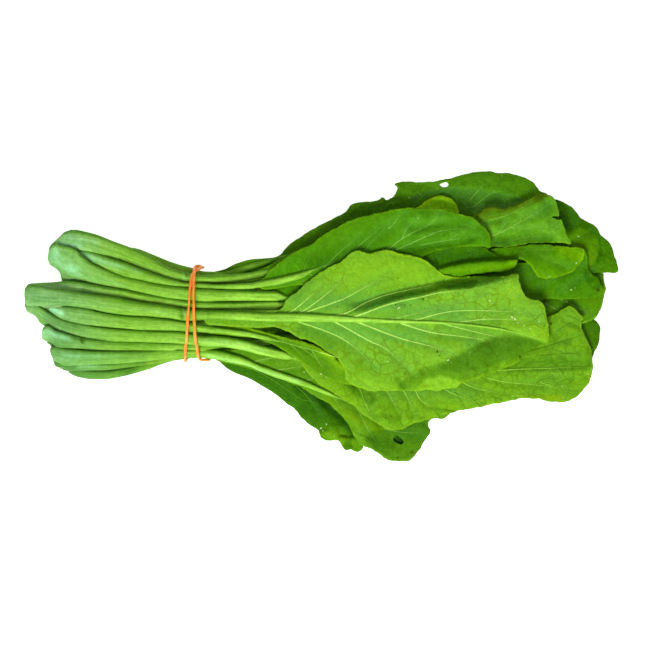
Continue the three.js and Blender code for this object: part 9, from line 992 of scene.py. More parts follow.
def sheet(shape, name, stride):
    """The blade: a closed thin sheet cut exactly at its outline."""
    sd = SD[name][::stride, ::stride].copy()
    gx = XX[::stride, ::stride].copy()
    gy = YY[::stride, ::stride].copy()
    g = G * stride
    dx, dy = np.gradient(sd, g)
    nn = np.maximum(np.hypot(dx, dy), 0.3)
    snap = (np.abs(sd) < 0.42 * g)
    mx = np.where(snap, -sd * dx / nn / nn, 0)
    my = np.where(snap, -sd * dy / nn / nn, 0)
    lim = 0.5 * g
    gx += np.clip(mx, -lim, lim)
    gy += np.clip(my, -lim, lim)
    sd = np.where(snap, 0.0, sd)
    n, m = sd.shape
    idx = np.arange(n * m).reshape(n, m)
    a, b, c, d = idx[:-1, :-1], idx[1:, :-1], idx[1:, 1:], idx[:-1, 1:]
    odd = ((np.arange(n - 1)[:, None] + np.arange(m - 1)[None]) % 2).astype(bool)
    t1 = np.where(odd[..., None], np.stack([a, b, d], -1), np.stack([a, b, c], -1)).reshape(-1, 3)
    t2 = np.where(odd[..., None], np.stack([b, c, d], -1), np.stack([a, c, d], -1)).reshape(-1, 3)
    tri = np.vstack([t1, t2])
    s = np.sign(sd).ravel()
    ts = s[tri]
    keep = (ts >= 0).all(1) & (ts > 0).any(1)
    cut = (ts > 0).any(1) & (ts < 0).any(1)
    px = list(gx.ravel())
    py = list(gy.ravel())
    flat = sd.ravel()
    faces = [tri[keep]]
    cache = {}

    def cross(i, j):
        key = (i, j) if i < j else (j, i)
        if key not in cache:
            t = flat[i] / (flat[i] - flat[j])
            px.append(px[i] + (px[j] - px[i]) * t)
            py.append(py[i] + (py[j] - py[i]) * t)
            cache[key] = len(px) - 1
        return cache[key]
    extra = []
    for row in tri[cut]:
        poly = []
        for q in range(3):
            i, j = int(row[q]), int(row[(q + 1) % 3])
            if s[i] >= 0:
                poly.append(i)
            if s[i] * s[j] < 0:
                poly.append(cross(i, j))
        for q in range(1, len(poly) - 1):
            extra.append((poly[0], poly[q], poly[q + 1]))
    if extra:
        faces.append(np.array(extra))
    f = np.vstack(faces)
    # keep the largest connected piece
    parent = {}

    def find(q):
        while parent.setdefault(q, q) != q:
            parent[q] = parent[parent[q]]
            q = parent[q]
        return q
    for i, j, k in f.tolist():
        ra, rb, rc = find(i), find(j), find(k)
        parent[rb] = ra
        parent[find(k)] = ra
    roots = np.array([find(i) for i in f[:, 0].tolist()])
    vals, counts = np.unique(roots, return_counts=True)
    f = f[roots == vals[counts.argmax()]]
    used, inv = np.unique(f, return_inverse=True)
    f = inv.reshape(-1, 3)
    x = np.array(px)[used]
    y = np.array(py)[used]
    p, q, r = f[:, 0], f[:, 1], f[:, 2]
    area = (x[q] - x[p]) * (y[r] - y[p]) - (x[r] - x[p]) * (y[q] - y[p])
    f = f[np.abs(area) > 1e-7]
    z = samp(Z[name], x, y)
    zx, zy = np.gradient(Z[name], G)
    nx, ny = -samp(zx, x, y), -samp(zy, x, y)
    nl = np.sqrt(nx * nx + ny * ny + 1)
    nrm = np.stack([nx, ny, np.ones_like(nx)], -1) / nl[:, None]
    dist = np.maximum(samp(SD[name], x, y), 0)
    half = 0.5 * (0.16 + 0.24 * (1 - np.exp(-dist / 1.2)))
    base = np.stack([x, y, z], -1)
    top = base + nrm * half[:, None]
    bot = base - nrm * half[:, None]
    bot[:, 2] = np.maximum(bot[:, 2], 0.02)
    top[:, 2] = np.maximum(top[:, 2], bot[:, 2] + 0.08)
    nv = len(x)
    e = np.vstack([f[:, [0, 1]], f[:, [1, 2]], f[:, [2, 0]]])
    key = e[:, 0].astype(np.int64) * nv + e[:, 1]
    rev = e[:, 1].astype(np.int64) * nv + e[:, 0]
    edge = e[~np.isin(key, rev)]
    walls = np.vstack([np.stack([edge[:, 0], edge[:, 0] + nv, edge[:, 1] + nv], -1),
                       np.stack([edge[:, 0], edge[:, 1] + nv, edge[:, 1]], -1)])
    faces = np.vstack([f, f[:, ::-1] + nv, walls])
    tint = samp(TINT_AND_LIGHT[name], x, y)
    loc = np.stack([x, y, z], -1)
    dist = np.maximum(samp(RIM[name], x, y), 0)
    two = lambda arr: np.concatenate([arr, arr])
    up = -1.0 if name in DOWN else 1.0
    shape.add(np.vstack([top, bot]), faces, kind=(0, 0, 0), loc=two(loc), tint=two(tint), edge=two(dist),
              grow=1.0, side=np.concatenate([np.full(nv, up), np.full(nv, -up)]))


def orient(v, f):
    """Turn the faces of a closed mesh outward."""
    a, b, c = v[f[:, 0]], v[f[:, 1]], v[f[:, 2]]
    if (np.einsum('ij,ij->i', a, np.cross(b, c))).sum() < 0:
        f = f[:, ::-1]
    return f


def closed_loft(rings, cap0, cap1):
    """Faces of a tube from rings (n, sides, 3) with end centre points."""
    n, sides, _ = rings.shape
    v = np.vstack([rings.reshape(-1, 3), cap0[None], cap1[None]])
    i, k = np.meshgrid(np.arange(n - 1), np.arange(sides), indexing='ij')
    k2 = (k + 1) % sides
    a, b, c, d = i * sides + k, i * sides + k2, (i + 1) * sides + k2, (i + 1) * sides + k
    f = [np.stack([a, b, c], -1).reshape(-1, 3), np.stack([a, c, d], -1).reshape(-1, 3)]
    k = np.arange(sides)
    k2 = (k + 1) % sides
    f.append(np.stack([np.full(sides, n * sides), k2, k], -1))
    f.append(np.stack([np.full(sides, n * sides + 1), (n - 1) * sides + k, (n - 1) * sides + k2], -1))
    f = np.vstack(f)
    return v, orient(v, f)


def veins(shape, name):
    down = name in DOWN
    for line, w0, w1, kind in VEIN[name]:
        p = line if len(line) < 3 else catmull(line, 1.7)
        n = len(p)
        if n < 3:
            continue
        s = np.linspace(0, 1, n)
        w = (w0 + (w1 - w0) * s) / 2
        taper = np.minimum(1, (1 - s) * 6 + 0.25)
        z = samp(Z[name], p[:, 0], p[:, 1])
        zx, zy = np.gradient(Z[name], G)
        nrm = np.stack([-samp(zx, p[:, 0], p[:, 1]), -samp(zy, p[:, 0], p[:, 1]), np.ones(n)], -1)
        nrm /= np.linalg.norm(nrm, axis=1)[:, None]
        lift = (-0.12 if down else 0.12)
        c = np.stack([p[:, 0], p[:, 1], z], -1) + nrm * lift
        sides = 6
        t = np.gradient(c, axis=0)
        t /= np.linalg.norm(t, axis=1)[:, None]
        b = np.cross(nrm, t)
        b /= np.linalg.norm(b, axis=1)[:, None]
        ang = (np.arange(sides) + 0.5) / sides * 2 * math.pi
        hw = w * taper
        hh = (0.14 + 0.34 * w) * taper
        ring = c[:, None] + b[:, None] * (np.cos(ang)[None, :, None] * hw[:, None, None]) + nrm[:, None] * (np.sin(ang)[None, :, None] * hh[:, None, None])
        v, f = closed_loft(ring, c[0], c[-1])
        x = np.repeat(p[:, 0], sides)
        y = np.repeat(p[:, 1], sides)
        tint = samp(TINT_AND_LIGHT[name], np.append(x, [p[0, 0], p[-1, 0]]), np.append(y, [p[0, 1], p[-1, 1]]))
        # pale near the midrib and darker towards the end, partly painted shade of the groove beside the vein
        pale = np.clip(1.25 - s * 1.1, 0, 1) * (1.0 if kind == 0 else 0.0 if kind == 1 else (0.75 if name in ('B4', 'B3') else 0.5))
        pale = np.append(np.repeat(pale, sides), [pale[0], pale[-1]])
        kd = np.zeros((len(v), 3))
        kd[:, 1] = 0.35 + 0.65 * pale
        v[:, 2] = np.maximum(v[:, 2], 0.02)
        shape.add(v, f, kind=kd, loc=v, tint=tint, edge=20, grow=1.0, side=-1.0 if down else 1.0)


def specks(shape, name):
    """Small grains and drops sitting on the blade."""
    for u, w, r, stretch, turn, pale in SPECKS.get(name, []):
        x, y = X(u), Y(w)
        z = float(samp(Z[name], np.array([x]), np.array([y]))[0])
        a = math.radians(turn)
        sides = 8
        th = np.arange(sides) / sides * 2 * math.pi
        ring = []
        for f, h in ((0.55, 0.34), (0.92, 0.22), (1.0, 0.05), (0.9, -0.02)):
            px = r * stretch * f * np.cos(th)
            py = r * f * np.sin(th) * (1 + 0.2 * np.cos(3 * th + u))
            ring.append(np.stack([x + px * math.cos(a) - py * math.sin(a), y + px * math.sin(a) + py * math.cos(a),
                                  np.full(sides, z + h * min(r, 0.6) + 0.1)], -1))
        ring = np.array(ring)
        v, f = closed_loft(ring, np.array([x, y, z + 0.38 * min(r, 0.6) + 0.1]), np.array([x, y, z + 0.05]))
        if pale:
            shape.add(v, f, kind=(1, 0, 1), loc=v, tint=(0.25, -0.2, 0), edge=20, grow=0.2, side=1.0)
        else:
            shape.add(v, f, kind=(0, 0, 0), loc=v, tint=(-1.5, 0, 0.35), edge=20, grow=0.2, side=1.0)


def stalk(shape, name):
    st = STALK[name]
    fine = name in FINE
    head = HEADS[name[0]]
    cut = np.array(CUTS[name[0]], float)
    cut_u = lambda y: np.interp(316.5 - np.asarray(y) / UNIT, cut[:, 1], cut[:, 0])
    u0 = st['u'][0]
    y0, z0 = st['cy'][0], st['cz'][0]
    py, pz = BASE_PULL.get(name, (1.0, 0.92))
    ys = Y(head[1]) + py * (y0 - Y(head[1]))
    zs = head[2] + pz * (z0 - head[2])
    uc = float(cut_u(ys)) + BASE_BACK.get(name, 0.0)
    join = u0 + 16
    last = st['u'][-1]
    us = np.unique(np.concatenate([np.arange(uc, uc + 8, 0.7), np.arange(uc + 8, uc + 30, 1.4), np.arange(uc + 30, last - 1, 2.4), [last]]))
    g = lambda key: np.interp(us, st['u'], st[key])
    cy, cz, hw, hh, lean, thin = g('cy'), g('cz'), g('w') - 0.05, g('h') + 0.05, g('t'), g('thin')
    w = 1 - smooth01((us - uc) / max(6.0, join - uc))
    cy = cy * (1 - w) + ys * w
    cz = cz * (1 - w) + zs * w
    # a softly rounded cut edge
    soft = BASE_R.get(name, 0.80)
    e = soft + (1 - soft) * np.sqrt(np.clip(1 - (1 - np.clip((us - uc) / 5.0, 0, 1)) ** 2, 0, 1))
    hw = hw * e
    hh = hh * e
    # past the bundle the midrib follows the blade
    prot = -0.3 if name in DOWN else 0.3
    x = X(us)
    follow = smooth01((us - 292) / 50)
    zf = samp(Z[name], x, cy)
    tip = np.clip((last - us) / 60.0, 0, 1)
    k = 0.35 + 0.65 * smooth01(tip * 1.6)
    hw = hw * k
    hh = hh * k
    cz = cz * (1 - follow) + (zf + prot * hh) * follow
    sides = 30 if fine else 14
    th = np.arange(sides) / sides * 2 * math.pi
    rm = np.minimum(hw, hh)
    cs, sn = np.cos(th), np.sin(th)
    push = cs / np.sqrt(cs * cs + 0.10)
    rs = np.random.RandomState(700 + ORDER.index(name))
    # shallow lengthwise ridges that fade along the petiole
    fade_r = 0.6 + 0.4 * np.sin(us * 0.11 + rs.uniform(0, 6))
    rid = 1 + (0.022 * np.cos(9 * th + rs.uniform(0, 6)) + 0.014 * np.cos(14 * th + rs.uniform(0, 6)))[None] * fade_r[:, None]
    oy = push[None] * (hw - rm)[:, None] + cs[None] * rm[:, None] * rid
    oz = sn[None] * hh[:, None] * rid + lean[:, None] * oy
    # the ring points around the centre line
    off = np.stack([oy, oz], -1)
    cyz = np.stack([cy, cz], -1)
    yz = cyz[:, None] + off
    # the cut face leans: shift x with y near the base
    xs = np.repeat(x[:, None], sides, 1)
    near_cut = 1 - smooth01((us - uc) / 14)
    xs = xs + UNIT * (cut_u(yz[..., 0]) - cut_u(cy)[:, None]) * near_cut[:, None]
    rings = np.stack([xs, yz[..., 0], yz[..., 1]], -1)
    # rounded cut edge and a slightly hollow cut face
    c0 = rings[0].mean(0)
    lip = c0 + (rings[0] - c0) * 0.93 + np.array([-0.35, 0, 0])
    inner = c0 + (rings[0] - c0) * 0.6 + np.array([-0.15, 0, 0])
    rings = np.concatenate([[inner, lip], rings])
    cap1 = rings[-1].mean(0) + np.array([0.4, 0, 0])
    v, f = closed_loft(rings, c0 + np.array([0.15, 0, 0]), cap1)
    v[:, 2] = np.maximum(v[:, 2], 0.02)
    m = len(us)
    kind = np.zeros((len(v), 3))
    kind[:, 0] = 1
    kind[:2 * sides, 2] = 1
    kind[-2, 2] = 1
    fade = np.clip((us - 330) / 140, 0, 1)
    kind[2 * sides:2 * sides + m * sides, 0] = np.repeat((1 - 0.25 * fade) * (1 - 0.85 * thin), sides)
    kind[2 * sides:2 * sides + m * sides, 1] = np.repeat(thin * np.clip(1 - (us - 330) / 220, 0.35, 1), sides)
    loc = np.zeros((len(v), 3))
    offs = np.concatenate([[off[0], off[0]], off]).reshape(-1, 2)
    loc[:-2, 0] = np.concatenate([[x[0]] * (2 * sides), np.repeat(x, sides)])
    loc[:-2, 1:] = offs
    grow = np.append(np.concatenate([[0] * (2 * sides), np.repeat(np.clip((us - 26) / 300, 0, 1), sides)]), [0, 1])
    tint = samp(TINT_AND_LIGHT[name], np.clip(v[:, 0], GX[0], GX[-2]), v[:, 1])
    tint = tint * (v[:, 0] > GX[0] + 1)[:, None] * np.array([1.0, 0.0, 1.0])
    tint = tint + stalk_marks_and_light(name, v)
    # painted light and shade: the face turned towards the key light is left pale and the sides turned away from it are
    # painted a deeper green, passed on in the edge attribute above 20
    face = 0.88 * sn - 0.45 * cs if name not in DOWN else 0.6 * sn - 0.3 * cs + 0.3
    flank = (1 - smooth01((face - 0.3) / 0.62))[None] * (1 - 0.45 * smooth01((us - 285) / 60))[:, None]
    flank = np.concatenate([[flank[0], flank[0]], flank]).reshape(-1)
    shape.add(v, f, kind=kind, loc=loc, tint=tint, edge=20 + np.append(flank, [0, 0]), grow=grow, side=1.0)


def stalk_marks_and_light(name, v):
    out = np.zeros((len(v), 3))
    u = v[:, 0] / UNIT + 322
    w = 316.5 - v[:, 1] / UNIT
    for pts, radius, tone, hue, brown in STALK_SPOTS_AND_PAINTED_LIGHT.get(name, []):
        p = np.array(pts, float)
        if len(p) == 1:
            d = np.hypot(u - p[0, 0], w - p[0, 1])
        else:
            d, _, _, _ = line_field(catmull(p, 3.0), u, w)
        g = np.exp(-(d / radius) ** 2)
        out += g[:, None] * np.array([tone, hue, brown])
    return out


# ------------------------------------------------------------------ materials
def lin(r, g, b, gain=1.0):
    out = []
    for c in (r, g, b):
        c = c / 255.0
        out.append(max(0.0015, (c / 12.92 if c <= 0.04045 else ((c + 0.055) / 1.055) ** 2.4) * gain - 0.008))
    return (out[0], out[1], out[2], 1.0)


class Nodes:
    def __init__(self, name):
        self.mat = bpy.data.materials.new(name)
        self.mat.use_nodes = True
        self.t = self.mat.node_tree
        self.t.nodes.clear()
        self.out = self.t.nodes.new('ShaderNodeOutputMaterial')
        self.bsdf = self.t.nodes.new('ShaderNodeBsdfPrincipled')
        self.t.links.new(self.bsdf.outputs[0], self.out.inputs[0])

    def link(self, a, b):
        self.t.links.new(a, b)

    def put(self, sock, v):
        if isinstance(v, bpy.types.NodeSocket):
            self.link(v, sock)
        else:
            sock.default_value = v

    def attr(self, name, out='Vector'):
        n = self.t.nodes.new('ShaderNodeAttribute')
        n.attribute_name = name
        return n.outputs[out]

    def math(self, op, a, b=0.0, clamp=False):
        n = self.t.nodes.new('ShaderNodeMath')
        n.operation = op
        n.use_clamp = clamp
        self.put(n.inputs[0], a)
        self.put(n.inputs[1], b)
        return n.outputs[0]

    def vmath(self, op, a, b=(0, 0, 0), scale=None):
        n = self.t.nodes.new('ShaderNodeVectorMath')
        n.operation = op
        self.put(n.inputs[0], a)
        if op == 'SCALE':
            self.put(n.inputs['Scale'], scale)
        else:
            self.put(n.inputs[1], b)
        return n.outputs[0]

    def split(self, v):
        n = self.t.nodes.new('ShaderNodeSeparateXYZ')
        self.link(v, n.inputs[0])
        return n.outputs

    def mix(self, fac, a, b, mode='MIX'):
        n = self.t.nodes.new('ShaderNodeMix')
        n.data_type = 'RGBA'
        n.blend_type = mode
        n.clamp_factor = True
        self.put(n.inputs[0], fac)
        self.put(n.inputs[6], a)
        self.put(n.inputs[7], b)
        return n.outputs[2]

    def noise(self, vec, scale, detail=2.0, rough=0.5):
        n = self.t.nodes.new('ShaderNodeTexNoise')
        n.inputs['Scale'].default_value = scale
        n.inputs['Detail'].default_value = detail
        n.inputs['Roughness'].default_value = rough
        self.link(vec, n.inputs['Vector'])
        return n

    def voronoi(self, vec, scale, feature='F1', rand=1.0):
        n = self.t.nodes.new('ShaderNodeTexVoronoi')
        n.feature = feature
        n.inputs['Scale'].default_value = scale
        n.inputs['Randomness'].default_value = rand
        self.link(vec, n.inputs['Vector'])
        return n

    def ramp(self, v, lo, hi):
        n = self.t.nodes.new('ShaderNodeMapRange')
        n.interpolation_type = 'SMOOTHSTEP'
        self.put(n.inputs[0], v)
        n.inputs[1].default_value = lo
        n.inputs[2].default_value = hi
        n.inputs[3].default_value = 0.0
        n.inputs[4].default_value = 1.0
        return n.outputs[0]

    def bump(self, height, strength, distance, normal=None):
        n = self.t.nodes.new('ShaderNodeBump')
        n.inputs['Strength'].default_value = strength
        n.inputs['Distance'].default_value = distance
        self.link(height, n.inputs['Height'])
        if normal is not None:
            self.link(normal, n.inputs['Normal'])
        return n.outputs[0]


GAIN = 1 / 1.12


def leaf_material(name, pal):
    """Leaf tissue: blade with a vein network, pale veins and a streaked petiole."""
    m = Nodes('leaf_' + name.lower())
    S = lambda key: lin(*pal[key], gain=GAIN)
    loc = m.attr('loc')
    kind = m.split(m.attr('kind'))
    tint = m.split(m.attr('tint'))
    edge = m.attr('edge', 'Fac')
    grow = m.attr('grow', 'Fac')
    side = m.attr('side', 'Fac')
    # plan coordinates in mm, stretched a little by slow noise
    warp = m.noise(loc, 0.09, 2.0)
    off = m.vmath('SUBTRACT', warp.outputs['Color'], (0.5, 0.5, 0.5))
    wl = m.vmath('ADD', loc, m.vmath('SCALE', off, scale=7.0))
    # colour of the blade
    broad = m.noise(loc, 0.028, 3.0, 0.55)
    mid = m.noise(loc, 0.16, 3.0, 0.6)
    fine = m.noise(wl, 0.9, 4.0, 0.65)
    col = m.mix(m.ramp(broad.outputs['Fac'], 0.36, 0.64), S('a'), S('y'))
    col = m.mix(m.math('MULTIPLY', m.ramp(mid.outputs['Fac'], 0.42, 0.72), 0.45), col, S('b'))
    # vein network of two orders
    net1 = m.voronoi(wl, 0.15, 'DISTANCE_TO_EDGE')
    net2 = m.voronoi(wl, 0.42, 'DISTANCE_TO_EDGE')
    net3 = m.voronoi(wl, 1.05, 'DISTANCE_TO_EDGE')
    l1 = m.math('SUBTRACT', 1.0, m.ramp(net1.outputs['Distance'], 0.012, 0.1))
    l2 = m.math('SUBTRACT', 1.0, m.ramp(net2.outputs['Distance'], 0.01, 0.12))
    l3 = m.math('SUBTRACT', 1.0, m.ramp(net3.outputs['Distance'], 0.02, 0.22))
    gate = m.ramp(m.noise(loc, 0.05, 1.0).outputs['Fac'], 0.38, 0.6)
    l1c = m.math('MULTIPLY', l1, m.math('ADD', m.math('MULTIPLY', gate, 0.7), 0.3))
    col = m.mix(m.math('MULTIPLY', l1c, pal.get('net', 0.5)), col, S('net_c'))
    col = m.mix(m.math('MULTIPLY', l2, pal.get('net2', 0.3)), col, S('net_c'))
    col = m.mix(m.math('MULTIPLY', l3, pal.get('net3', 0.16)), col, S('net_c'))
    # hue and tone marks; the bluish hue is a real tinge in places and a painted reflection in others
    col = m.mix(m.math('MULTIPLY', tint[1], -1.0, True), col, S('blue_tint_and_sheen'))
    col = m.mix(m.math('MULTIPLY', tint[1], 1.0, True), col, S('yellow'))
    # margin
    rim = m.math('SUBTRACT', 1.0, m.ramp(edge, 0.3, 1.5))
    rim = m.math('MULTIPLY', rim, m.math('ADD', 0.25, m.math('MULTIPLY', m.ramp(mid.outputs['Fac'], 0.4, 0.6), 0.75)))
    col = m.mix(m.math('MULTIPLY', rim, pal.get('rim', 0.5)), col, S('rim_c'))
    # specks
    dots = m.voronoi(loc, 0.115)
    dsel = m.split(dots.outputs['Color'])
    dot = m.math('MULTIPLY', m.math('SUBTRACT', 1.0, m.ramp(dots.outputs['Distance'], 0.035, 0.075)), m.ramp(dsel[0], 0.5, 0.54))
    col = m.mix(m.math('MULTIPLY', dot, pal.get('dots', 0.5)), col, S('dot_c'))
    spk = m.voronoi(loc, 0.085)
    ssel = m.split(spk.outputs['Color'])
    speck = m.math('MULTIPLY', m.math('SUBTRACT', 1.0, m.ramp(spk.outputs['Distance'], 0.02, 0.055)), m.ramp(ssel[1], 0.66, 0.7))
    col = m.mix(m.math('MULTIPLY', speck, pal.get('specks', 0.5)), col, lin(205, 235, 190, GAIN))
    # fine grain
    coarse = m.noise(loc, 0.38, 3.0, 0.6)
    grain = m.math('ADD', 0.43, m.math('MULTIPLY', fine.outputs['Fac'], 0.60))
    grain = m.math('ADD', grain, m.math('MULTIPLY', coarse.outputs['Fac'], 0.54))
    # the inner face of the blade is darker
    inner = m.math('MULTIPLY', m.math('SUBTRACT', 1.0, side), 0.5, True)
    col = m.mix(m.math('MULTIPLY', inner, 0.45), col, S('b'))
    # veins
    vein = kind[1]
    vcol = m.mix(m.ramp(vein, 0.35, 0.9), S('net_c'), S('vein_c'))
    col = m.mix(m.ramp(vein, 0.1, 0.3), col, vcol)
    # petiole
    stretch = m.t.nodes.new('ShaderNodeMapping')
    stretch.inputs['Scale'].default_value = (0.05, 1.0, 1.0)
    m.link(loc, stretch.inputs['Vector'])
    streak = m.noise(stretch.outputs[0], 1.15, 3.0, 0.6)
    streak2 = m.noise(stretch.outputs[0], 3.6, 2.0, 0.5)
    pc = m.mix(m.ramp(grow, 0.06, 0.36), S('p0'), S('p1'))
    pc = m.mix(m.ramp(grow, 0.34, 0.85), pc, S('p2'))
    pc = m.mix(m.math('MULTIPLY', m.ramp(streak.outputs['Fac'], 0.4, 0.62), 0.5), pc, S('p_dark'))
    pc = m.mix(m.math('MULTIPLY', m.ramp(streak2.outputs['Fac'], 0.52, 0.7), 0.32), pc, S('p_light'))
    pmid = m.noise(loc, 0.11, 2.0)
    pc = m.mix(m.math('MULTIPLY', m.ramp(pmid.outputs['Fac'], 0.5, 0.75), 0.18), pc, S('p_light'))
    # mint streaks: painted highlights where the hue mark is negative
    pc = m.mix(m.math('MULTIPLY', tint[1], -1.0, True), pc, S('p_mint_highlight'))
    pc = m.mix(m.math('MULTIPLY', tint[1], 1.0, True), pc, S('yellow'))
    # painted shade on the petiole sides turned away from the key light
    flank = m.math('SUBTRACT', edge, 20.0, True)
    pc = m.mix(m.math('MULTIPLY', flank, pal.get('flank', 0.66)), pc, S('p_painted_shade'))
    pc = m.mix(m.math('MULTIPLY', kind[2], 0.85), pc, lin(196, 214, 160, GAIN))
    col = m.mix(kind[0], col, pc)
    # brown spots and overall tone; the tone marks carry colour and, in many places, painted shade and painted highlight
    col = m.mix(m.math('MULTIPLY', tint[2], 1.0, True), col, lin(92, 74, 30, GAIN))
    tn = m.t.nodes.new('ShaderNodeCombineXYZ')
    for k, f in enumerate((1.35, 1.0, 1.8)):
        m.link(m.math('MULTIPLY', grain, m.math('POWER', 2.0, m.math('MULTIPLY', tint[0], f))), tn.inputs[k])
    col = m.mix(1.0, col, tn.outputs[0], 'MULTIPLY')
    m.link(col, m.bsdf.inputs['Base Color'])
    rough = m.math('ADD', pal.get('rough', 0.44), m.math('MULTIPLY', m.math('SUBTRACT', mid.outputs['Fac'], 0.5), 0.35))
    rough = m.math('ADD', rough, m.math('MULTIPLY', kind[0], 0.02))
    m.link(rough, m.bsdf.inputs['Roughness'])
    m.bsdf.inputs['Specular IOR Level'].default_value = pal.get('gloss', 0.03)
    m.bsdf.inputs['IOR'].default_value = 1.42
    blade_only = m.math('SUBTRACT', 1.0, kind[0])
    h = m.math('MULTIPLY', m.math('ADD', m.math('MULTIPLY', l1, -0.4), m.math('ADD', m.math('MULTIPLY', l2, -0.4), m.math('MULTIPLY', l3, -0.25))), blade_only)
    h = m.math('ADD', h, m.math('MULTIPLY', fine.outputs['Fac'], 0.9))
    h = m.math('ADD', h, m.math('MULTIPLY', m.math('MULTIPLY', streak.outputs['Fac'], 1.6), kind[0]))
    m.link(m.bump(h, 0.55, 0.00035), m.bsdf.inputs['Normal'])
    return m.mat


BASE = dict(a=(118, 180, 48), y=(132, 190, 44), b=(94, 158, 40), net_c=(88, 142, 22), vein_c=(178, 224, 110),
            blue_tint_and_sheen=(96, 158, 84), yellow=(150, 192, 40), rim_c=(150, 205, 62), dot_c=(58, 104, 16),
            p0=(128, 180, 112), p1=(132, 188, 64), p2=(158, 217, 74), p_dark=(84, 142, 28), p_light=(164, 216, 96),
            p_mint_highlight=(146, 216, 150), p_painted_shade=(78, 138, 10))
PAL = {
    'B2': dict(gloss=0.04, a=(114, 178, 48), y=(127, 190, 54), b=(98, 162, 40), net=0.85, net_c=(108, 150, 4), rim_c=(156, 204, 30), blue_tint_and_sheen=(98, 166, 70), yellow=(132, 190, 36), vein_c=(180, 230, 100), rim=0.35, dots=0.65),
    'B3': dict(gloss=0.04, a=(90, 148, 10), y=(102, 158, 12), b=(76, 134, 10), blue_tint_and_sheen=(92, 150, 60), yellow=(140, 196, 30), vein_c=(150, 206, 74), rim_c=(140, 192, 40), rim=0.4),
    'B4': dict(gloss=0.04, a=(114, 174, 42), y=(120, 174, 32), b=(98, 158, 38), net=0.72, net_c=(90, 138, 6), blue_tint_and_sheen=(92, 152, 48), yellow=(134, 178, 20), vein_c=(158, 212, 70), rim_c=(146, 190, 40), rim=0.4),
    'A2': dict(a=(78, 144, 8), y=(86, 150, 8), b=(62, 126, 6), blue_tint_and_sheen=(104, 176, 58), yellow=(112, 166, 14), vein_c=(134, 196, 78), net=0.35, net2=0.18, net3=0.1, net_c=(100, 164, 40), rim_c=(130, 182, 30), rim=0.5),
    'A3': dict(gloss=0.02, a=(80, 142, 10), y=(88, 148, 10), b=(66, 124, 8), yellow=(116, 174, 14), vein_c=(116, 176, 50), net_c=(60, 114, 8), rim_c=(110, 170, 30), rim=0.35),
    'A1': dict(a=(96, 163, 30), y=(100, 160, 20), b=(74, 138, 16), blue_tint_and_sheen=(92, 160, 62), yellow=(100, 132, 10), vein_c=(136, 194, 70), net=0.45, net2=0.25, net_c=(124, 184, 60), rim_c=(130, 180, 40), rim=0.4),
    'B1': dict(gloss=0.02, a=(80, 142, 5), y=(92, 154, 6), b=(64, 122, 5), yellow=(128, 190, 26), vein_c=(124, 180, 40), net=0.3, net2=0.15, net_c=(104, 160, 16), rim_c=(140, 188, 30), rim=0.5),
    'B5': dict(gloss=0.02, a=(78, 142, 6), y=(84, 146, 6), b=(62, 122, 5), vein_c=(112, 168, 44), net_c=(64, 120, 8), rim_c=(120, 172, 30), rim=0.35),
    'A4': dict(gloss=0.02, a=(78, 138, 12), y=(84, 136, 8), b=(60, 114, 8), yellow=(98, 146, 8), vein_c=(104, 156, 40), net_c=(58, 108, 6), rim_c=(108, 156, 24), rim=0.3),
    'A1b': dict(gloss=0.02, a=(74, 130, 8), y=(80, 134, 8), b=(58, 110, 6), blue_tint_and_sheen=(72, 128, 40), yellow=(98, 138, 10), rim_c=(112, 160, 36), vein_c=(116, 172, 60), net=0.3, net_c=(98, 156, 40), rim=0.3),
    'E1': dict(a=(94, 168, 6), y=(102, 172, 6), b=(86, 148, 8), yellow=(122, 160, 14), vein_c=(128, 172, 40), rim_c=(132, 162, 24), rim=0.35),
    'D1': dict(a=(90, 148, 24), y=(94, 146, 18), b=(76, 132, 20), blue_tint_and_sheen=(88, 148, 46), yellow=(112, 156, 12), vein_c=(146, 196, 84), net=0.4, net_c=(112, 168, 50), rim_c=(120, 170, 40), rim=0.3),
    'D2': dict(a=(64, 120, 4), y=(70, 122, 5), b=(50, 100, 4), yellow=(96, 142, 12), p1=(128, 178, 50), p2=(120, 172, 44), vein_c=(110, 168, 60), net_c=(50, 98, 4), rim_c=(88, 142, 24), rim=0.3),
    'C1': dict(a=(88, 146, 16), y=(90, 146, 14), b=(70, 124, 12)),
    'C2': dict(a=(96, 152, 16), y=(98, 152, 14), b=(76, 130, 14)),
}
FLOOR_GLOW = 0.8
WORLD = 0.22
LIGHTS = [('key', (-0.25, -0.95, 1.4), (0.0, 0.0, 0.02), (0.7, 0.7), 36.0),
          ('fill', (0.1, 0.7, 1.6), (0.0, 0.0, 0.02), (1.4, 1.4), 5.0)]


def pal_of(name):
    p = dict(BASE)
    p.update(PAL.get(name, {}))
    return p


# ------------------------------------------------------------------ leaves
total = 0
for name in ORDER:
    s = Shape()
    sheet(s, name, 1 if name in FINE else 2)
    veins(s, name)
    specks(s, name)
    stalk(s, name)
    piece = 'greens_leaf_' + name.lower()
    ob, n = s.mesh(piece)
    total += n
    ob.data.materials.append(leaf_material(name, pal_of(name)))
    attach(ob, 'root')
    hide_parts('leaf_' + name.lower())


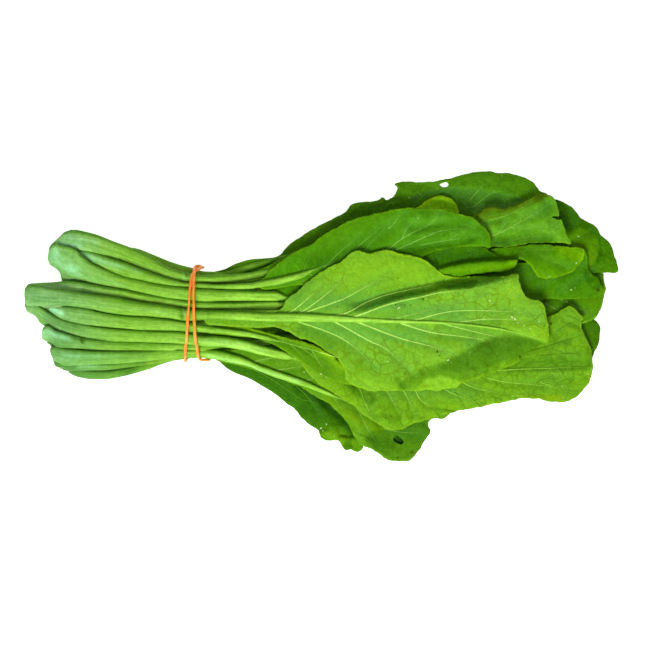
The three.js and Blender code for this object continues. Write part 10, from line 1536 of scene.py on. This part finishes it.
# ------------------------------------------------------------------ crowns
def crown_material():
    m = Nodes('crown_tissue')
    loc = m.attr('loc')
    kind = m.split(m.attr('kind'))
    n1 = m.noise(loc, 0.5, 4.0, 0.6)
    n2 = m.noise(loc, 2.2, 3.0, 0.6)
    col = m.mix(m.ramp(n1.outputs['Fac'], 0.35, 0.65), lin(112, 160, 84, GAIN), lin(150, 190, 112, GAIN))
    col = m.mix(m.math('MULTIPLY', kind[2], 0.8), col, lin(214, 222, 182, GAIN))
    ring = m.math('SINE', m.math('MULTIPLY', kind[1], 22.0))
    col = m.mix(m.math('MULTIPLY', m.math('MULTIPLY', m.ramp(ring, 0.1, 0.9), kind[2]), 0.5), col, lin(150, 176, 96, GAIN))
    m.link(col, m.bsdf.inputs['Base Color'])
    m.link(m.math('ADD', 0.45, m.math('MULTIPLY', n1.outputs['Fac'], 0.2)), m.bsdf.inputs['Roughness'])
    m.link(m.bump(m.math('ADD', n2.outputs['Fac'], m.math('MULTIPLY', ring, 0.3)), 0.6, 0.0004), m.bsdf.inputs['Normal'])
    return m.mat


crown_mat = crown_material()
for key, rows in CROWNS.items():
    rows = np.array(rows, float)
    sides = 36
    th = np.arange(sides) / sides * 2 * math.pi
    lobes = 1 + 0.07 * np.cos(5 * th + 0.7) + 0.04 * np.cos(9 * th + 2.0)
    xs = np.linspace(rows[0, 0], rows[-1, 0], 26)
    g = lambda c: np.interp(xs, rows[:, 0], rows[:, c])
    rad = 0.74 * g(3) * (1 - 0.75 * smooth01((xs - xs[-1] + 6) / 6))
    rows[:, 2] -= 1.2
    rings = []
    # cut face: rings towards the middle, then the side
    first = np.stack([np.full(sides, xs[0]), g(1)[0] + rad[0] * lobes * np.cos(th), g(2)[0] + rad[0] * lobes * np.sin(th)], -1)
    c0 = first.mean(0)
    inner = []
    for f in (0.15, 0.35, 0.55, 0.75, 0.92):
        q = c0 + (first - c0) * f
        q[:, 0] = xs[0] - 0.3 - 0.25 * math.cos(f * 7)
        inner.append(q)
    for k in range(len(xs)):
        rings.append(np.stack([np.full(sides, xs[k]), g(1)[k] + rad[k] * lobes * np.cos(th), g(2)[k] + rad[k] * lobes * np.sin(th)], -1))
    allr = np.array(inner + rings)
    v, f = closed_loft(allr, c0 + np.array([-0.3, 0, 0]), rings[-1].mean(0) + np.array([0.5, 0, 0]))
    kind = np.zeros((len(v), 3))
    kind[:6 * sides, 2] = 1
    kind[-2, 2] = 1
    for q, fr in enumerate((0.15, 0.35, 0.55, 0.75, 0.92, 1.0)):
        kind[q * sides:(q + 1) * sides, 1] = fr
    s = Shape()
    s.add(v, f, kind=kind, loc=v)
    piece = 'greens_crown_' + key.lower()
    ob, n = s.mesh(piece)
    total += n
    ob.data.materials.append(crown_mat)
    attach(ob, 'root')
    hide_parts('crown_' + key.lower())


# ------------------------------------------------------------------ rubber band
def band_curve(count):
    rows = np.array(BAND_X_TURNS, float)
    n = len(rows)
    ang = rows[:, 0]
    s = np.linspace(0, 720, count, endpoint=False)
    out = np.zeros((count, 3))
    deg = np.arange(0, 360, 10) * math.pi / 180
    sup = np.zeros(36)
    for st in STALK.values():
        for u in np.arange(184, 212, 3.0):
            near_top = (np.cos(deg) < 0.6) | (196 <= u <= 206)
            f = lambda key: float(np.interp(u, st['u'], st[key]))
            rm = min(f('w'), f('h'))
            for e in (-1, 1):
                cy = f('cy') + e * (f('w') - rm)
                cz = f('cz') + e * (f('w') - rm) * f('t')
                rr = np.hypot(rm * np.cos(deg), f('h') * np.sin(deg))
                sup = np.maximum(sup, np.where(near_top, (cy - 0.74) * np.cos(deg) + (cz - 15.8) * np.sin(deg) + rr, 0))

    def support(deg):
        u = deg / 10.0
        k0 = np.floor(u).astype(int)
        val = np.zeros(len(u))
        wt = np.zeros(len(u))
        for dk in range(-2, 4):
            k = k0 + dk
            w = np.exp(-((k - u) ** 2) / 1.1)
            val += w * sup[k % 36]
            wt += w
        return val / wt

    def hermite(c):
        res = np.zeros(count)
        for q in range(count):
            i = max(0, int(np.searchsorted(ang, s[q], side='right')) - 1)
            s0 = ang[i]
            s1 = ang[i + 1] if i + 1 < n else 720.0
            t = (s[q] - s0) / (s1 - s0)
            at = lambda k: rows[k % n, c]

            def slope(k):
                kk = k % n
                before = ang[(kk - 1) % n] - (720 if kk == 0 else 0)
                after = ang[kk + 1] if kk + 1 < n else 720.0
                return (at(kk + 1) - at(kk - 1)) / (after - before)
            h = s1 - s0
            res[q] = ((2 * t ** 3 - 3 * t ** 2 + 1) * at(i) + (t ** 3 - 2 * t ** 2 + t) * h * slope(i)
                      + (-2 * t ** 3 + 3 * t ** 2) * at(i + 1) + (t ** 3 - t ** 2) * h * slope(i + 1))
        return res
    x = hermite(1) - 0.285
    lift = np.maximum(0, hermite(2))
    a = np.radians(s % 360)
    h = support(s % 360) + 0.8 + 0.12 + lift
    h = h - 1.1 * np.exp(-((s % 360 - 188) / 20) ** 2) * smooth01((x - X(201.5)) / 2.5)
    sh = (support((s % 360) + 3) - support((s % 360) - 3)) / math.radians(6)
    y = 0.74 + h * np.cos(a) - sh * np.sin(a)
    z = 15.8 + h * np.sin(a) + sh * np.cos(a)
    return np.stack([x, y, z], -1)


c = band_curve(720)
n = len(c)
t = np.roll(c, -1, 0) - np.roll(c, 1, 0)
t /= np.linalg.norm(t, axis=1)[:, None]
mid = np.array([0, 0.74, 15.8])
rad = c - mid
rad[:, 0] = 0
rad -= (rad * t).sum(1)[:, None] * t
rad /= np.linalg.norm(rad, axis=1)[:, None]
lat = np.cross(t, rad)
# the strand turns over once in each round, a little unevenly
q = np.arange(n) / n
twist = 2 * math.pi * 6 * q + 0.8 * np.sin(2 * math.pi * 2 * q + 0.4)
sides = 16
th = (np.arange(sides) + 0.5) / sides * 2 * math.pi
sq = lambda f: np.sign(f) * np.abs(f) ** 0.62
prof = np.stack([0.84 * sq(np.cos(th)), 0.60 * sq(np.sin(th))], -1)
wob = 1 + 0.03 * np.sin(2 * math.pi * 41 * q) + 0.02 * np.sin(2 * math.pi * 67 * q + 1)
ca, sa = np.cos(twist), np.sin(twist)
a = prof[None, :, 0] * ca[:, None] - prof[None, :, 1] * sa[:, None]
b = prof[None, :, 0] * sa[:, None] + prof[None, :, 1] * ca[:, None]
ring = c[:, None] + lat[:, None] * (a * wob[:, None])[..., None] + rad[:, None] * (b * wob[:, None])[..., None]
v = ring.reshape(-1, 3)
i, k = np.meshgrid(np.arange(n), np.arange(sides), indexing='ij')
i2 = (i + 1) % n
k2 = (k + 1) % sides
p0, p1, p2, p3 = i * sides + k, i * sides + k2, i2 * sides + k2, i2 * sides + k
f = np.vstack([np.stack([p0, p1, p2], -1).reshape(-1, 3), np.stack([p0, p2, p3], -1).reshape(-1, 3)])
f = orient(v, f)
v[:, 2] = np.maximum(v[:, 2], 0.02)
s = Shape()
run = np.cumsum(np.linalg.norm(np.roll(c, -1, 0) - c, axis=1))
loc = np.stack([np.repeat(run, sides), np.tile(prof[:, 0], n), np.tile(prof[:, 1], n)], -1)
s.add(v, f, loc=loc)
ob, m_ = s.mesh('greens_rubber_band')
total += m_
m = Nodes('band_rubber')
loc = m.attr('loc')
n1 = m.noise(loc, 0.35, 3.0, 0.6)
st = m.t.nodes.new('ShaderNodeMapping')
st.inputs['Scale'].default_value = (1.0, 0.15, 0.15)
m.link(loc, st.inputs['Vector'])
n2 = m.noise(st.outputs[0], 2.4, 3.0, 0.65)
col = m.mix(m.ramp(n1.outputs['Fac'], 0.35, 0.68), lin(255, 128, 24, GAIN * 1.2), lin(255, 160, 66, GAIN * 1.2))
col = m.mix(m.math('MULTIPLY', m.ramp(n2.outputs['Fac'], 0.52, 0.75), 0.4), col, lin(206, 78, 14, GAIN))
m.link(col, m.bsdf.inputs['Base Color'])
m.link(m.math('ADD', 0.42, m.math('MULTIPLY', n1.outputs['Fac'], 0.2)), m.bsdf.inputs['Roughness'])
m.link(m.bump(n2.outputs['Fac'], 0.5, 0.0003), m.bsdf.inputs['Normal'])
ob.data.materials.append(m.mat)
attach(ob, 'root')
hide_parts('rubber_band')
print('triangles', total)

# ------------------------------------------------------------------ floor, light and camera
me = bpy.data.meshes.new('floor')
me.from_pydata([(-3, -3, 0), (3, -3, 0), (3, 3, 0), (-3, 3, 0)], [], [(0, 1, 2, 3)])
floor = bpy.data.objects.new('floor', me)
bpy.context.scene.collection.objects.link(floor)
m = Nodes('floor_paper')
tc = m.t.nodes.new('ShaderNodeTexCoord')
nz = m.noise(tc.outputs['Object'], 6.0, 3.0)
m.link(m.mix(nz.outputs['Fac'], (0.90, 0.90, 0.90, 1), (0.93, 0.93, 0.93, 1)), m.bsdf.inputs['Base Color'])
m.bsdf.inputs['Roughness'].default_value = 0.9
m.bsdf.inputs['Specular IOR Level'].default_value = 0.1
m.bsdf.inputs['Emission Color'].default_value = (1, 1, 1, 1)
m.bsdf.inputs['Emission Strength'].default_value = FLOOR_GLOW
floor.data.materials.append(m.mat)

world = bpy.data.worlds.new('studio')
world.use_nodes = True
world.node_tree.nodes['Background'].inputs[0].default_value = (1.0, 1.0, 1.0, 1)
world.node_tree.nodes['Background'].inputs[1].default_value = WORLD
bpy.context.scene.world = world


def area(name, at, target, size, power):
    ld = bpy.data.lights.new(name, 'AREA')
    ld.shape = 'RECTANGLE'
    ld.size = size[0]
    ld.size_y = size[1]
    ld.energy = power
    ob = bpy.data.objects.new(name, ld)
    bpy.context.scene.collection.objects.link(ob)
    ob.location = at
    from mathutils import Vector
    d = Vector(target) - Vector(at)
    ob.rotation_euler = d.to_track_quat('-Z', 'Y').to_euler()


for args in LIGHTS:
    area(*args)

cam = bpy.data.cameras.new('camera')
cam.lens = CAM_LENS
cam.sensor_width = 36.0
cam.clip_end = 20.0
cob = bpy.data.objects.new('camera', cam)
bpy.context.scene.collection.objects.link(cob)
cob.location = (AIM[0] / 1000, AIM[1] / 1000, (REF_LEVEL + CAM_DISTANCE) / 1000)
cob.rotation_euler = (0, 0, 0)
bpy.context.scene.camera = cob
bpy.context.scene.view_settings.view_transform = 'Standard'
bpy.context.scene.view_settings.look = 'None'
bpy.context.scene.view_settings.exposure = 0.0
bpy.context.scene.view_settings.gamma = 1.0
